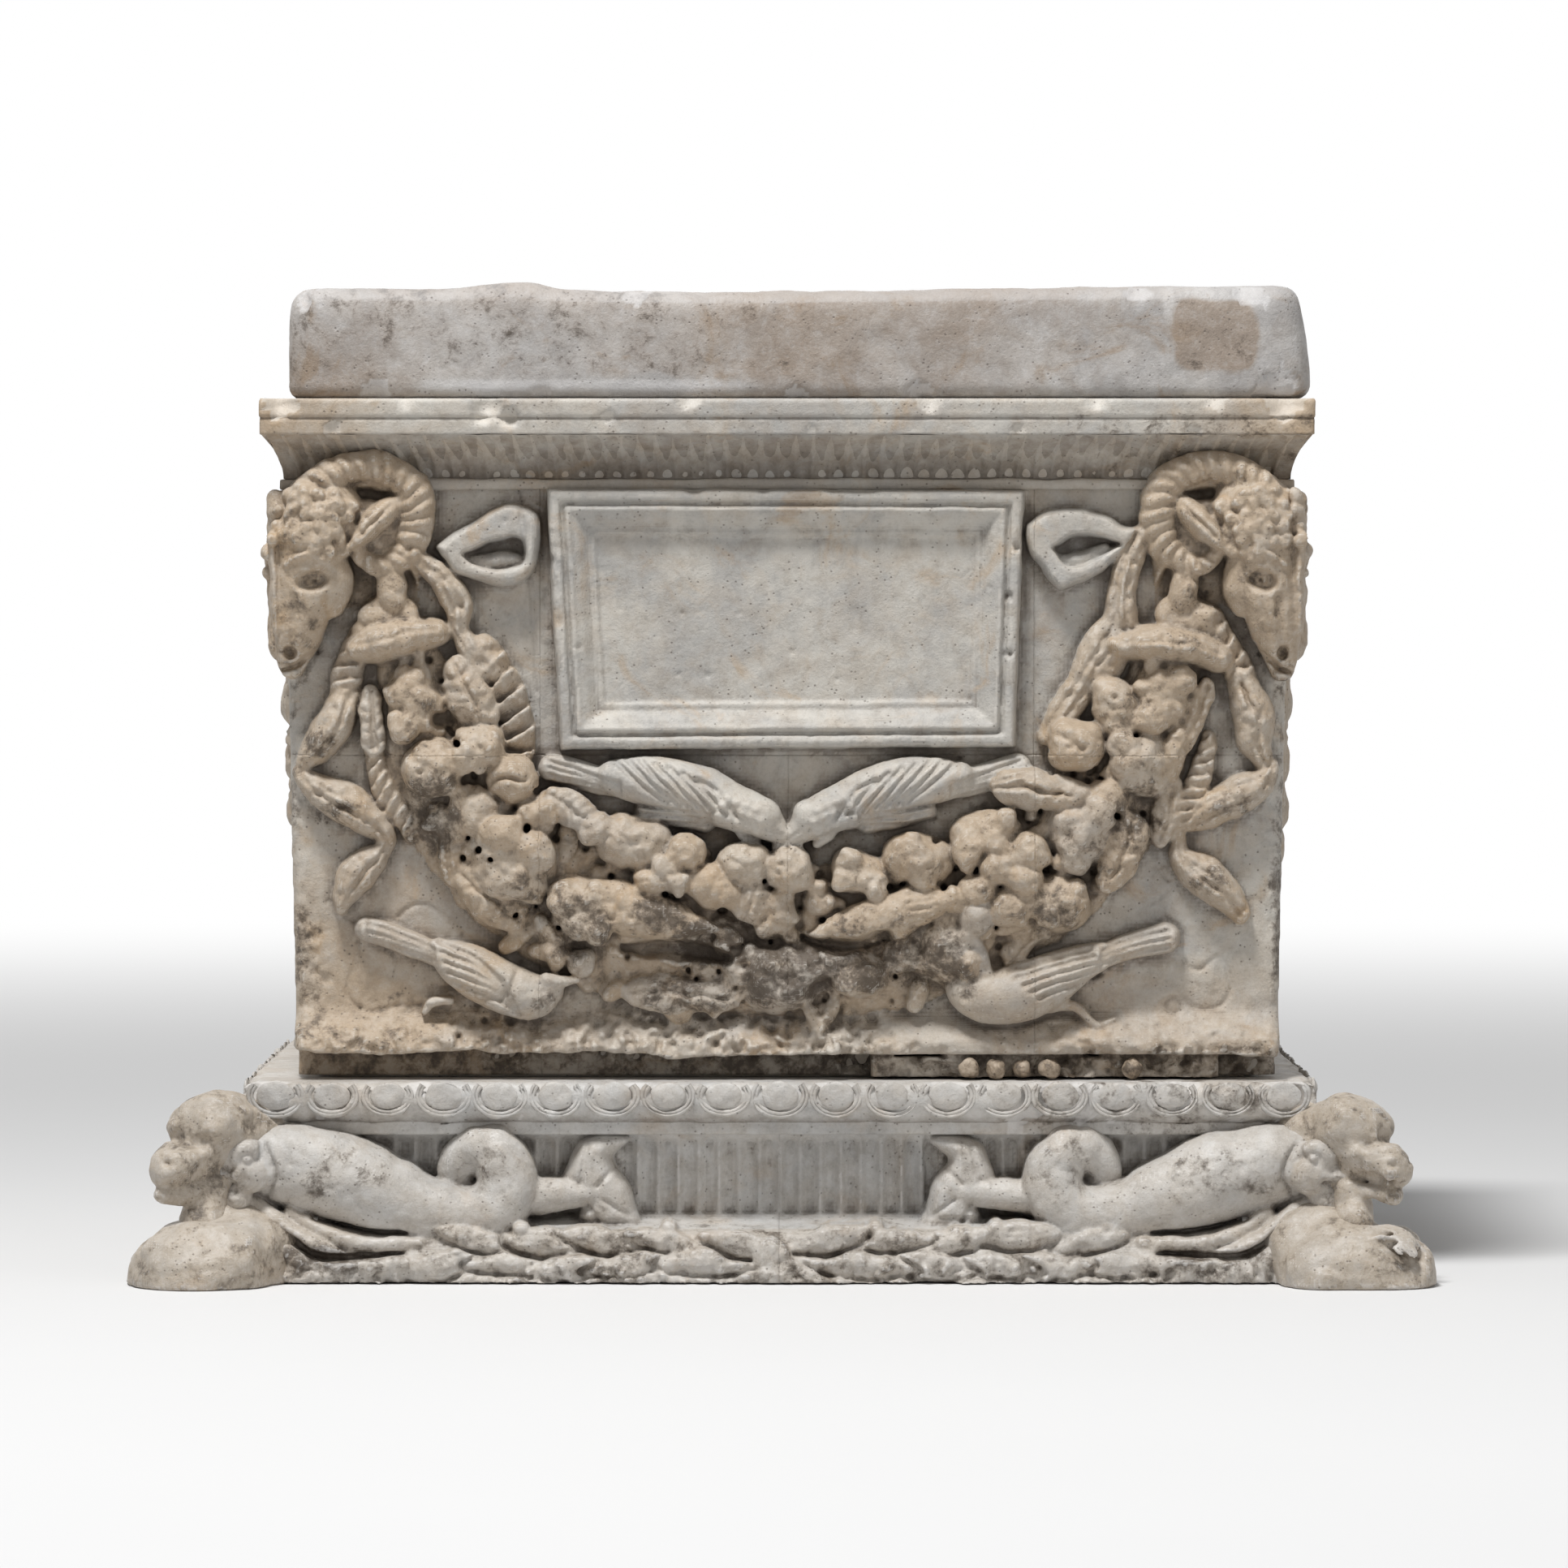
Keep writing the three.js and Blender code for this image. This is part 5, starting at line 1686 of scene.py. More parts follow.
# Fruits of the garland: x, y, radius across, radius up, turn, how far out, kind
FRUITS: List[Tuple[float, float, float, float, float, float, Fruit]] = [
    (-51.4, 44.6, 1.4, 4.6, 6, 12, LEAF), (-41.8, 28.0, 1.4, 4.0, 2, 12, LEAF),
    (-36.9, 22.8, 5.6, 2.7, -42, 15, LEAF), (-28.7, 17.2, 2.2, 3.6, 12, 15, BROKEN),
    (-13.0, 10.8, 7.4, 2.3, -4, 14, LEAF), (46.8, 33.5, 1.8, 4.6, -14, 12, LEAF),
    (29.3, 17.4, 1.5, 4.0, -30, 11, LEAF), (50.3, 44.8, 1.5, 5.4, -20, 13, LEAF),
    (-39.4, 47.4, 3.0, 5.2, 28, 16, LEAF), (-46.4, 46.6, 3.3, 4.8, 8, 21, BROKEN),
    (-43.8, 38.8, 3.6, 3.7, 0, 25, ROUND), (-38.1, 41.0, 3.6, 3.2, 0, 24, BROKEN),
    (-38.1, 33.3, 2.3, 3.3, 12, 20, ROUND), (-33.8, 37.4, 3.3, 3.2, 0, 23, SLIT),
    (-26.7, 33.6, 3.8, 2.0, -32, 20, LEAF), (-31.0, 32.6, 2.7, 3.3, -10, 21, BROKEN),
    (-33.8, 26.8, 5.6, 4.7, -18, 25, BROKEN), (-35.0, 30.6, 3.0, 2.2, -8, 26, ROUND),
    (-25.3, 21.6, 4.5, 3.8, -10, 24, BROKEN), (-25.4, 14.6, 1.8, 1.7, 0, 16, GRAPE),
    (-19.2, 29.6, 4.8, 3.6, -12, 23, ROUND), (-23.6, 31.2, 2.4, 1.9, 20, 22, ROUND),
    (-14.8, 25.8, 2.8, 2.4, 0, 24, BROKEN), (-12.6, 28.4, 2.6, 2.1, 0, 24, ROUND),
    (-17.0, 25.0, 2.0, 1.7, 0, 23, GRAPE), (-9.0, 24.0, 4.1, 2.6, -28, 23, ROUND),
    (-5.4, 26.9, 3.4, 2.7, -8, 24, ROUND), (0.2, 26.2, 3.1, 3.0, 0, 25, ROUND),
    (-4.6, 22.4, 2.4, 2.9, -20, 20, LEAF), (-1.6, 20.6, 2.7, 3.0, 0, 18, BROKEN),
    (-0.8, 12.8, 5.6, 4.6, 0, 19, BROKEN), (-5.8, 14.8, 2.6, 2.4, 0, 16, BROKEN),
    (4.6, 15.2, 3.4, 2.8, 0, 19, ROUND), (9.2, 13.4, 3.2, 3.0, 0, 18, BROKEN),
    (19.6, 15.2, 5.0, 3.7, -24, 20, BROKEN), (14.6, 15.6, 2.6, 2.2, 0, 15, LEAF),
    (9.0, 25.9, 3.6, 2.9, -12, 23, BROKEN), (16.0, 27.3, 4.6, 3.5, 0, 24, BROKEN),
    (24.6, 30.4, 4.5, 3.3, 6, 23, BROKEN), (23.4, 23.8, 2.4, 2.3, 0, 24, GRAPE),
    (26.2, 26.4, 2.3, 2.3, 0, 26, GRAPE), (28.9, 25.0, 2.5, 2.4, 0, 26, GRAPE),
    (29.8, 28.4, 2.5, 2.3, 0, 24, GRAPE), (23.6, 20.6, 2.4, 2.2, 0, 23, GRAPE),
    (27.4, 21.5, 2.5, 2.3, 0, 24, GRAPE), (21.0, 22.4, 2.0, 1.9, 0, 21, GRAPE),
    (30.6, 22.2, 1.9, 2.0, 0, 22, GRAPE), (36.4, 30.8, 4.7, 4.2, 28, 25, BROKEN),
    (31.4, 35.9, 6.4, 2.6, -8, 23, SLIT), (35.6, 41.6, 3.6, 3.5, 0, 24, ROUND),
    (33.8, 22.4, 3.7, 3.8, 0, 22, BROKEN), (43.6, 39.4, 4.0, 4.4, 0, 24, BROKEN),
    (41.4, 28.6, 2.5, 5.2, -22, 19, LEAF), (39.6, 34.6, 2.6, 3.0, 30, 21, ROUND),
    (40.6, 45.8, 3.0, 4.4, 14, 20, ROUND), (46.6, 47.2, 3.4, 4.6, -10, 20, BROKEN),
    (47.8, 40.6, 1.8, 3.4, -10, 17, ROUND), (4.2, 22.6, 2.0, 2.4, 10, 17, BROKEN),
]

# The mass of leaves behind the fruits: x, y, half width, how far out
GARLAND_MASS = (
    (-46.6, 51, 4.2, 12), (-43, 38, 6.6, 13), (-35, 27.5, 8.0, 13), (-24, 20.8, 8.8, 13),
    (-12, 18, 9.2, 13), (0, 17.2, 9.2, 13), (12, 18.2, 9.2, 13), (24.5, 22.4, 8.8, 13),
    (35.5, 30, 8.0, 13), (43.4, 40, 6.2, 13), (46.8, 51, 4.2, 12),
)

# Holes drilled between the fruits
DRILLED = (
    (-44.4, 50.9), (-43.9, 48.6), (-43.2, 46.6), (-40.2, 41.4), (-39.5, 40.2), (-36.6, 30.1),
    (-37.4, 37.0), (-29.8, 36.0), (-33.4, 31.2), (-35.0, 29.0), (-28.4, 28.6), (-24.5, 27.4),
    (-29.8, 23.0), (-26.8, 20.4), (-21.4, 24.6), (-16.6, 22.9), (-10.2, 27.0), (-9.0, 20.4),
    (-6.4, 20.6), (-2.2, 23.8), (3.4, 19.8), (3.6, 24.2), (4.9, 18.6), (13.4, 24.0), (14.0, 25.6),
    (15.6, 23.6), (18.0, 23.6), (20.4, 26.2), (20.0, 28.6), (20.4, 19.4), (24.8, 18.0),
    (31.2, 30.6), (31.8, 24.8), (31.8, 27.2), (32.8, 32.4), (34.2, 37.5), (35.6, 37.7),
    (37.2, 37.5), (38.6, 35.6), (40.2, 36.6), (40.4, 31.6), (40.2, 33.2), (38.8, 27.4), (43.2, 43.6),
)


@dataclass
class ChestFront:
    """The chest's carved front, cut as one face of stone."""

    placement: Placement = Placement((CHEST_SHIFT, SHAFT_FRONT, CHEST_FLOOR))
    half_foot: float = SHAFT_FOOT
    half_head: float = SHAFT_HEAD
    height: float = SHAFT_HEIGHT
    cell: float = 0.84
    cuts: Tuple[float, ...] = (-104.0, 0.0, 104.0)
    squares: Squares = CHEST_SQUARES

    def __post_init__(self) -> None:
        """Starts the flat face."""
        self.relief = Relief(-218, 218, 0, 266, self.cell, -14.0, 32.0)

    def ground(self) -> None:
        """Draws the face's outline, its foot ledge and the hollow curve above the ledge."""
        relief = self.relief
        across, up = relief.whole()
        height = relief.height
        left, right = self.squares.at(10.0, 0)[0], self.squares.at(53.4, 0)[0]
        ragged = rough((across,), 24, 6, 4) * 2.2 + 0 * up
        broken = 1 - ease(across, -60, 30) + ease(across, 176, 184)
        height[:] = 12 * (1 - ease(up, 14.5, 33)) ** 1.5
        height[:] = np.where(up < 10.5 + broken * ragged, -10.0, height)
        edge = 10.6 + 1.6 * rough((across,), 14, 9, 4)
        strip = (across > left + 2 * ragged) & (across < right) & (up < np.minimum(edge, 10.6))
        height[strip] = 4.5 + 2.4 * rough((across, up), 9, 12, 4)[strip]
        # The band below the ledge is painted dark: crust, and painted shade under the ledge
        relief.crust[:] = np.maximum(relief.crust, 0.5 * (up < 10.6))
        edge = self.half_foot + (self.half_head - self.half_foot) * up / self.height - np.abs(across)
        height -= 4 * (1 - np.clip(edge / 4, 0, 1)) ** 2
        height[(edge < 0) | (up > self.height)] = -30
        left_low = (1 - ease(across, -190, -60)) * (1 - ease(up, 40, 130))
        patches = 0.12 * rough((across, up), 60, 4, 3)
        relief.tan[:] = 0.2 + 0.35 * left_low + 0.3 * (1 - ease(up, 10, 60)) + patches

    def foot(self) -> None:
        """Breaks the ledge and the edges, as on the old stone."""
        for x, y, rx, ry, amount, crust in (
            (-36, 5.4, 10, 3.2, 7.0, 0.2), (-52, 5.4, 8, 2.8, 4.0, 0.3), (-20, 5.6, 10, 3.4, 7.0, 0.2),
            (-5, 6.0, 9, 3.4, 7.0, 0.2), (7, 5.0, 6, 4.2, 8.0, 0.35), (17, 2.4, 5, 2.6, 6.0, 0.4),
            (37, 2.2, 5.6, 2.4, 6.5, 0.4), (48, 2.6, 7, 2.6, 6.0, 0.45), (57, 3.2, 5, 2.2, 3.5, 0.45),
            (-60.5, 12, 4, 12, 1.8, 0.45), (-61.5, 36, 2.0, 16, 1.2, 0.35), (61, 24, 1.6, 22, 1.2, 0.5),
            (-45, 8, 10, 4, 1.2, 0.2), (61, 50, 1.4, 12, 0.8, 0.4), (-30, 9, 14, 3, 1.5, 0.1),
            (28, 1.6, 16, 1.6, 2.0, 0.4),
        ):
            self.relief.break_up(*self.squares.at(x, y), (rx * SQUARE, ry * SQUARE), amount, crust)

    def panel(self) -> None:
        """Cuts the framed panel, whose field is left bare."""
        relief, at = self.relief, self.squares.at
        relief.wander, relief.tone = 0.25, 0.05
        window, inward = relief.outline([at(-29.8, 73.1), at(29.4, 72.9), at(28.2, 41.2), at(-28.1, 40.8)])
        section = (
            (0, 2), (0.8, 10.6), (1.8, 12.3), (4.6, 12.5), (5.4, 11.8), (5.9, 9.2), (7.1, 9.2), (7.5, 11.0),
            (8.4, 12.2), (9.3, 12.1), (10.5, 10.9), (10.9, 10.6), (12.6, 9.9), (14.6, 8.2), (16.6, 6.3),
            (17.4, 5.9), (17.8, 6.5), (18.3, 6.7), (19.4, 6.4), (20.2, 4.8), (400, 4.8),
        )
        relief.raise_to(window, np.interp(inward, *zip(*section)), inward > 0)
        for i in range(27):
            u, v = at(-26.5 + i * 2.02 + 0.5 * math.sin(i * 2.4), 41.05)
            lean = 1.2 + 0.8 * math.sin(i * 1.7)
            relief.groove([(u, v - 1, 0.7), (u + lean, v + 2.4, 0.55)], 1.3 + 0.8 * math.sin(i * 3.1), 1)
        for x, y, rx, ry in (
            (-11.5, 73.0, 1.3, 0.7), (-3.0, 73.1, 0.9, 0.8), (8.6, 73.0, 3.4, 0.7), (5.5, 72.9, 0.9, 0.5),
            (27.4, 59.8, 0.5, 0.7), (27.4, 52.8, 0.5, 0.6), (28.3, 66.0, 0.5, 0.9), (-29.2, 64.0, 0.4, 1.1),
            (-28.8, 50.0, 0.4, 0.8), (-22.0, 40.9, 0.7, 0.4), (17.0, 41.2, 0.8, 0.5),
        ):
            relief.pit(*at(x, y), (rx * SQUARE, ry * SQUARE), 0, 3.4)
        relief.break_up(*at(-29, 57), (1.4 * SQUARE, 15 * SQUARE), 0.8)
        relief.wander = 0.9

    def curls(self, squares: Squares, seed: int) -> None:
        """Carves the curls of wool over a ram's brow.

        Args:
            squares: The grid of the ram's corner.
            seed: The number that fixes their places.
        """
        relief = self.relief
        rng = np.random.default_rng(seed)
        for row, (start, end, y) in enumerate(
            ((-61.2, -55.0, 72.2), (-62.6, -52.4, 70.9), (-63.0, -51.2, 69.5), (-63.2, -50.8, 68.1),
             (-63.2, -51.6, 66.8), (-58.4, -52.0, 65.6))
        ):
            x = start + 0.4 * (row % 2)
            while x < end:
                size = rng.uniform(0.85, 1.25) * SQUARE
                u, v = squares.at(x, y + rng.uniform(-0.25, 0.25))
                here = relief.at(u, v)
                if here > 4:
                    relief.lump(u, v, (size, size * 0.8), rng.uniform(0, 180), min(here + 3.4, 27), 1.0)
                    relief.pit(u, v, (0.9, 0.8), 0, 2.0)
                x += rng.uniform(1.5, 2.0)

    def ram(self, hand: int) -> None:
        """Carves a corner's ram head: -1 for the right corner, 1 for the left.

        Args:
            hand: 1 for the left corner and -1 for the right.
        """
        relief, squares = self.relief, self.squares.turned(hand)
        at, path, shape = squares.at, squares.path, squares.shape
        relief.tone, relief.blend = 0.8, 0.8
        relief.pillow(
            shape((-62.6, 69.5), (-60.6, 72.4), (-57.0, 74.6), (-52.0, 75.6), (-47.0, 74.6), (-44.6, 72.0),
                  (-44.6, 67.0), (-45.4, 62.0), (-45.8, 57.0), (-48.0, 54.2), (-50.8, 55.4),
                  (-53.0, 58.4), (-56.0, 58.0), (-60.0, 60.0)), 10.0, 5.0)
        relief.hole(shape((-57.0, 71.2), (-54.6, 73.0), (-51.0, 73.4), (-48.2, 72.2), (-48.0, 70.0),
                          (-50.4, 71.2), (-53.4, 71.6)), 1.0)
        relief.hole(shape((-54.4, 65.0), (-51.4, 64.4), (-49.4, 62.8), (-50.0, 60.2), (-51.6, 58.6),
                          (-53.8, 57.6), (-55.0, 60.0)), 0.0)
        relief.hole(shape((-47.6, 64.2), (-46.0, 62.4), (-44.6, 59.4), (-44.4, 56.4), (-46.4, 57.6),
                          (-47.8, 60.8)), 0.0)
        for x, y, rx, ry, turn, top in (
            (-48.9, 60.4, 1.9, 3.2, 8, 14.5), (-51.2, 57.0, 2.0, 1.8, -20, 12.5),
            (-49.0, 56.2, 2.2, 1.7, 15, 13.0), (-47.2, 57.6, 1.7, 2.2, 0, 12.0),
            (-52.6, 55.6, 1.3, 1.2, 0, 10.0), (-46.6, 65.8, 1.8, 1.6, 0, 12.0),
        ):
            relief.lump(*at(x, y), (rx * SQUARE, ry * SQUARE), hand * turn, top, 0.8)
        relief.limb(path((-57.4, 70.4, 5.0, 6.0), (-58.2, 67.6, 5.0, 7.2), (-58.9, 64.0, 4.5, 9.0),
                         (-59.4, 60.2, 3.9, 10.2), (-60.2, 56.4, 3.2, 10.4), (-60.9, 53.2, 2.4, 9.8),
                         (-61.3, 51.0, 1.6, 9.0)))
        relief.lump(*at(-57.0, 62.4), (3.3 * SQUARE, 5.4 * SQUARE), hand * 8, 20.5, 0.9)
        relief.strap(path((-63.2, 67.2, 0.9, 20.5), (-63.0, 62.0, 1.0, 21.5), (-62.9, 55.6, 0.8, 19.0)), 0.8)
        relief.pit(*at(-58.4, 61.7), (2.1 * SQUARE, 1.5 * SQUARE), 0, 7.0)
        relief.strap(path((-61.4, 63.6, 0.8, 24.2), (-59.2, 65.0, 1.1, 26.4), (-56.4, 64.2, 0.8, 24.0)), 0.9)
        relief.lump(*at(-58.5, 61.8), (0.95 * SQUARE, 0.75 * SQUARE), 0, 20.5, 1.0)
        relief.pit(*at(-58.3, 61.7), (0.4 * SQUARE, 0.4 * SQUARE), 0, 4.0)
        relief.strap(path((-60.3, 61.0, 0.35, 20.5), (-58.6, 60.4, 0.45, 21.6),
                          (-56.8, 61.2, 0.35, 20.5)), 0.9)
        relief.groove(path((-60.4, 59.8, 0.7), (-60.6, 55.6, 0.6), (-61.0, 53.8, 0.4)), 1.8)
        relief.pit(*at(-61.2, 52.9), (0.9 * SQUARE, 1.0 * SQUARE), hand * 20, 6.0)
        relief.groove(path((-62.4, 50.5, 0.3), (-60.6, 51.2, 0.5), (-58.4, 52.9, 0.45)), 6.0)
        self.curls(squares, 40 + hand)
        relief.limb(path((-61.2, 69.8, 1.0, 20.0), (-59.8, 72.0, 1.6, 17.5), (-57.6, 74.0, 2.0, 14.5),
                         (-54.8, 75.4, 2.0, 12.4), (-51.6, 75.9, 1.9, 11.0), (-48.4, 75.0, 2.0, 10.2),
                         (-46.3, 72.8, 2.25, 9.4), (-45.6, 69.6, 2.35, 9.0), (-46.4, 66.4, 2.1, 8.6),
                         (-48.2, 64.2, 1.6, 9.4), (-50.6, 63.4, 1.35, 10.8), (-52.6, 64.6, 1.0, 12.4),
                         (-53.6, 66.4, 0.7, 13.0)), 8, 3.4, 5.8, 2.5)
        ear = ((-47.7, 71.5, 0.7, 13.0), (-49.2, 70.5, 1.7, 18.5), (-51.2, 68.6, 2.0, 21.5),
               (-52.9, 66.7, 1.2, 22.0), (-53.8, 65.5, 0.5, 20.0))
        relief.strap(path(*ear), 0.6)
        for shift in (-0.5, 0.5):
            relief.groove(path(*((x + shift, y + shift, 0.3) for x, y, _, _ in ear[1:4])), 1.8)
        relief.break_up(*at(-61.6, 50.0), (9, 8), 1.6, 0.5)
        relief.break_up(*at(-60, 62), (18, 50), 0.9, 0.3)
        relief.break_up(*at(-54, 71), (36, 26), 1.1, 0.25)
        relief.break_up(*at(-50, 58), (20, 20), 1.1, 0.3)

    def flank(self, hand: int) -> Shell:
        """The outer side of a corner's ram head: hand -1 is the left corner.

        Args:
            hand: -1 for the left corner and 1 for the right.

        Returns:
            A closed shell.
        """
        block = Boulder((-224, -174, 248), (-188, -124, 334), 0.9)
        block.limb([(-204.6, -141, 321, 12), (-205, -141, 308, 12.4), (-206, -141, 292, 11.6),
                    (-208, -140, 277, 9.6), (-210.2, -140, 266, 7.4)], 2)
        block.limb([(-207, -137, 318, 10.6), (-207.4, -136, 292, 10.2), (-208.4, -136, 277, 9.2),
                    (-209.6, -137, 266, 8.0)], 3)
        block.limb([(-216, -152, 303, 2.6), (-217.5, -147, 305, 3.4), (-216.5, -140, 300, 2.6)], 1.5)
        block.carve((-222, -146, 296), (4.5, 5.2, 4.2), 1.2)
        block.ball((-216.6, -146, 296), (3.2, 3.8, 2.9), 0.5)
        block.trench([(-218, -146, 262, 1.0), (-218, -140, 264, 1.3), (-217, -134, 268, 0.9)], 0.6)
        block.trench([(-218, -137, 290, 1.4), (-218, -138, 280, 1.4), (-218, -141, 270, 1.0)], 1.2)
        rng = np.random.default_rng(23 + hand)
        for _ in range(46):
            y, z = rng.uniform(-154, -133), rng.uniform(304, 329)
            size = rng.uniform(2.8, 3.9)
            block.ball((-214.4 + 0.03 * (y + 144) ** 2, y, z), (size,) * 3, 0.6)
        block.weather(1.6, 9, 25 + hand, 5)
        shell = block.shell()
        if hand > 0:
            shell = shell.mirrored()
        shell.points[:, 0] += self.placement.origin[0]
        return shell.tint(tan=0.7, crust=0.3)

    def bows(self) -> None:
        """Carves the two bows."""
        relief, squares = self.relief, self.squares
        relief.tone, relief.blend = 0.1, 1.0
        for outside, inside, fold in (
            (
                ((-43.6, 65.8), (-40.0, 68.2), (-34.8, 71.1), (-31.0, 70.2), (-30.3, 67.4), (-31.2, 63.0),
                 (-34.8, 61.0), (-41.0, 62.6)),
                ((-40.6, 65.0), (-36.4, 66.8), (-33.0, 67.4), (-31.9, 66.0), (-32.4, 63.8), (-35.4, 62.7),
                 (-38.6, 63.6)),
                ((-39.4, 64.2, 0.9, 6.5), (-36.0, 64.0, 1.1, 8.0), (-33.0, 64.4, 0.8, 6.5)),
            ),
            (
                ((29.7, 68.6), (32.4, 70.5), (37.7, 70.2), (42.0, 68.6), (43.1, 67.5), (39.6, 63.2),
                 (35.0, 60.8), (32.9, 61.1), (29.7, 65.4)),
                ((32.2, 65.8), (35.0, 67.4), (38.6, 67.2), (41.4, 66.2), (38.2, 64.2), (34.4, 63.3)),
                ((33.2, 64.0, 0.9, 6.5), (36.0, 64.4, 1.0, 8.0), (39.4, 65.6, 0.7, 6.5)),
            ),
        ):
            relief.pillow(squares.shape(*outside), 12.0, 3.0)
            relief.hole(squares.shape(*inside), 0.5)
            relief.strap(squares.path(*fold), 0.7)

    def ribbons(self) -> None:
        """Carves the fluttering ends of the fillets: rows of x, y, half width and how far out."""
        relief, path = self.relief, self.squares.path
        relief.tone, relief.blend = 0.65, 1.4
        smooth = (
            ((-48.0, 66.6, 0.9, 12), (-45.2, 64.0, 1.2, 14), (-42.4, 61.8, 1.6, 14.5), (-40.6, 58.6, 1.7, 13),
             (-40.4, 55.6, 1.3, 12), (-38.8, 53.0, 1.9, 12), (-36.6, 50.8, 2.0, 11)),
            ((43.6, 67.2, 1.4, 12), (42.0, 63.4, 1.8, 12.5), (41.3, 59.4, 1.9, 12), (41.0, 56.2, 2.4, 11),
             (39.0, 52.8, 3.2, 12), (36.4, 48.8, 2.0, 11), (34.0, 45.2, 1.9, 10), (31.9, 42.4, 1.1, 8)),
        )
        for rows in smooth:
            relief.strap(path(*rows), 0.5)
            for shift in (-0.7, 0.5):
                relief.groove(path(*((x + shift, y - 0.3 * shift, 0.32) for x, y, _, _ in rows)), 1.9)
        for pitch, ribs, pleated, rows in (
            (8.0, 8.0, True, ((-37.6, 53.6, 1.7, 12), (-35.4, 49.6, 2.1, 12.5), (-33.8, 45.4, 2.1, 12),
                              (-33.0, 41.2, 1.9, 11), (-33.6, 39.2, 1.2, 9))),
            (7.0, 5.5, True, ((49.2, 62.4, 1.3, 9), (51.2, 58.6, 1.8, 11), (53.0, 55.2, 1.9, 11),
                              (55.4, 51.4, 1.9, 10), (56.8, 48.6, 1.8, 10))),
            (0.0, 0.0, False, ((56.0, 49.8, 1.6, 11), (57.6, 45.6, 2.6, 13.5), (57.8, 42.4, 2.2, 12),
                               (58.8, 39.4, 1.3, 9))),
            (0.0, 0.0, False, ((59.8, 39.2, 0.9, 8), (58.6, 36.8, 1.8, 12), (55.6, 35.2, 2.5, 14),
                               (52.4, 33.6, 2.3, 13), (49.8, 31.8, 1.1, 9))),
            (0.0, 0.0, False, ((48.6, 30.6, 0.9, 8), (48.8, 28.0, 1.4, 10), (51.2, 25.6, 2.5, 13),
                               (54.0, 23.2, 2.3, 12), (56.0, 20.8, 1.2, 9))),
            (6.4, 5.0, True, ((-52.0, 56.6, 1.1, 9), (-53.6, 53.4, 1.7, 11), (-54.4, 49.8, 1.8, 11),
                              (-54.6, 47.0, 1.9, 11))),
            (0.0, 0.0, False, ((-54.4, 47.8, 1.6, 11), (-56.0, 44.2, 2.4, 14), (-57.8, 41.6, 2.2, 13),
                               (-59.6, 39.2, 1.1, 9))),
            (0.0, 0.0, False, ((-60.4, 38.0, 0.8, 7), (-58.6, 36.4, 1.7, 11), (-55.2, 34.8, 2.6, 14.5),
                               (-51.8, 32.6, 2.3, 14), (-49.8, 30.4, 1.4, 11), (-50.2, 28.6, 1.2, 10),
                               (-52.6, 26.4, 2.2, 12.5), (-54.4, 23.8, 1.8, 11), (-55.2, 21.4, 0.9, 8))),
            (5.6, 4.2, True, ((-51.4, 42.4, 0.9, 9), (-50.6, 38.0, 1.4, 11), (-48.8, 34.4, 1.6, 11.5),
                              (-47.0, 31.6, 1.2, 10), (-46.6, 30.0, 0.7, 8))),
            (5.6, 4.2, True, ((52.2, 42.4, 0.9, 9), (51.4, 38.4, 1.4, 11), (49.8, 34.8, 1.6, 11.5),
                              (47.4, 31.4, 1.2, 10), (46.2, 29.6, 0.7, 8))),
        ):
            relief.strap(path(*rows), 0.25 if pitch else 0.8, ribs, pitch or 1.0, 3.0, pleated)
            if not pitch:
                relief.groove(path(*((x + 0.15 * w, y - 0.3 * w, 0.15 * w) for x, y, w, _ in rows)), 2.6)
                relief.groove(path(*((x - 0.2 * w, y + 0.4 * w, 0.1 * w) for x, y, w, _ in rows)), 1.6)
        for x, y in ((-55.6, 33.4), (55.4, 34.4), (51.6, 25.0), (-57.4, 42.0)):
            relief.break_up(*self.squares.at(x, y), (13, 8), 1.3, 0.45)

    def garland(self) -> None:
        """Carves the garland of fruits and leaves, and the bands that bind its ends."""
        relief, at, path = self.relief, self.squares.at, self.squares.path
        relief.tone, relief.blend, relief.wander = 0.8, 0.8, 1.5
        relief.strap(path(*((x, y, w, 0.62 * h) for x, y, w, h in GARLAND_MASS)), 0.8)
        spine = spline([row[:3] for row in GARLAND_MASS], 14)
        rng = np.random.default_rng(11)
        for _ in range(420):
            x, y, half = spine[rng.integers(len(spine))]
            away = rng.uniform(-1, 1)
            u, v = at(x + rng.uniform(-1.4, 1.4), y + away * half * 1.05)
            top = rng.uniform(9, 18) * (1 - 0.35 * abs(away))
            relief.tone = rng.uniform(0.5, 1.0)
            size = rng.uniform(3.4, 8.0), rng.uniform(2.6, 4.2)
            relief.lump(u, v, size, rng.uniform(0, 180), top, 0.9)
        for x, y, rx, ry, turn, top, kind in FRUITS:
            relief.blend, relief.tone = 0.7, rng.uniform(0.45, 1.0)
            self.fruit(at(x, y), (rx * SQUARE, ry * SQUARE), turn, top, kind, rng)
        relief.tone = 0.9
        relief.limb(path((-22.4, 22.6, 2.4, 14), (-19.6, 21.4, 3.2, 13), (-15.6, 20.2, 2.9, 13),
                         (-12.0, 19.4, 1.8, 15), (-8.8, 18.9, 0.5, 17)), 6, 0.7, 5.0, 4.0)
        relief.limb(path((2.4, 18.0, 0.6, 15), (6.0, 18.6, 2.0, 14), (10.4, 19.8, 2.8, 14),
                         (15.2, 21.4, 2.6, 15), (20.0, 23.0, 1.5, 17)))
        for i in range(6):
            line = (14.0 + 0.25 * i, 23.6 - 0.85 * i, 0.3), (19.8, 24.3 - 0.6 * i, 0.25)
            relief.groove(path(*line), 1.6, 1)
        relief.wander = 0.9
        for x, y in DRILLED:
            relief.drill(*relief.lowest(*at(x, y), 5.0), rng.uniform(1.1, 1.7), 2.0)
        for _ in range(90):
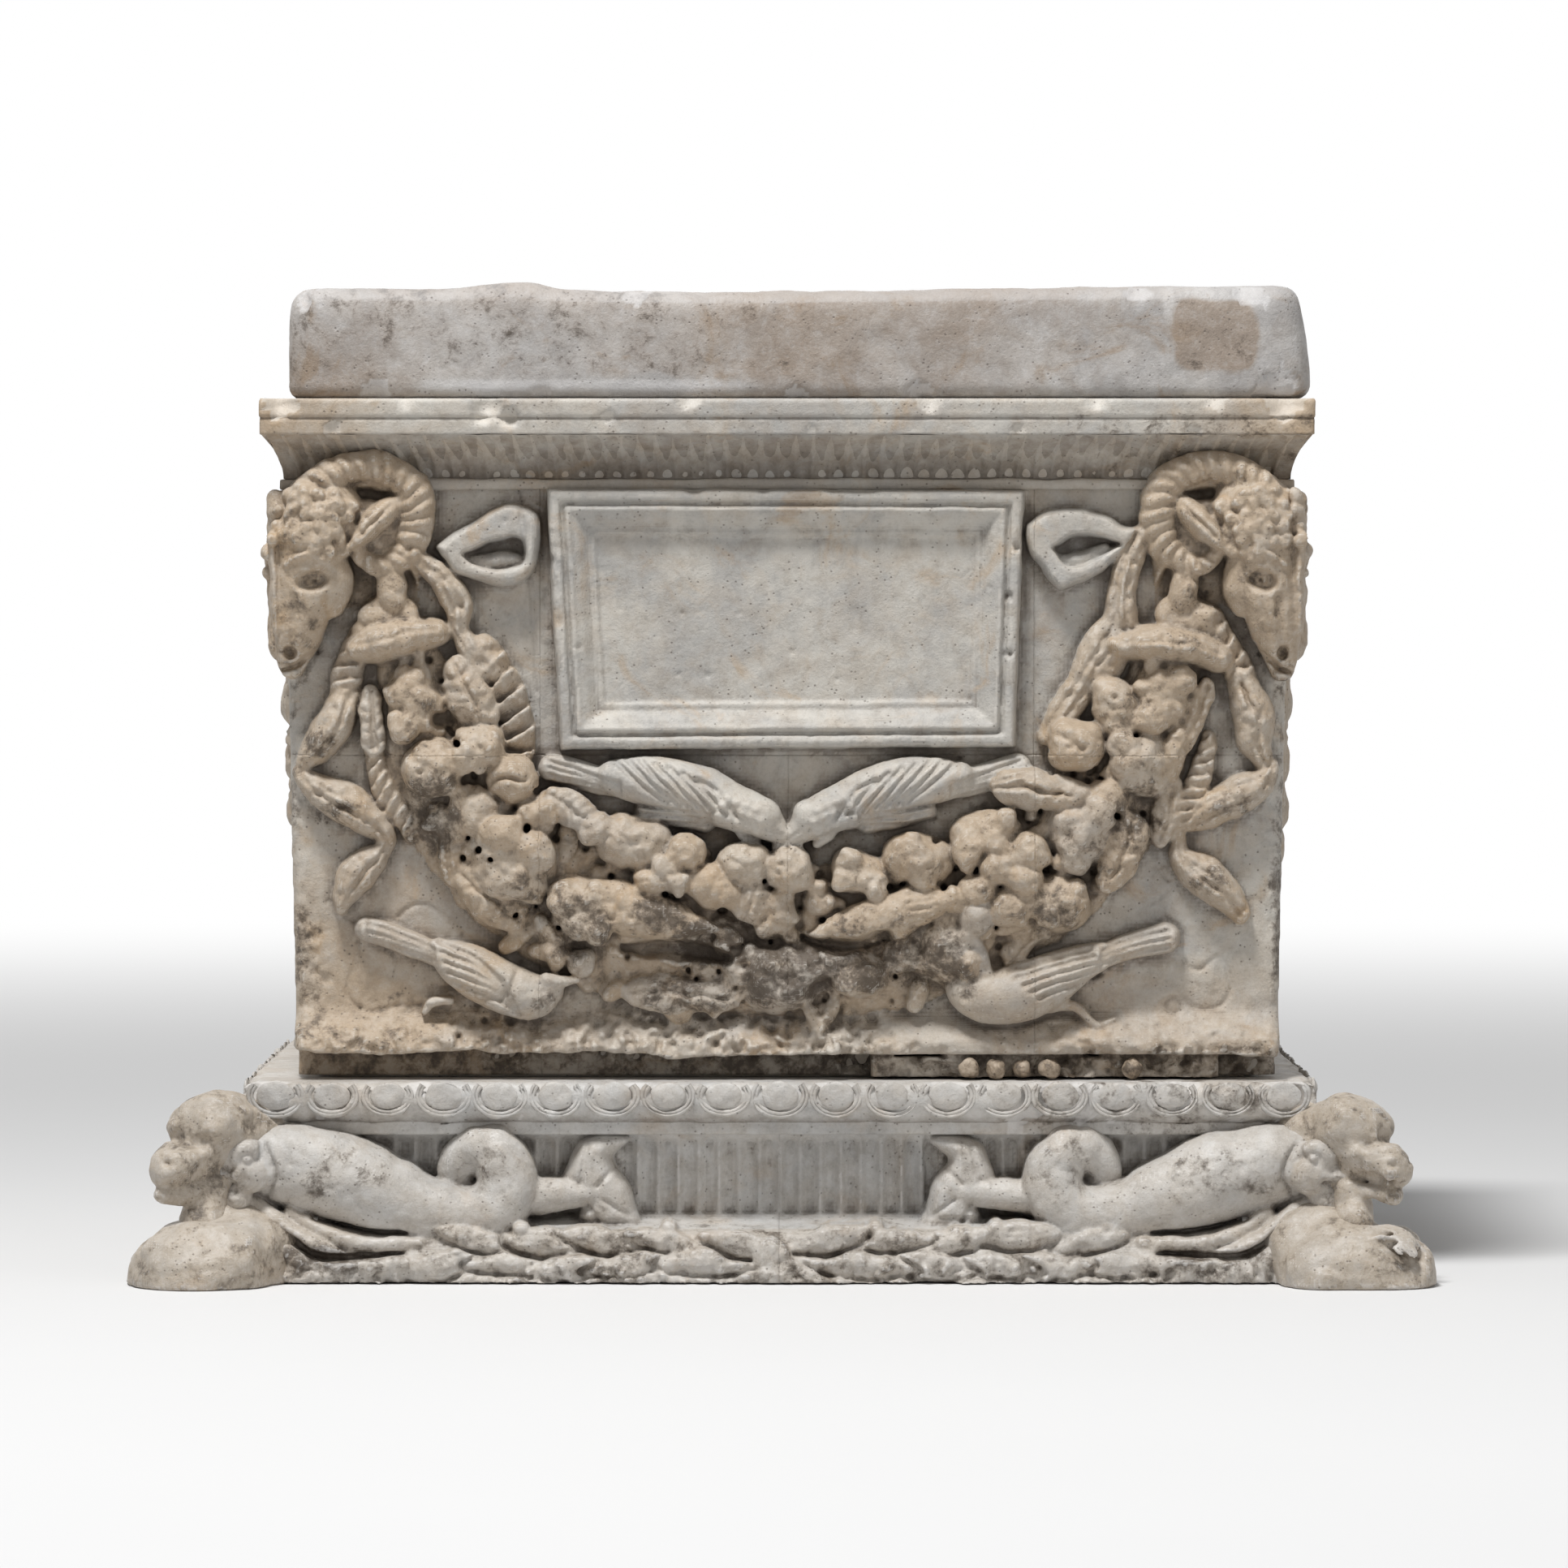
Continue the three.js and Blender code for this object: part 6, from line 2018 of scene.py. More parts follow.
            x, y, half = spine[rng.integers(len(spine))]
            u, v = at(x + rng.uniform(-1.4, 1.4), y + rng.uniform(-0.95, 0.95) * half)
            if relief.at(u, v) < 14:
                relief.drill(*relief.lowest(u, v, 3.0), rng.uniform(0.9, 1.5), 1.0)
        relief.hole(self.squares.shape((-44.0, 45.6), (-41.6, 45.8), (-40.4, 44.2), (-42.0, 43.2),
                                       (-43.8, 43.8)), 4)
        for gap in (((-20.0, 16.4, 0.8), (-14.0, 16.2, 1.5), (-7.6, 15.4, 1.0)),
                    ((2.0, 18.0, 0.6), (6.6, 16.8, 1.1), (12.4, 18.2, 0.9))):
            relief.groove(path(*gap), 12.0)
        across, up = relief.whole()
        inside = (up > 40) & (np.abs(across) < 180)
        relief.height = np.where(inside, np.maximum(relief.height, 0.5), relief.height)
        relief.wild = np.maximum(relief.wild, 1.9 * ease(relief.tan, 0.42, 0.5) * (relief.height > 5))
        relief.tone, relief.blend = 0.75, 1.2
        for rows in (
            ((-53.0, 53.6, 1.9, 17), (-50.4, 54.2, 2.5, 22), (-46.4, 55.0, 2.4, 22), (-43.2, 55.4, 1.8, 17)),
            ((41.0, 53.6, 1.9, 17), (44.6, 54.1, 2.5, 22), (49.6, 53.6, 2.5, 22), (53.6, 52.2, 1.8, 17)),
        ):
            relief.strap(path(*rows), 0.9, 1.2, 9.5, 2.0)
            relief.groove(path(*((x, y + 0.3, 0.3) for x, y, _, _ in rows)), 1.4)
        for x, y, rx, ry, amount, crust in (
            (0, 14.0, 10, 6, 3.2, 0.7), (17.0, 15.6, 8, 5, 2.8, 0.6), (-12, 11.0, 8, 4, 1.6, 0.5),
            (-39.5, 43.6, 4, 4, 2.4, 0.35), (-46, 45, 4, 6, 1.4, 0.4), (9, 14, 5, 4, 2.6, 0.6),
            (14, 26, 8, 4, 1.8, 0.3), (26, 30, 6, 5, 1.6, 0.25), (-16, 20.6, 5, 3, 2.2, 0.6),
            (9, 19, 8, 3, 1.8, 0.4), (26, 23, 6, 6, 0.8, 0.3), (-26, 19, 6, 6, 1.6, 0.6),
            (-44, 33, 5, 7, 1.2, 0.6), (37, 29, 5, 6, 1.4, 0.4), (-32, 23, 6, 5, 1.2, 0.4),
            (43, 33, 5, 8, 1.0, 0.5), (-8, 17, 8, 4, 1.0, 0.8), (33, 21, 4, 5, 1.4, 0.5),
            (-14, 27, 8, 4, 0.7, 0.0), (-34, 35, 6, 6, 0.6, 0.1), (44, 44, 6, 8, 0.8, 0.3),
        ):
            relief.break_up(*at(x, y), (rx * SQUARE, ry * SQUARE), amount, crust)

    def fruit(
        self, place: Point, radii: Tuple[float, float], turn: float, top: float, kind: Fruit,
        rng: np.random.Generator,
    ) -> None:
        """Carves one fruit or leaf of the garland.

        Args:
            place: Its middle.
            radii: Its radii.
            turn: How far it is turned, in degrees.
            top: How far out it stands.
            kind: What it is.
            rng: The source of its unevenness.
        """
        relief = self.relief
        (u, v), (long, short) = place, radii
        cos, sin = math.cos(math.radians(turn)), math.sin(math.radians(turn))
        if kind is BROKEN:
            for _ in range(7):
                a, b = rng.uniform(-0.6, 0.6, 2)
                spot = u + a * long * cos - b * short * sin, v + a * long * sin + b * short * cos
                size = rng.uniform(0.42, 0.62) * long, rng.uniform(0.42, 0.6) * short
                relief.lump(*spot, size, rng.uniform(0, 180), top + rng.uniform(-3.5, 0.5), 0.95)
        swell = 0.7 if kind is LEAF else 1.15
        drop = min(top - 3, swell * min(radii)) / min(radii)
        relief.lump(u, v, radii, turn, top - (2 if kind is BROKEN else 0), drop, 2.3)

        def along(*rows: Point3) -> List[Point3]:
            """Turns rows on the fruit, in shares of its radii, to rows on the face.

            Args:
                rows: Rows of a place along, a place across and a half width.

            Returns:
                The rows on the face.
            """
            made = []
            for a, b, w in rows:
                a, b = (a * long, b * short) if long > short else (b * long, a * short)
                made.append((u + a * cos - b * sin, v + a * sin + b * cos, w))
            return made

        if kind is SLIT:
            relief.groove(along((-0.8, -0.1, 0.4), (-0.1, 0.06, 1.3), (0.6, -0.02, 0.5)), 4.0)
        elif kind is LEAF:
            relief.groove(along((-0.85, 0.0, 0.7), (0.0, 0.08, 1.0), (0.85, 0.0, 0.6)), 2.6)
            for step in np.arange(-0.7, 0.75, 0.3):
                for side in (-1, 1):
                    relief.groove(along((step, 0.12 * side, 0.5), (step + 0.22, 0.85 * side, 0.6)), 1.3, 2)
        elif kind is ROUND and min(radii) > 9:
            side = rng.uniform(-0.4, 0.4, 2)
            relief.pit(u + side[0] * long, v + side[1] * short, (1.9, 1.6), 0, 2.6)
            relief.groove(along((-0.8, 0.3, 0.6), (-0.2, 0.1, 0.9), (0.3, -0.5, 0.6)), 1.2)

    def feathers(self, squares: Squares, rows: Sequence[Sequence[Point]], width: float = 0.42) -> None:
        """Cuts the lines between feathers, each given by the places that it passes."""
        for row in rows:
            self.relief.groove(squares.path(*((x, y, width) for x, y in row)), 3.0, 5)

    def birds(self) -> None:
        """Carves the two birds under the panel and the two at the foot."""
        relief = self.relief
        relief.tone, relief.blend, relief.wander = 0.12, 1.2, 0.4
        for squares in (self.squares, Squares(3.34, 3.43, 0.6, -1)):
            at, path = squares.at, squares.path
            relief.strap(path((-17.0, 36.4, 1.6, 14), (-22.6, 37.0, 1.8, 12.5), (-28.9, 38.7, 1.8, 11)), 0.5)
            relief.limb(path((-21.4, 37.4, 2.2, 9), (-16.6, 37.0, 3.2, 8.5), (-11.6, 35.8, 3.4, 9),
                             (-7.4, 34.2, 3.0, 10.5), (-3.6, 32.7, 2.5, 13), (-1.8, 31.3, 1.8, 13)))
            relief.strap(path((-17.8, 33.4, 1.1, 12), (-14.0, 33.0, 1.7, 14), (-10.2, 32.2, 1.5, 14)), 0.8)
            relief.lump(*at(-3.2, 32.8), (2.5 * SQUARE, 2.3 * SQUARE), 0, 22, 0.9)
            relief.limb(path((-2.4, 31.6, 1.3, 14.5), (0.0, 30.1, 0.95, 14.5), (1.7, 29.0, 0.4, 13.5)))
            relief.limb(path((-6.6, 32.4, 0.6, 12), (-5.4, 30.4, 0.55, 12), (-3.8, 29.4, 0.55, 12)))
            self.feathers(squares, [
                ((-29.4, 39.6 - 0.85 * i), (-23.6, 37.7 - 0.62 * i), (-20.6, 36.8 - 0.5 * i))
                for i in range(4)
            ], 0.3)
            self.feathers(squares, [
                ((-21.6 + 1.75 * i, 39.9 - 0.07 * i * i), (-18.6 + 1.7 * i, 37.2 - 0.25 * i),
                 (-14.8 + 1.45 * i, 34.4 - 0.28 * i))
                for i in range(7)
            ], 0.36)
            self.feathers(squares, [
                ((-18.6, 34.3 - 0.95 * i), (-14.0, 33.5 - 0.8 * i), (-9.4, 33.0 - 0.6 * i))
                for i in range(3)
            ], 0.32)
            for i in range(15):
                x, y = -8.4 + (i % 5) * 1.15 + 0.5 * (i // 5 % 2), 35.6 - (i // 5) * 1.35 - (i % 5) * 0.5
                relief.lump(*at(x, y), (2.3, 1.6), 0, relief.at(*at(x, y)) + 1.3, 0.8)
            relief.pit(*at(-2.7, 31.4), (1.1, 1.0), 0, 3.0)
            relief.groove(path((-1.6, 31.0, 0.2), (1.2, 29.2, 0.2)), 1.6, 1)
            for i in range(5):
                relief.drill(*at(-0.6 + 0.55 * i, 29.4 - 0.33 * i), 0.65, 11)
        squares = self.squares
        at, path = squares.at, squares.path
        relief.tone = 0.45
        relief.limb(path((-43.2, 16.2, 1.5, 9), (-39.4, 14.0, 3.0, 9), (-35.2, 11.8, 3.2, 9.5),
                         (-31.6, 10.6, 2.8, 9.5), (-29.4, 11.4, 1.8, 9.5)))
        relief.strap(path((-52.0, 18.8, 1.5, 9.5), (-47.4, 17.4, 1.6, 11), (-42.8, 15.4, 1.4, 13)), 0.6)
        relief.limb(path((-29.8, 12.6, 1.0, 13), (-27.6, 12.4, 0.7, 13), (-25.8, 12.6, 0.35, 12)))
        relief.limb(path((-41.6, 10.0, 0.5, 7), (-43.8, 9.8, 0.6, 7), (-44.8, 8.6, 0.4, 6)))
        self.feathers(squares, [((-51.6, 19.4 - 0.9 * i), (-47.0, 17.9 - 0.8 * i), (-43.6, 16.4 - 0.7 * i))
                                for i in range(3)])
        self.feathers(squares, [((-43.0 + 0.4 * i, 17.4 - 1.2 * i), (-39.0 + 0.5 * i, 15.6 - 1.15 * i),
                                 (-35.0 + 0.5 * i, 12.6 - 1.0 * i)) for i in range(5)], 0.38)
        relief.groove(path((-33.0, 14.6, 0.4), (-34.0, 12.0, 0.5), (-35.4, 10.0, 0.35)), 2.2)
        relief.break_up(*at(-30.6, 10.6), (9, 7), 1.3, 0.5)
        relief.limb(path((21.2, 13.4, 1.2, 9), (22.0, 11.6, 2.4, 9), (25.4, 10.4, 3.3, 9),
                         (30.4, 11.6, 3.6, 8.5), (35.4, 14.2, 2.5, 8.5), (39.0, 15.6, 1.6, 9)))
        relief.lump(*at(20.4, 17.0), (3.0 * SQUARE, 2.4 * SQUARE), 35, 20, 0.8)
        relief.limb(path((22.4, 18.4, 1.1, 16), (24.0, 15.8, 0.9, 14), (24.6, 13.2, 0.9, 13)))
        relief.strap(path((37.0, 14.6, 1.3, 13), (41.6, 16.4, 1.6, 12), (46.8, 17.8, 1.9, 11)), 0.6)
        self.feathers(squares, [
            ((39.0 - 0.2 * i, 16.2 - 0.8 * i), (43.0, 17.7 - 0.9 * i), (47.2, 18.7 - 0.9 * i))
            for i in range(3)
        ])
        self.feathers(squares, [((27.4 + 0.9 * i, 13.8 - 0.8 * i), (32.0 + 0.7 * i, 15.0 - 0.75 * i),
                                 (37.6 + 0.3 * i, 16.4 - 0.8 * i)) for i in range(5)], 0.4)
        relief.limb(path((31.6, 9.2, 0.9, 7), (35.4, 9.4, 0.6, 7), (37.4, 7.6, 0.5, 7), (38.8, 6.6, 0.5, 6)))
        for x, y in ((41.0, 6.6), (39.8, 5.4), (40.6, 7.8)):
            relief.limb(path((38.6, 6.8, 0.4, 6), (x, y, 0.25, 5)))
        relief.break_up(*at(21.6, 12.4), (9, 9), 1.5, 0.5)
        relief.wander = 0.9

    def incised(self) -> None:
        """Cuts the fine scrolls in the lower corners, the strokes beside the garland and some pits."""
        relief, path = self.relief, self.squares.path
        relief.wander = 0.3
        for line in (
            ((45.5, 20.9), (46.5, 21.2), (46.6, 20.2), (45.6, 19.9), (45.2, 20.6), (46.7, 20.3), (49.0, 18.3),
             (49.2, 14.8), (51.0, 13.8), (53.5, 15.3), (55.0, 11.8), (53.5, 9.3), (50.5, 9.0), (49.0, 10.3)),
            ((46.7, 9.3), (47.7, 10.3), (48.7, 9.3), (47.7, 8.3), (46.7, 9.3)),
            ((-48.3, 20.3), (-45.3, 21.9), (-41.3, 19.7)),
            ((-55.2, 20.5), (-53.0, 19.0), (-53.4, 15.0), (-54.5, 10.8), (-52.0, 8.6), (-48.0, 9.3),
             (-44.3, 9.3)),
            ((-50.6, 17.0), (-48.6, 15.2), (-49.2, 12.6)),
            ((50.6, 41.0), (52.4, 38.0), (54.2, 36.4)), ((50.2, 40.2), (53.0, 37.6)),
            ((50.0, 38.0), (52.6, 36.8)), ((47.6, 23.6), (45.0, 22.0)), ((45.6, 26.6), (47.4, 24.6)),
            ((-33.2, 73.0), (-31.6, 60.0), (-31.0, 48.0)),
        ):
            relief.groove(path(*((x, y, 0.3) for x, y in line)), 1.3)
        rng = np.random.default_rng(5)
        for _ in range(70):
            u, v = rng.uniform(-200, 200), rng.uniform(20, 240)
            relief.pit(u, v, (rng.uniform(0.8, 1.9), rng.uniform(0.8, 1.5)), rng.uniform(0, 90), 1.2)

    def build(self, material: bpy.types.Material) -> List[bpy.types.Object]:
        """Carves the face and makes its pieces.

        Args:
            material: Its marble.

        Returns:
            The face's pieces, first below its level cut and then above it, and the rams' outer sides.
        """
        for step in (self.ground, self.foot, self.panel, self.bows, self.ribbons, self.garland, self.birds):
            step()
        for hand in (1, -1):
            self.ram(hand)
        self.incised()
        self.relief.weather(3, 0.24)
        shells = self.relief.pieces(self.cuts, 136.0, (self.cuts[0], self.cuts[-1]))
        made = [
            build_piece(f"chest_front_{i + 1}", self.placement.place(shell), material, Stone.CHEST)
            for i, shell in enumerate(shells)
        ]
        for name, hand in (("left", -1), ("right", 1)):
            made.append(build_piece(f"chest_ram_{name}", self.flank(hand), material, Stone.CHEST))
        return made


@dataclass
class ChestSide:
    """A side of the chest: two horns and a hanging swag in low relief. Hand 1 is the right side."""

    hand: int
    cell: float = 1.6

    def build(self, material: bpy.types.Material) -> bpy.types.Object:
        """Carves the side and makes its piece.

        Args:
            material: Its marble.

        Returns:
            The piece.
        """
        relief = Relief(-138, 150, 0, 249, self.cell, -14.0, 14.0)
        across, up = relief.whole()
        relief.height[:] = np.where(up < 10.5, -6.5, 2.5 * (1 - ease(up, 14.5, 22)))
        relief.height[(across > 143.5) | (across < -134.0)] = -30
        relief.tan[:] = 0.3
        relief.wander, relief.blend, relief.tone = 0.9, 1.2, 0.6
        squares = CHEST_SQUARES
        half, sag = 27.0, 30.0
        turns = np.linspace(0, math.pi, 11)
        mass = [(-math.cos(t) * half, 54 - sag * math.sin(t), 2.2 + 2.2 * math.sin(t), 3.0) for t in turns]
        relief.strap(squares.path(*mass), 0.7)
        rng = np.random.default_rng(70 + self.hand)
        for _ in range(160):
            t = rng.uniform(0.05, math.pi - 0.05)
            reach = (2.2 + 2.2 * math.sin(t)) * rng.uniform(-1, 1)
            spot = squares.at(-math.cos(t) * (half + reach * 0.9), 54 - (sag + reach) * math.sin(t))
            size = rng.uniform(3, 6.5), rng.uniform(2.4, 3.6)
            relief.lump(*spot, size, rng.uniform(0, 180), rng.uniform(3, 6.4), 1.0)
        for i, t in enumerate(np.linspace(0, math.pi, 13)):
            radius = (3.1 + 0.9 * math.sin(t)) * SQUARE
            spot = squares.at(-math.cos(t) * half, 54 - sag * math.sin(t))
            relief.lump(*spot, (radius * 0.9, radius * 0.75), rng.uniform(0, 90), 7.0 + 0.7 * (i % 2),
                        0.8, 2.2)
            relief.pit(*spot, (2.0, 1.6), 0, 1.6)
        horn = ((-7.0, 1.2), (-5.6, 5.4), (-1.7, 6.6), (2.6, 5.0), (4.4, 1.2), (3.8, -2.6), (1.4, -4.9),
                (-1.6, -5.2), (-3.8, -3.4))
        for end in (-1, 1):
            middle = end * 97.5 + 5
            relief.lump(middle + end * 13, 196, (17, 26), end * 8, 6.2, 0.35)
            relief.lump(middle + end * 9, 226, (17, 12), 0, 6.0, 0.4)
            rows = [
                (middle - end * dx * SQUARE, 219.5 + dy * SQUARE, (2.0 - 0.13 * k) * SQUARE, 6.8)
                for k, (dx, dy) in enumerate(horn)
            ]
            relief.strap(rows, 0.9, 1.8, 5.4, 1.5)
            relief.pit(middle + end * 12, 206, (5, 3.6), 0, 2.6)
        relief.break_up(0, 12, (90, 9), 2.0, 0.4)
        relief.break_up(0, 120, (60, 40), 0.8, 0.4)
        relief.weather(20 + self.hand, 0.3)
        shell = relief.pieces()[0]
        if self.hand < 0:
            shell = shell.mirrored()
        way = self.hand
        lean = (SHAFT_HEAD - SHAFT_FOOT) / SHAFT_HEIGHT
        foot = (CHEST_SHIFT + way * (SHAFT_FOOT - 0.25), MIDDLE_Y, CHEST_FLOOR)
        place = Placement(foot, *facing(way), lean)
        name = f"chest_side_{'right' if way > 0 else 'left'}"
        return build_piece(name, place.place(shell), material, Stone.CHEST)


@dataclass
class ChestBody:
    """The chest's plain parts: its back, its hollow, its cornice and the beads of its foot."""

    shift: float = CHEST_SHIFT
    floor: float = CHEST_FLOOR
    top: float = 368.8
    half_head: float = SHAFT_HEAD
    front: float = SHAFT_FRONT
    back: float = SHAFT_BACK
    cavity: Point3 = (165.0, 95.0, 210.0)

    def ring(self, z: float, share: float, proud: float = 0.0, hollow: float = 0.0,
             worn: float = 0.0) -> Ring:
        """A ring of the cornice.

        Args:
            z: Its height.
            share: How far out it stands, 0 at the shaft and 1 at the cornice's face.
            proud: How much further out it stands, in millimetres.
            hollow: How dark its stone is painted, as soil and as painted shade.
            worn: How pale its stone is painted, as wear and as a painted highlight.

        Returns:
            The ring.
        """
        half = self.half_head + 9 * share + proud * 0.5
        front, back = self.front - 23 * share - proud, self.back + 8 * share + proud * 0.3
        return Ring(z, half, front, back, 0.0, hollow, worn)

    def core(self) -> Shell:
        """The hidden core, the cornice and the hollow for the ashes, as one skin.

        Returns:
            A closed shell.
        """
        rings = [Ring(self.floor, 193, -125, 140), Ring(self.floor + 3, 194, -125, 141)]
        rings += [Ring(z, 194 + (z - 83) * 0.02, -125, 141) for z in (180, 280, 324)]
        # Under the cornice, in its hollow and in its groove the rings are painted dark as shade; its fillet
        # and top edge pale, as wear and a painted highlight
        rings += [self.ring(326, -0.2), self.ring(330.8, -0.1), self.ring(330.8, 0.02, 2.0, 0.3)]
        rings += [self.ring(331.4, 0, 3.2, 0, 0.5), self.ring(334.6, 0, 3.2, 0, 0.5)]
        rings += [self.ring(335.3, 0, 2.4), self.ring(335.4, 0, -1.5, 1.0)]
        for t in np.linspace(0, 1, 9)[1:]:
            bow = 1 - math.cos(t * math.pi / 2)
            rings.append(self.ring(335.3 + 18.4 * t, 0.91 * bow, -2.6 + 2.4 * t, 0.9 - 0.5 * t))
        rings += [self.ring(353.8, 0.93, 0.0, 0.5), self.ring(353.9, 0.965, 0, 0.3)]
        rings += [self.ring(z, 0.968) for z in (354.6, 356, 357.4, 358.6, 359.6)]
        rings += [self.ring(360.2, 0.955, 0, 0.6), self.ring(360.8, 0.95, 0, 0.6), self.ring(361.2, 0.985)]
        rings += [self.ring(z, 1.0) for z in (361.8, 363, 364.2, 365.4, 366.6)]
        rings += [self.ring(367.6, 0.995), self.ring(368.3, 0.97, 0, 0, 0.4),
                  self.ring(368.8, 0.93, 0, 0, 0.3)]
        rings += [self.ring(368.8, share) for share in (0.5, 0.0)]
        half, deep, drop = self.cavity
        for grow, z in ((30, 368.8), (14, 368.8), (2, 368.6), (0.5, 367.6), (0, 366)):
            reach = deep + grow
            rings.append(Ring(z, half + grow, MIDDLE_Y - reach, MIDDLE_Y + reach, 14 + grow * 0.6))
        # The hollow for the ashes is painted darker the deeper it lies, down to its floor: painted shade
        for z in np.linspace(358, self.top - drop + 6, 24):
            shade = min(1.0, (self.top - z) / 90) * 0.8
            rings.append(Ring(z, half, MIDDLE_Y - deep, MIDDLE_Y + deep, 14, shade))
        for less, z in ((0.4, 3.6), (1.6, 1.6), (4.5, 0.4), (12, 0), (40, 0), (80, 0)):
            low = self.top - drop + z
            rings.append(Ring(low, half - less, MIDDLE_Y - deep + less, MIDDLE_Y + deep - less, 14, 0.8))
        shell = ring_loft(rings, 240, 150, self.shift)
        y = self.front - 23
        shell.dent(
            [(x + 3, y, z, radius, depth) for x, z, radius, depth in (
                (-125, 366, 8.5, 7), (-117, 361, 5, 4), (60, 368.5, 6, 3), (207, 368, 9, 6),
                (-212, 367, 8, 6), (130, 368.5, 5, 3), (-40, 368.5, 5, 3), (-190, 355, 4, 2),
                (170, 354, 4, 2), (10, 355, 3, 1.5), (-160, 368.6, 5, 2), (96, 355, 4, 2),
                (-75, 361, 3, 1.5), (178, 368.6, 6, 3),
            )], np.array((0, 1.0, 0)))
        x, y, z = shell.points.T
        ends = ease(np.abs(x - 3), 150, 222)
        tan = np.where(z > 353.5, 0.12 + 0.75 * ends, 0.3 + 0.3 * ends)
        shell.tint(tan=np.where(y > 140, 0.4, tan),
                   crust=np.where((z > 353.5) & (x > 120) & (z < 362), 0.35, 0))
        amount = np.where((z > 330) & (z < 368.7), 0.45, 0.0)
        amount = np.where((z < 353) & (z > 336), 0.2, amount)
        return shell.weather(amount, 14, 31, 5)

    def flutes(self, material: bpy.types.Material) -> List[Shell]:
        """The fluted hollow under the cornice, on the front and the sides.

        Args:
            material: Its marble.

        Returns:
            The front's, the right side's and the left side's.
        """
        rise, foot = 18.5, 335.3
        front = fluted_hollow("front_flutes", (-211.5, 211.5), (-218.5, 218.5), rise, 19.5, 2.6, 7.2,
                              material)
        side = fluted_hollow("side_flutes", (-146.0, 144.5), (-165.5, 151.0), rise, 7.0, 1.8, 7.2, material)
        made = []
        for shell, place in (
            (front, Placement((self.shift, -138.5, foot))),
            (side, Placement((214.5, MIDDLE_Y, foot), *facing(1))),
            (side.mirrored(), Placement((-208.5, MIDDLE_Y, foot), *facing(-1))),
        ):
            across, up, _ = shell.points.T
            # Painted shade, darker towards the flutes' foot under the overhang, and a painted highlight, with
            # wear, on their upper lip
            shell.tint(
                hollow=np.clip((15 - up) / 16, 0.12, 0.85), worn=np.clip((up - 15) / 4, 0, 0.5),
                tan=0.3 + 0.35 * ease(np.abs(across), 120, 215), crust=0.3 * ease(across, 60, 200),
            )
            made.append(place.place(shell.closed_behind(-4.0, 24.0)).weather(0.3, 6, 17, 3))
        return made

    def rear(self) -> Shell:
        """The plain back, left from the point.

        Returns:
            A closed shell.
        """
        relief = Relief(-214, 214, 0, 249, 1.7, -13.0, 4.0)
        across, up = relief.whole()
        edge = SHAFT_FOOT + (SHAFT_HEAD - SHAFT_FOOT) * up / SHAFT_HEIGHT - np.abs(across)
        relief.height[:] = -2.4 * (1 - np.clip(edge / 5, 0, 1)) ** 2
        strokes = rough((across * 0.7 + up * 0.5, up - across * 0.4), 9, 5, 3)
        relief.height -= 0.4 + 1.0 * np.clip(strokes, -1, 1)
        relief.tan[:] = 0.4
        relief.weather(44, 0.25)
        relief.height = np.where(edge > 0, np.minimum(relief.height, 0.0), -30)
        shell = relief.pieces()[0]
        return Placement((self.shift, self.back, self.floor), (-1, 0, 0), (0, 0, 1), (0, 1, 0)).place(shell)

    def beads(self, material: bpy.types.Material) -> Shell:
        """The beads that are left on the foot moulding.

        Args:
            material: Their marble.

        Returns:
            The beads in one shell.
        """
        middle, half_sizes = (-147.0, 87.8), (4.4, 4.2, 4.3)
        shells = [
            bead(f"bead_{i}", (self.shift + CHEST_SQUARES.across * x, *middle), half_sizes, 3 + i, material)
            for i, x in enumerate((22.6, 25.8, 29.0, 32.4, 42.7))
        ]
        made = functools.reduce(Shell.joined, shells)
        # The beads are painted dark, as crust and as painted shade under the ledge above them
        return made.tint(hollow=0.1, worn=0.2, tan=0.8, crust=0.5).weather(0.9, 4, 9, 3)

    def build(self, finish: bpy.types.Material) -> List[bpy.types.Object]:
        """Makes the plain parts of one marble.

        Args:
            finish: The marble.

        Returns:
            The pieces.
        """
        names = ("body_and_cornice", "cavetto_front", "cavetto_right", "cavetto_left", "back", "foot_beads")
        shells = [self.core(), *self.flutes(finish), self.rear(), self.beads(finish)]
        named = zip(names, shells)
        return [build_piece(f"chest_{name}", shell, finish, Stone.CHEST) for name, shell in named]


# The lid


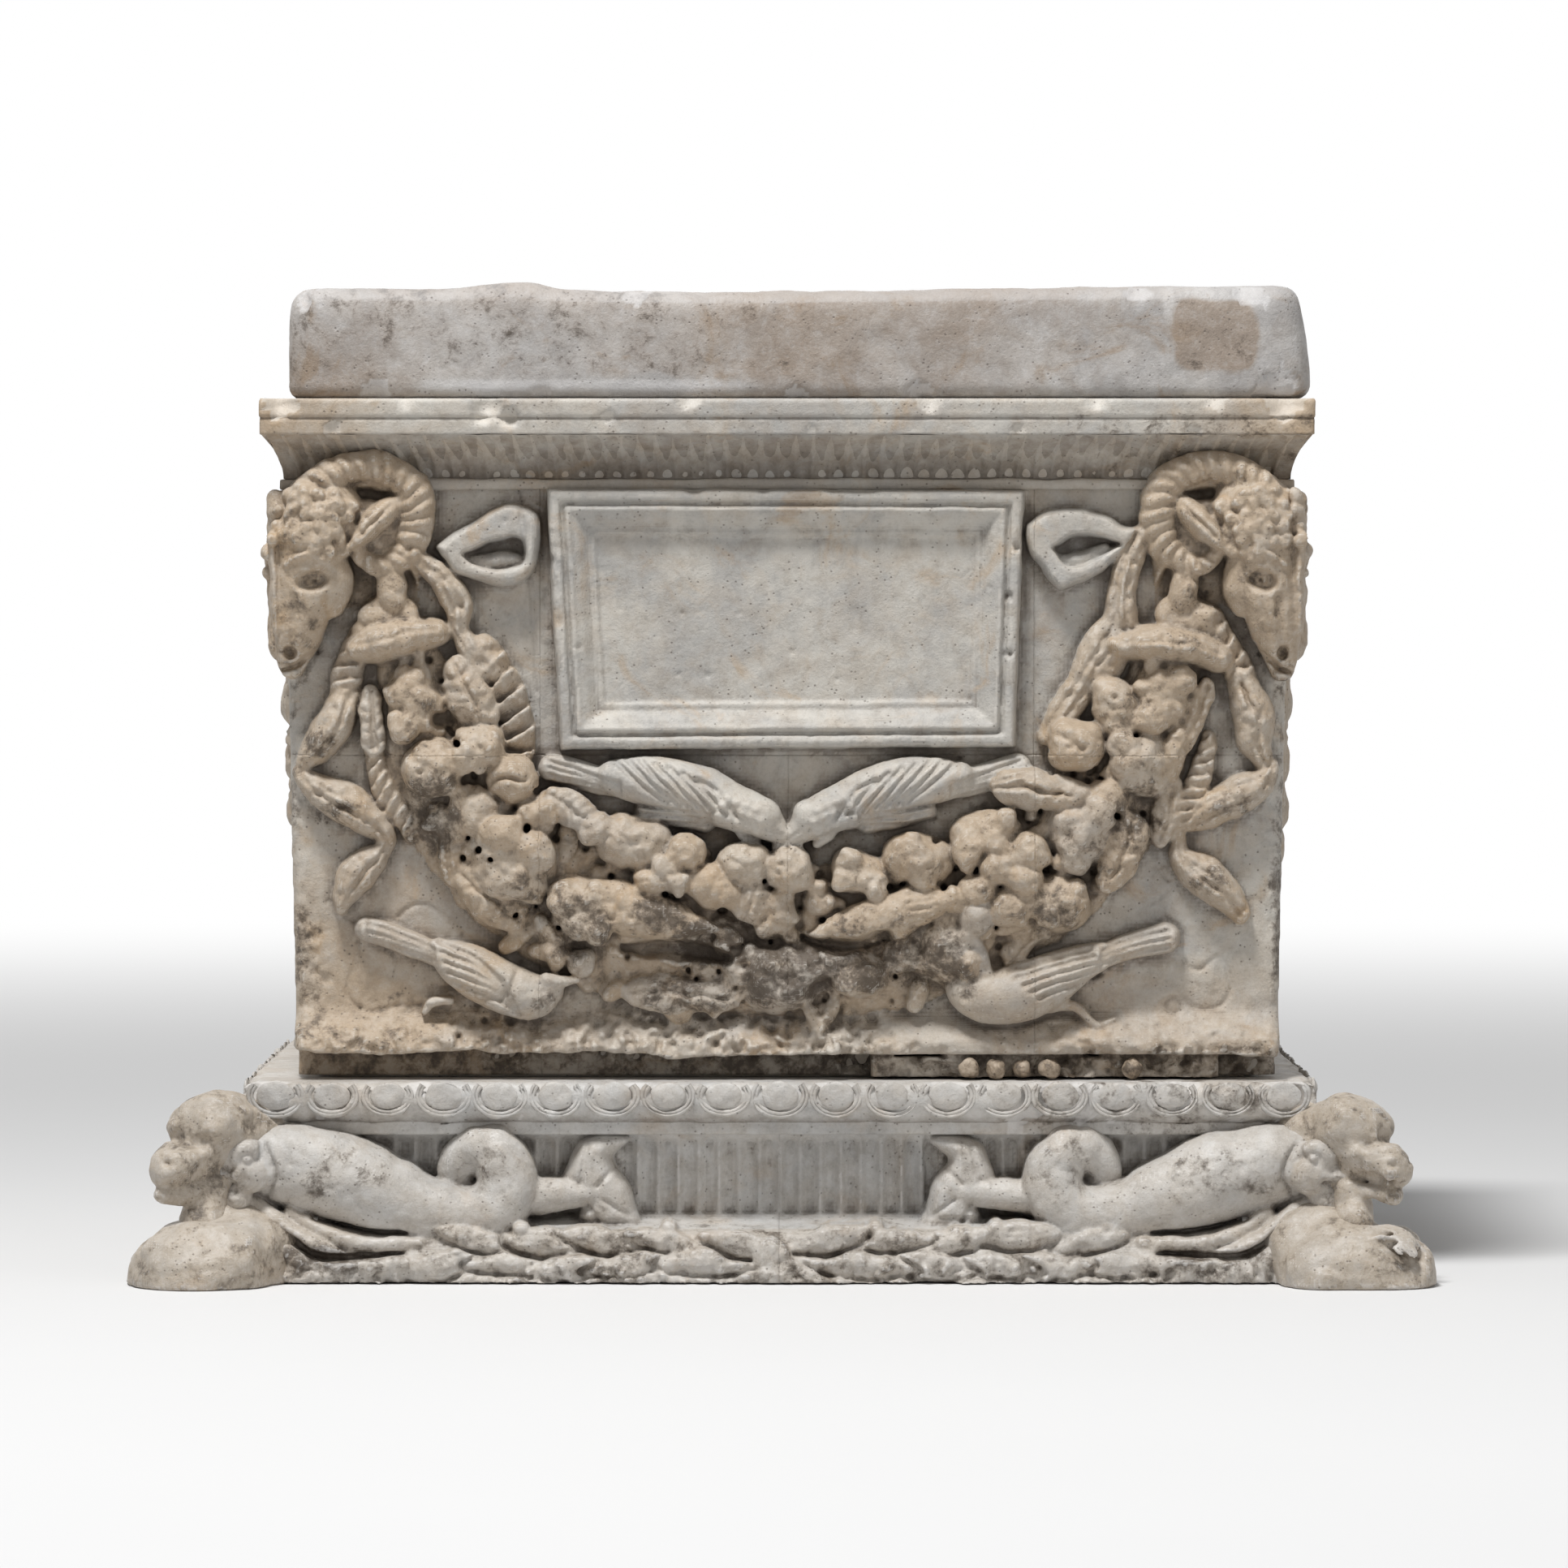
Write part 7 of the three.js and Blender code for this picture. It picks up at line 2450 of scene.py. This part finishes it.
@dataclass
class LidStone:
    """The lid: a thick slab with worn edges, and the key under it that drops into the chest."""

    middle: float = 8.0
    top: float = 417.1
    half_width: float = 214.0
    half_depth: float = 154.0

    def build(self, finish: bpy.types.Material) -> List[bpy.types.Object]:
        """Makes the slab of one marble.

        Args:
            finish: The marble.

        Returns:
            The slab, alone in a list.
        """
        w, d = self.half_width, self.half_depth
        # The key and the slab's underside are painted dark: painted shade
        rings = [
            Ring(z, half, MIDDLE_Y - deep, MIDDLE_Y + deep, 14, 0.2)
            for z, half, deep in ((361.1, 158.5, 88.5), (361.4, 160.5, 90.5), (362.4, 161.6, 91.6))
        ]
        rings += [Ring(z, 162, -84.5, 99.5, 14, 0.4) for z in (365, 368, 369.3)]
        rings += [Ring(369.3, half, -deep, deep, 14, 0.5) for half, deep in ((180, 118), (196, 136))]
        rings.append(Ring(369.2, w - 6, -d + 6, d - 6, 10, 0.5, 0.2))
        edge = [(369.1, 4.2), (369.6, 2.6), (370.6, 1.2), (372.2, 0.35)]
        edge += [(z, 0.2 * (z - 374) / 15) for z in np.arange(374, 402, 2.0)]
        edge += [(404, 0.6), (407, 0.9), (409.5, 1.4), (411.5, 2.1), (413.2, 3.1), (414.6, 4.5), (415.6, 6.2),
                 (416.2, 8.4), (416.5, 11)]
        # The rounded edges are painted pale: wear and a painted highlight
        for z, inset in edge:
            corner = 12 - inset * 0.3
            rings.append(Ring(z, w - inset, inset - d, d - inset, corner, 0.0, 0.55 if inset > 1.5 else 0.1))
        for inset in (14, 18, 24, 32, 44, 58, 74, 92, 112, 134, 150):
            rings.append(Ring(416.6, w - inset, -d + inset, d - inset, 6, 0.0, 0.1))
        shell = ring_loft(rings, 260, 180, self.middle)
        x, y, z = shell.points.T
        swell = 0.5 * rough((x, y), 120, 3, 2) - 0.5 - 1.8 * np.exp(-(((x + 40) / 150) ** 2))
        for bump_x, bump_y, radius in ((-118, -146, 14), (-104, -143, 10)):
            swell = swell + 2.2 * np.exp(-((x - bump_x) ** 2 + (y - bump_y) ** 2) / radius**2)
        shell.points[:, 2] = z + ease(z, 395, 416) * swell
        shell.points[:, 0] -= np.clip((x - self.middle) / w, 0, 1) ** 8 * 3.2 * ease(z, 380, 417)
        inward = np.array([self.middle, 0, 393]) - shell.points
        inward /= np.linalg.norm(inward, axis=1, keepdims=True)
        shell.dent(
            ((-204, -152, 415, 10, 6), (60, -154, 370, 6, 3), (150, -154, 415, 7, 4), (-60, -154, 415, 8, 3),
             (207, -152, 371, 9, 5), (-170, -154, 370, 7, 3), (8, -154, 370, 5, 2), (222, 10, 414, 14, 4),
             (-206, 60, 412, 14, 4), (100, 154, 414, 16, 4), (-100, -154, 370, 5, 2), (196, -154, 414, 8, 4)),
            inward * (z > 369.05)[:, None])
        x, y, z = shell.points.T
        tan = 0.45 + 0.4 * rough((x * 0.6, z), 60, 8, 3) - 0.35 * ease(x, 60, 160)
        streak = np.exp(-(((z - 374) / 3.0) ** 2)) * ease(-x, -10, 40) * (1 - ease(-x, 130, 160))
        reach = (((x - 182.5) / 17.5) ** 4 + ((z - 395) / 15.5) ** 4) ** 0.25 + 0.07 * rough((x, z), 9, 4, 3)
        patch = (1 - ease(reach, 0.9, 1.06)) * (y < -145)
        shell.tint(
            tan=np.clip(tan - streak + patch, 0, 1), worn=shell.mark("worn") + 0.9 * streak,
            crust=np.clip(0.3 * ease(-x, -60, 60) * ease(z, 372, 384) + 0.25 * patch, 0, 1),
        )
        shell.weather(np.where(z > 369.4, 0.6, 0.0), 14, 61, 5)
        shell.points[:, 2] = np.minimum(shell.points[:, 2], self.top + 0.6)
        return [build_piece("lid_slab", shell, finish, Stone.LID)]


# The base


@dataclass
class Strip:
    """One face of the base under its carver's hand: the face, its squares and the carving's size."""

    relief: Relief
    squares: Squares
    size: float

    def rows(self, hand: int, *stations: Sequence[float]) -> List[List[float]]:
        """Rows of x, y, radius and how far out, for the left half or mirrored to the right."""
        return [
            [*self.squares.at(-hand * x, y), r * BASE_SQUARE * self.size, w * self.size]
            for x, y, r, w in stations
        ]

    def lines(self, hand: int, *stations: Sequence[float]) -> List[List[float]]:
        """Rows of x, y and half width in millimetres."""
        return [[*self.squares.at(-hand * x, y), w] for x, y, w in stations]


@dataclass
class BaseStone:
    """The base: a table with an egg moulding, a fluted frieze, dolphins and corner skulls."""

    half_width: float = 207.5
    front: float = -149.0

    def face(self, strip: Strip, half: float, reach: float) -> None:
        """Cuts a face's flutes and the block for its wreath, out to half and to reach from the middle.

        Args:
            strip: The face.
            half: How far the stone reaches from the middle.
            reach: How far the wreath's block reaches.
        """
        relief, size = strip.relief, strip.size
        across, up = relief.whole()
        flute = np.abs(np.sin(across * math.pi / 8.5)) ** 0.75
        relief.height[:] = -3.4 * flute * ease(up, 22, 26) * (1 - ease(up, 57, 60))
        relief.height[np.abs(across) > half] = -30.0
        plinth = 33 * size - 9 * size * ease(up, 6, 20)
        relief.height[:] = np.where((up < 20) & (np.abs(across) < reach), plinth, relief.height)
        slope = 24 * size * (1 - ease(up, 19.5, 27))
        shoulder = (up >= 20) & (up < 27) & (np.abs(across) < reach)
        relief.height[:] = np.where(shoulder, np.maximum(relief.height, slope), relief.height)
        relief.tan[:] = 0.15 + 0.3 * (up < 22)

    def dolphin(self, strip: Strip, hand: int) -> None:
        """Carves a dolphin with its looped tail: hand -1 for the one on the left.

        Args:
            strip: The face.
            hand: -1 for the left and 1 for the right.
        """
        relief, size = strip.relief, strip.size
        rows, lines, k = strip.rows, strip.lines, BASE_SQUARE * size
        relief.tone, relief.blend, relief.wander = 0.3, 1.5, 0.7

        def lump(x: float, y: float, rx: float, ry: float, turn: float, top: float) -> None:
            """Leaves a lump standing, given in squares on the left dolphin."""
            relief.lump(*strip.squares.at(-hand * x, y), (rx * k, ry * k), -hand * turn, top * size, 0.8)

        relief.limb(rows(hand, (-34.0, 10.4, 2.2, 8), (-30.0, 10.6, 2.3, 9), (-23.6, 11.0, 1.5, 9.5)))
        relief.pillow([(u, v) for u, v, _ in lines(hand, *((x, y, 0) for x, y in (
            (-27.2, 12.7), (-25.5, 17.0), (-23.1, 18.3), (-20.2, 18.5), (-18.8, 17.4), (-21.0, 15.4),
            (-20.0, 13.6), (-18.9, 11.9), (-18.2, 9.0), (-17.6, 7.0), (-20.8, 6.0), (-25.1, 7.6),
            (-24.4, 9.8), (-25.0, 10.8),
        )))], 14 * size, 7, 2)
        for row in (((-25.0, 12.4, 0.8), (-24.0, 17.2, 1.0)), ((-22.8, 12.0, 0.8), (-20.2, 14.6, 1.0)),
                    ((-24.0, 10.0, 0.8), (-22.4, 6.8, 1.0)), ((-22.0, 10.2, 0.8), (-19.0, 8.2, 0.9))):
            relief.groove(lines(hand, *row), 2.4 * size, 3)
        relief.limb(rows(hand, (-36.0, 16.6, 3.2, 9), (-38.8, 16.2, 2.8, 8), (-40.6, 14.0, 2.3, 7),
                         (-39.8, 11.6, 1.6, 6)))
        relief.limb(rows(hand, (-42.6, 8.3, 4.2, 12), (-39.0, 8.1, 4.1, 12), (-35.8, 9.2, 4.0, 12.5),
                         (-34.2, 12.4, 3.8, 12), (-35.6, 15.8, 3.5, 11), (-38.0, 16.6, 2.9, 9)))
        relief.limb(rows(hand, (-66.4, 14.8, 4.0, 13), (-63.0, 14.8, 5.0, 12.5), (-60.0, 14.2, 5.5, 12),
                         (-55.0, 12.9, 5.7, 11.5), (-50.0, 10.9, 5.3, 11.5), (-45.3, 9.0, 4.5, 12),
                         (-41.0, 8.2, 4.1, 12)))
        relief.tone = 0.5
        for x, y, rx, ry, turn, top in (
            (-70.0, 13.6, 2.9, 2.2, 10, 31), (-71.2, 11.4, 2.0, 1.8, -10, 29),
            (-68.2, 10.6, 2.6, 1.9, 30, 30), (-67.4, 16.4, 2.6, 1.6, 20, 33),
            (-69.8, 15.6, 1.7, 1.3, 0, 29), (-66.6, 13.6, 3.0, 2.6, 0, 33),
        ):
            lump(x, y, rx, ry, turn, top)
        relief.pit(*strip.squares.at(hand * 66.4, 15.8), (1.2 * k, 0.8 * k), 0, 2.4 * size)
        lump(-66.3, 15.7, 0.7, 0.5, 0, 33)
        for row in (((-72.4, 12.8, 0.6), (-69.6, 12.2, 1.0), (-67.2, 12.8, 0.6)),
                    ((-64.2, 17.6, 0.7), (-62.8, 14.0, 1.2), (-64.0, 10.8, 0.8))):
            relief.groove(lines(hand, *row), 3.0 * size)
        for row in (
            ((-66.4, 10.4, 1.0, 20), (-63.4, 8.0, 1.4, 24), (-60.2, 5.5, 1.5, 27), (-55.0, 3.0, 1.4, 29),
             (-49.6, 2.4, 1.2, 30), (-44.5, 2.6, 0.8, 30)),
            ((-65.4, 7.6, 0.9, 23), (-62.4, 4.4, 1.4, 28), (-58.6, 1.6, 1.0, 30)),
            ((-61.0, 8.8, 0.8, 22), (-56.0, 6.0, 1.2, 25), (-50.0, 5.0, 1.0, 26), (-45.0, 5.2, 0.6, 26)),
        ):
            relief.limb(rows(hand, *row))
        for row in (((-63.0, 7.2, 1.6), (-58.0, 3.8, 2.2), (-52.0, 3.5, 1.8), (-47.0, 3.8, 0.8)),
                    ((-58.4, 8.2, 1.0), (-52.0, 6.4, 2.0), (-46.6, 6.2, 1.0)),
                    ((-70.0, 9.0, 2.0), (-66.4, 5.0, 2.6), (-64.0, 2.0, 1.6))):
            relief.groove(lines(hand, *row), 9.0 * size)
        for x, y, rx, ry, amount, crust in ((-70, 12.6, 13, 13, 3.0, 0.5), (-56, 3, 44, 9, 1.8, 0.5),
                                            (-56, 14, 30, 14, 0.8, 0.35), (-36, 14, 18, 16, 0.6, 0.3)):
            relief.break_up(*strip.squares.at(-hand * x, y), (rx, ry), amount, crust)

    def wreath(self, strip: Strip, half: float) -> None:
        """Carves two rows of laurel leaves along the block, outwards from the middle, to half squares.

        Args:
            strip: The face.
            half: How many squares it reaches from the middle.
        """
        relief, size, at = strip.relief, strip.size, strip.squares.at
        rng = np.random.default_rng(90)
        relief.tone, relief.blend, relief.wander = 0.45, 0.8, 0.9
        leaves = [(hand, i, row) for i in range(int(half / 8)) for row in (0, 1) for hand in (-1, 1)]
        for hand, i, row in reversed(leaves):
            x = hand * (5.6 + i * 8.2 + row * SQUARE + rng.uniform(-1.0, 1.0))
            y = (5.4, 2.4)[row] + rng.uniform(-0.5, 0.5)
            turn = hand * ((8, -3)[row] + rng.uniform(-7, 7))
            long = (rng.uniform(5.0, 5.8), rng.uniform(6.4, 7.6))[row] * BASE_SQUARE * size
            short = rng.uniform(1.4, 1.9) * BASE_SQUARE * size
            top = ((29, 34)[row] + rng.uniform(-1.2, 1.2)) * size
            u, v = at(x, y)
            window, rim, _, _ = relief.around(u, v, (long * 1.1, short * 1.25), turn, 1.7)
            relief.cut_to(window, top - 4.5 * size + 0 * rim, rim < 1)
            relief.lump(u, v, (long, short), turn, top, 0.75, 1.6)
            cos, sin = math.cos(math.radians(turn)), math.sin(math.radians(turn))
            for off in (-0.38, 0.05, 0.45):
                ends = [(u + s * long * cos - off * short * sin, v + s * long * sin + off * short * cos, 0.65)
                        for s in (-0.75, 0.0, 0.75)]
                relief.groove(ends, 1.0, 2)
        for x in (-32.5, -14.0, 12.0, 27.0, 41.0):
            relief.lump(*at(x, 6.9), (3.6 * size, 3.4 * size), 0, 27 * size, 0.9)
        relief.lump(*at(-1.0, 3.8), (8 * size, 7 * size), 0, 33 * size, 0.6)

    def carved(self, relief: Relief, squares: Squares, size: float, half: float, reach: float) -> None:
        """Carves a face with its dolphins and its wreath.

        Args:
            relief: The face of stone.
            squares: Its grid.
            size: The carving's size, 1 on the front.
            half: How far the stone reaches from the middle.
            reach: How far the wreath's block reaches.
        """
        strip = Strip(relief, squares, size)
        self.face(strip, half, reach)
        self.wreath(strip, 44)
        for hand in (-1, 1):
            self.dolphin(strip, hand)
        for x, rx, amount in ((-56, 44, 5.0), (-24, 60, 6.0), (26, 66, 5.5), (0, 40, 5.0), (52, 60, 5.0)):
            relief.break_up(*squares.at(x, 0.4), (rx, 9), amount, 0.4)
        relief.break_up(*squares.at(0, 4), (230, 14), 1.7, 0.35)
        relief.break_up(*squares.at(0, 12), (230, 24), 0.35, 0.1)

    def front_face(self, material: bpy.types.Material) -> List[bpy.types.Object]:
        """The carved front.

        Args:
            material: Its marble.

        Returns:
            Its left and its right piece.
        """
        relief = Relief(-246, 246, 0, 67, 0.9, -14.0, 37.0)
        self.carved(relief, BASE_SQUARES, 1.0, self.half_width, 236)
        relief.groove([(62, 26.4, 0.8), (110, 26.0, 0.8)], 1.6)
        relief.groove([(61, 26, 0.7), (61, 60, 0.7)], 1.8)
        relief.weather(8, 0.22)
        relief.height = np.minimum(relief.height, 35.5)
        made = []
        for i, shell in enumerate(relief.pieces((0.0,))):
            placed = Placement((0.0, self.front, 0.0)).place(shell)
            made.append(build_piece(f"base_front_{i + 1}", placed, material, Stone.BASE))
        return made

    def side_face(self, hand: int, material: bpy.types.Material) -> bpy.types.Object:
        """A carved side: -1 for the left, 1 for the right.

        Args:
            hand: -1 for the left and 1 for the right.
            material: Its marble.

        Returns:
            The piece.
        """
        relief = Relief(-172, 172, 0, 67, 1.4, -14.0, 30.0)
        self.carved(relief, Squares(2.2, 3.32), 0.8, 149.0, 170)
        relief.weather(12 + hand, 0.25)
        relief.height = np.minimum(relief.height, 28.0)
        shell = relief.pieces()[0]
        place = Placement((hand * self.half_width, 0, 0), *facing(hand))
        name = "right" if hand > 0 else "left"
        return build_piece(f"base_side_{name}", place.place(shell), material, Stone.BASE)

    def table(self) -> Shell:
        """The table, its rounded moulding and the core behind the carved faces.

        Returns:
            A closed shell.
        """
        # The core behind the frieze, the table's underside and the undercut of its moulding are painted dark
        # as shade; the moulding's top edge pale, as wear and a painted highlight
        rings = [Ring(0.0, 190, -132, 149), Ring(2, 196, -136, 184), Ring(8, 196, -136, 184)]
        rings += [Ring(20, 196, -136, 174, 0, 0.5), Ring(26, 196, -136, 150, 0, 0.8)]
        rings += [Ring(44, 196, -136, 149, 0, 0.4), Ring(60.5, 196, -136, 149, 0, 0.6)]
        rings.append(Ring(60.9, 214, -155.5, 155.5, 0, 0.8))
        for half, z, hollow in (
            (217.5, 61.0, 0.5), (217.7, 62.0, 0.1), (217.8, 63.5, 0.1), (217.8, 65.0, 0.1),
            (217.6, 65.8, 0.2), (217.9, 66.2, 0.9), (219.4, 67.0, 0.7), (221.2, 68.6, 0.5),
            (222.8, 70.6, 0.3), (224.0, 73.0, 0.2), (224.5, 75.6, 0.1), (224.4, 78.2, 0),
            (223.8, 80.4, 0), (222.8, 81.8, 0), (221.0, 82.7, 0), (218.6, 83.0, 0),
        ):
            inset = 224.5 - half
            rings.append(Ring(z, half, -166 + inset, 166 - inset, 0, hollow, 0.3 if z > 81 else 0.0))
        rings += [Ring(83.0, half, -half + 58.5, half - 58.5) for half in (212, 200, 180, 150, 110)]
        shell = ring_loft(rings, 250, 170, 0.0)
        shell.dent(
            [(x, -166, z, radius, depth) for x, z, radius, depth in (
                (-217, 79, 13, 7), (-150, 83, 6, 3), (-60, 83, 6, 3), (70, 82, 9, 4), (120, 78, 12, 5),
                (165, 82, 10, 5), (217, 76, 13, 7), (20, 83, 6, 3), (-190, 70, 7, 3), (100, 70, 9, 4),
                (-110, 63, 6, 2), (-30, 63, 5, 2), (190, 64, 7, 3), (140, 62, 6, 3),
            )], np.array((0, 1.0, 0)))
        x, y, z = shell.points.T
        shell.tint(tan=0.12 + 0.3 * ease(np.abs(x), 120, 230), crust=0.35 * ease(x, 40, 160) * (y < -140))
        amount = np.where((z > 61.5) & (z < 82.9), 0.6 + 0.9 * ease(np.abs(x), 90, 220), 0.0)
        return shell.weather(np.where((y > 148) & (z > 1), 0.6, amount), 10, 71, 5)

    def eggs(self, material: bpy.types.Material) -> Shell:
        """The egg moulding under the table, on the front and the sides.

        Args:
            material: Its marble.

        Returns:
            The three rows in one shell.
        """
        rows = [egg_row(f"eggs_{i}", count, 23.4, (7.8, 5.8, 2.0), 0.8, 6 + i, material)
                for i, count in enumerate((19, 13, 13))]
        level = 77.6
        places = (
            Placement((0.0, -165.7, level)),
            Placement((-224.2, 0, level), *facing(-1)),
            Placement((224.2, 0, level), *facing(1)),
        )
        made = functools.reduce(Shell.joined, (place.place(row) for place, row in zip(places, rows)))
        x, y, _ = made.points.T
        return made.tint(worn=0.3, tan=0.2, crust=0.3 * ease(x, 40, 160) * (y < -140)).weather(0.7, 5, 15, 4)

    def lobe(self, hand: int, end: int) -> Shell:
        """A foot at a corner: a rounded block, with fanned grooves at the front right.

        Args:
            hand: -1 for the left and 1 for the right.
            end: -1 for the front and 1 for the back.

        Returns:
            A closed shell.
        """
        block = Boulder((-276, -216, -2), (-200, -138, 44), 1.0)
        block.ball((-240, -180, 2), (31, 31, 25), 0, 2.7)
        block.ball((-226, -166, 10), (25, 25, 25), 6, 2.2)
        if hand > 0 and end < 0:
            for i in range(6):
                t = i / 5
                block.trench(
                    [(-222, -208 + 12 * t * t, 10 + 15 * t, 1.6),
                     (-245, -212.5 + 11 * t * t, 7 + 17 * t, 2.6),
                     (-265, -204 + 14 * t * t, 4 + 12 * t, 2.0)], 1.6)
        else:
            block.trench([(-273, -196, 8, 2), (-262, -212, 6, 2.4), (-232, -213, 9, 2)], 2.0)
        block.weather(3.0, 22, 33 + hand + 2 * end, 6)
        block.values = np.minimum(block.values, np.broadcast_to(block.z + 0.01, block.values.shape))
        shell = self.turned(block.shell(), hand, end)
        return shell.tint(tan=0.7, crust=0.25)

    def turned(self, shell: Shell, hand: int, end: int) -> Shell:
        """A shell made for the front left corner, mirrored to another.

        Args:
            shell: The shell.
            hand: -1 for the left and 1 for the right.
            end: -1 for the front and 1 for the back.

        Returns:
            The shell in its own corner.
        """
        if end > 0:
            shell = shell.mirrored()
            shell.points = shell.points * (-1, -1, 1)
        return shell.mirrored() if hand > 0 else shell

    def skull(self, hand: int) -> Shell:
        """A worn ox skull at a front corner, and the stone that props its jaw.

        Args:
            hand: -1 for the left and 1 for the right.

        Returns:
            A closed shell.
        """
        block = Boulder((-270, -210, 20), (-192, -132, 84), 0.85)
        block.limb([(-200, -140, 47, 12), (-220, -156, 59, 14.5), (-232, -166, 61, 15)], 2)
        block.ball((-237, -169, 65), (18, 17.5, 14), 3)
        block.limb([(-240, -174, 57, 12), (-247, -180, 52, 11), (-252, -184, 49, 9.2)], 3)
        block.limb([(-240, -184, 55, 5), (-247, -188, 52, 5), (-253, -190, 48, 4.4)], 2)
        block.carve((-253, -182, 62), (4.0, 5, 2.8), 2.0)
        block.carve((-241, -190, 60.5), (5.0, 4.5, 3.0), 2.0)
        block.carve((-254, -194, 51), (3.0, 3.4, 2.2), 1)
        block.carve((-262, -184, 51), (3.0, 3.2, 2.0), 1)
        for i in range(7):
            x, y = -262 + 3.9 * i, -186 - 2.4 * i + 0.28 * i * i
            block.carve((x, y, 42.8 + 0.6 * (i % 2)), (1.1, 3.4, 2.4), 0.5)
        block.limb([(-240, -178, 40, 5.4), (-248, -184, 38, 5.0), (-255, -187, 37.5, 3.6)], 1.0)
        block.limb([(-234, -170, 44, 9), (-239, -176, 34, 8), (-240, -180, 26, 9)], 2)
        block.weather(2.6, 13, 51 + hand, 6)
        return self.turned(block.shell(), hand, -1).tint(tan=0.8, crust=0.32)

    def build(self, finish: bpy.types.Material) -> List[bpy.types.Object]:
        """Makes the base of one marble.

        Args:
            finish: The marble.

        Returns:
            The pieces.
        """
        shells = {"table_and_core": self.table(), "egg_moulding": self.eggs(finish)}
        for hand, end in itertools.product((-1, 1), (-1, 1)):
            corner = f"{'left' if hand < 0 else 'right'}_{'front' if end < 0 else 'back'}"
            shells[f"foot_{corner}"] = self.lobe(hand, end)
            if end < 0:
                shells[f"skull_{corner[:-6]}"] = self.skull(hand)
        pieces = [build_piece(f"base_{name}", shell, finish, Stone.BASE) for name, shell in shells.items()]
        pieces += self.front_face(finish)
        return pieces + [self.side_face(hand, finish) for hand in (-1, 1)]


# The room


@dataclass
class Studio:
    """The camera, the soft light and the pale floor."""

    ambient: float = 0.19
    distance: float = 3.55
    height: float = 0.2977
    fall: float = 1.52
    lens: float = 186.335

    def camera(self) -> None:
        """Sets up the camera at the photograph's angle."""
        data = bpy.data.cameras.new("camera")
        data.lens, data.sensor_width = self.lens, 36.0
        data.clip_end = 50.0
        camera = bpy.data.objects.new("camera", data)
        camera.location = (0.0017, -self.distance, self.height)
        camera.rotation_euler = (math.radians(90 - self.fall), 0, 0)
        bpy.context.scene.collection.objects.link(camera)
        bpy.context.scene.camera = camera

    def light(self, name: str, place: Point3, size: float, power: float) -> None:
        """A soft square light that faces the chest.

        Args:
            name: Its name.
            place: Where it hangs, in metres.
            size: How wide it is, in metres.
            power: Its power in watts.
        """
        data = bpy.data.lights.new(name, "AREA")
        data.size, data.energy = size, power
        lamp = bpy.data.objects.new(name, data)
        lamp.location = place
        aim = np.array((0, 0, 0.22)) - np.array(place)
        flat = math.hypot(aim[0], aim[1])
        lamp.rotation_euler = (math.atan2(flat, -aim[2]), 0, math.atan2(-aim[0], aim[1]))
        bpy.context.scene.collection.objects.link(lamp)

    def floor(self) -> None:
        """The wide flat floor."""
        mesh = bpy.data.meshes.new("floor")
        mesh.from_pydata([(-14, -14, 0), (14, -14, 0), (14, 14, 0), (-14, 14, 0)], [], [(0, 1, 2, 3)])
        mesh.materials.append(PlainStage().build())
        floor = bpy.data.objects.new("floor", mesh)
        bpy.context.scene.collection.objects.link(floor)

    def world(self) -> None:
        """A dim even light from all round, white where the camera sees it."""
        world = bpy.data.worlds.new("room")
        world.use_nodes = True
        bpy.context.scene.world = world
        tree = Tree(world.node_tree)
        strength = self.ambient + tree.seen() * (1.0 - self.ambient)
        light = tree.node("ShaderNodeBackground", None, {"Color": (1, 1, 1, 1), "Strength": strength})
        tree.node("ShaderNodeOutputWorld", None, {"Surface": light})

    def build(self) -> None:
        """Sets the room up."""
        self.camera()
        self.light("key", (-0.5, -1.1, 2.8), 0.55, 90)
        self.light("fill", (1.8, -2.4, 1.2), 1.8, 10)
        self.floor()
        self.world()
        bpy.context.scene.view_settings.view_transform = "Standard"


def main() -> None:
    """Builds the stones and the room, and reports each piece."""
    logging.basicConfig(level=logging.INFO, format="%(name)s: %(message)s")
    chest = CHEST_MARBLE.build()
    pieces = BaseStone().build(BASE_MARBLE.build())
    pieces += ChestBody().build(chest)
    pieces += [ChestSide(hand).build(chest) for hand in (-1, 1)]
    pieces += ChestFront().build(chest)
    pieces += LidStone().build(LID_MARBLE.build())
    Studio().build()
    LOG.info("%d pieces in all", len(pieces))


if __name__ == "__main__":
    main()
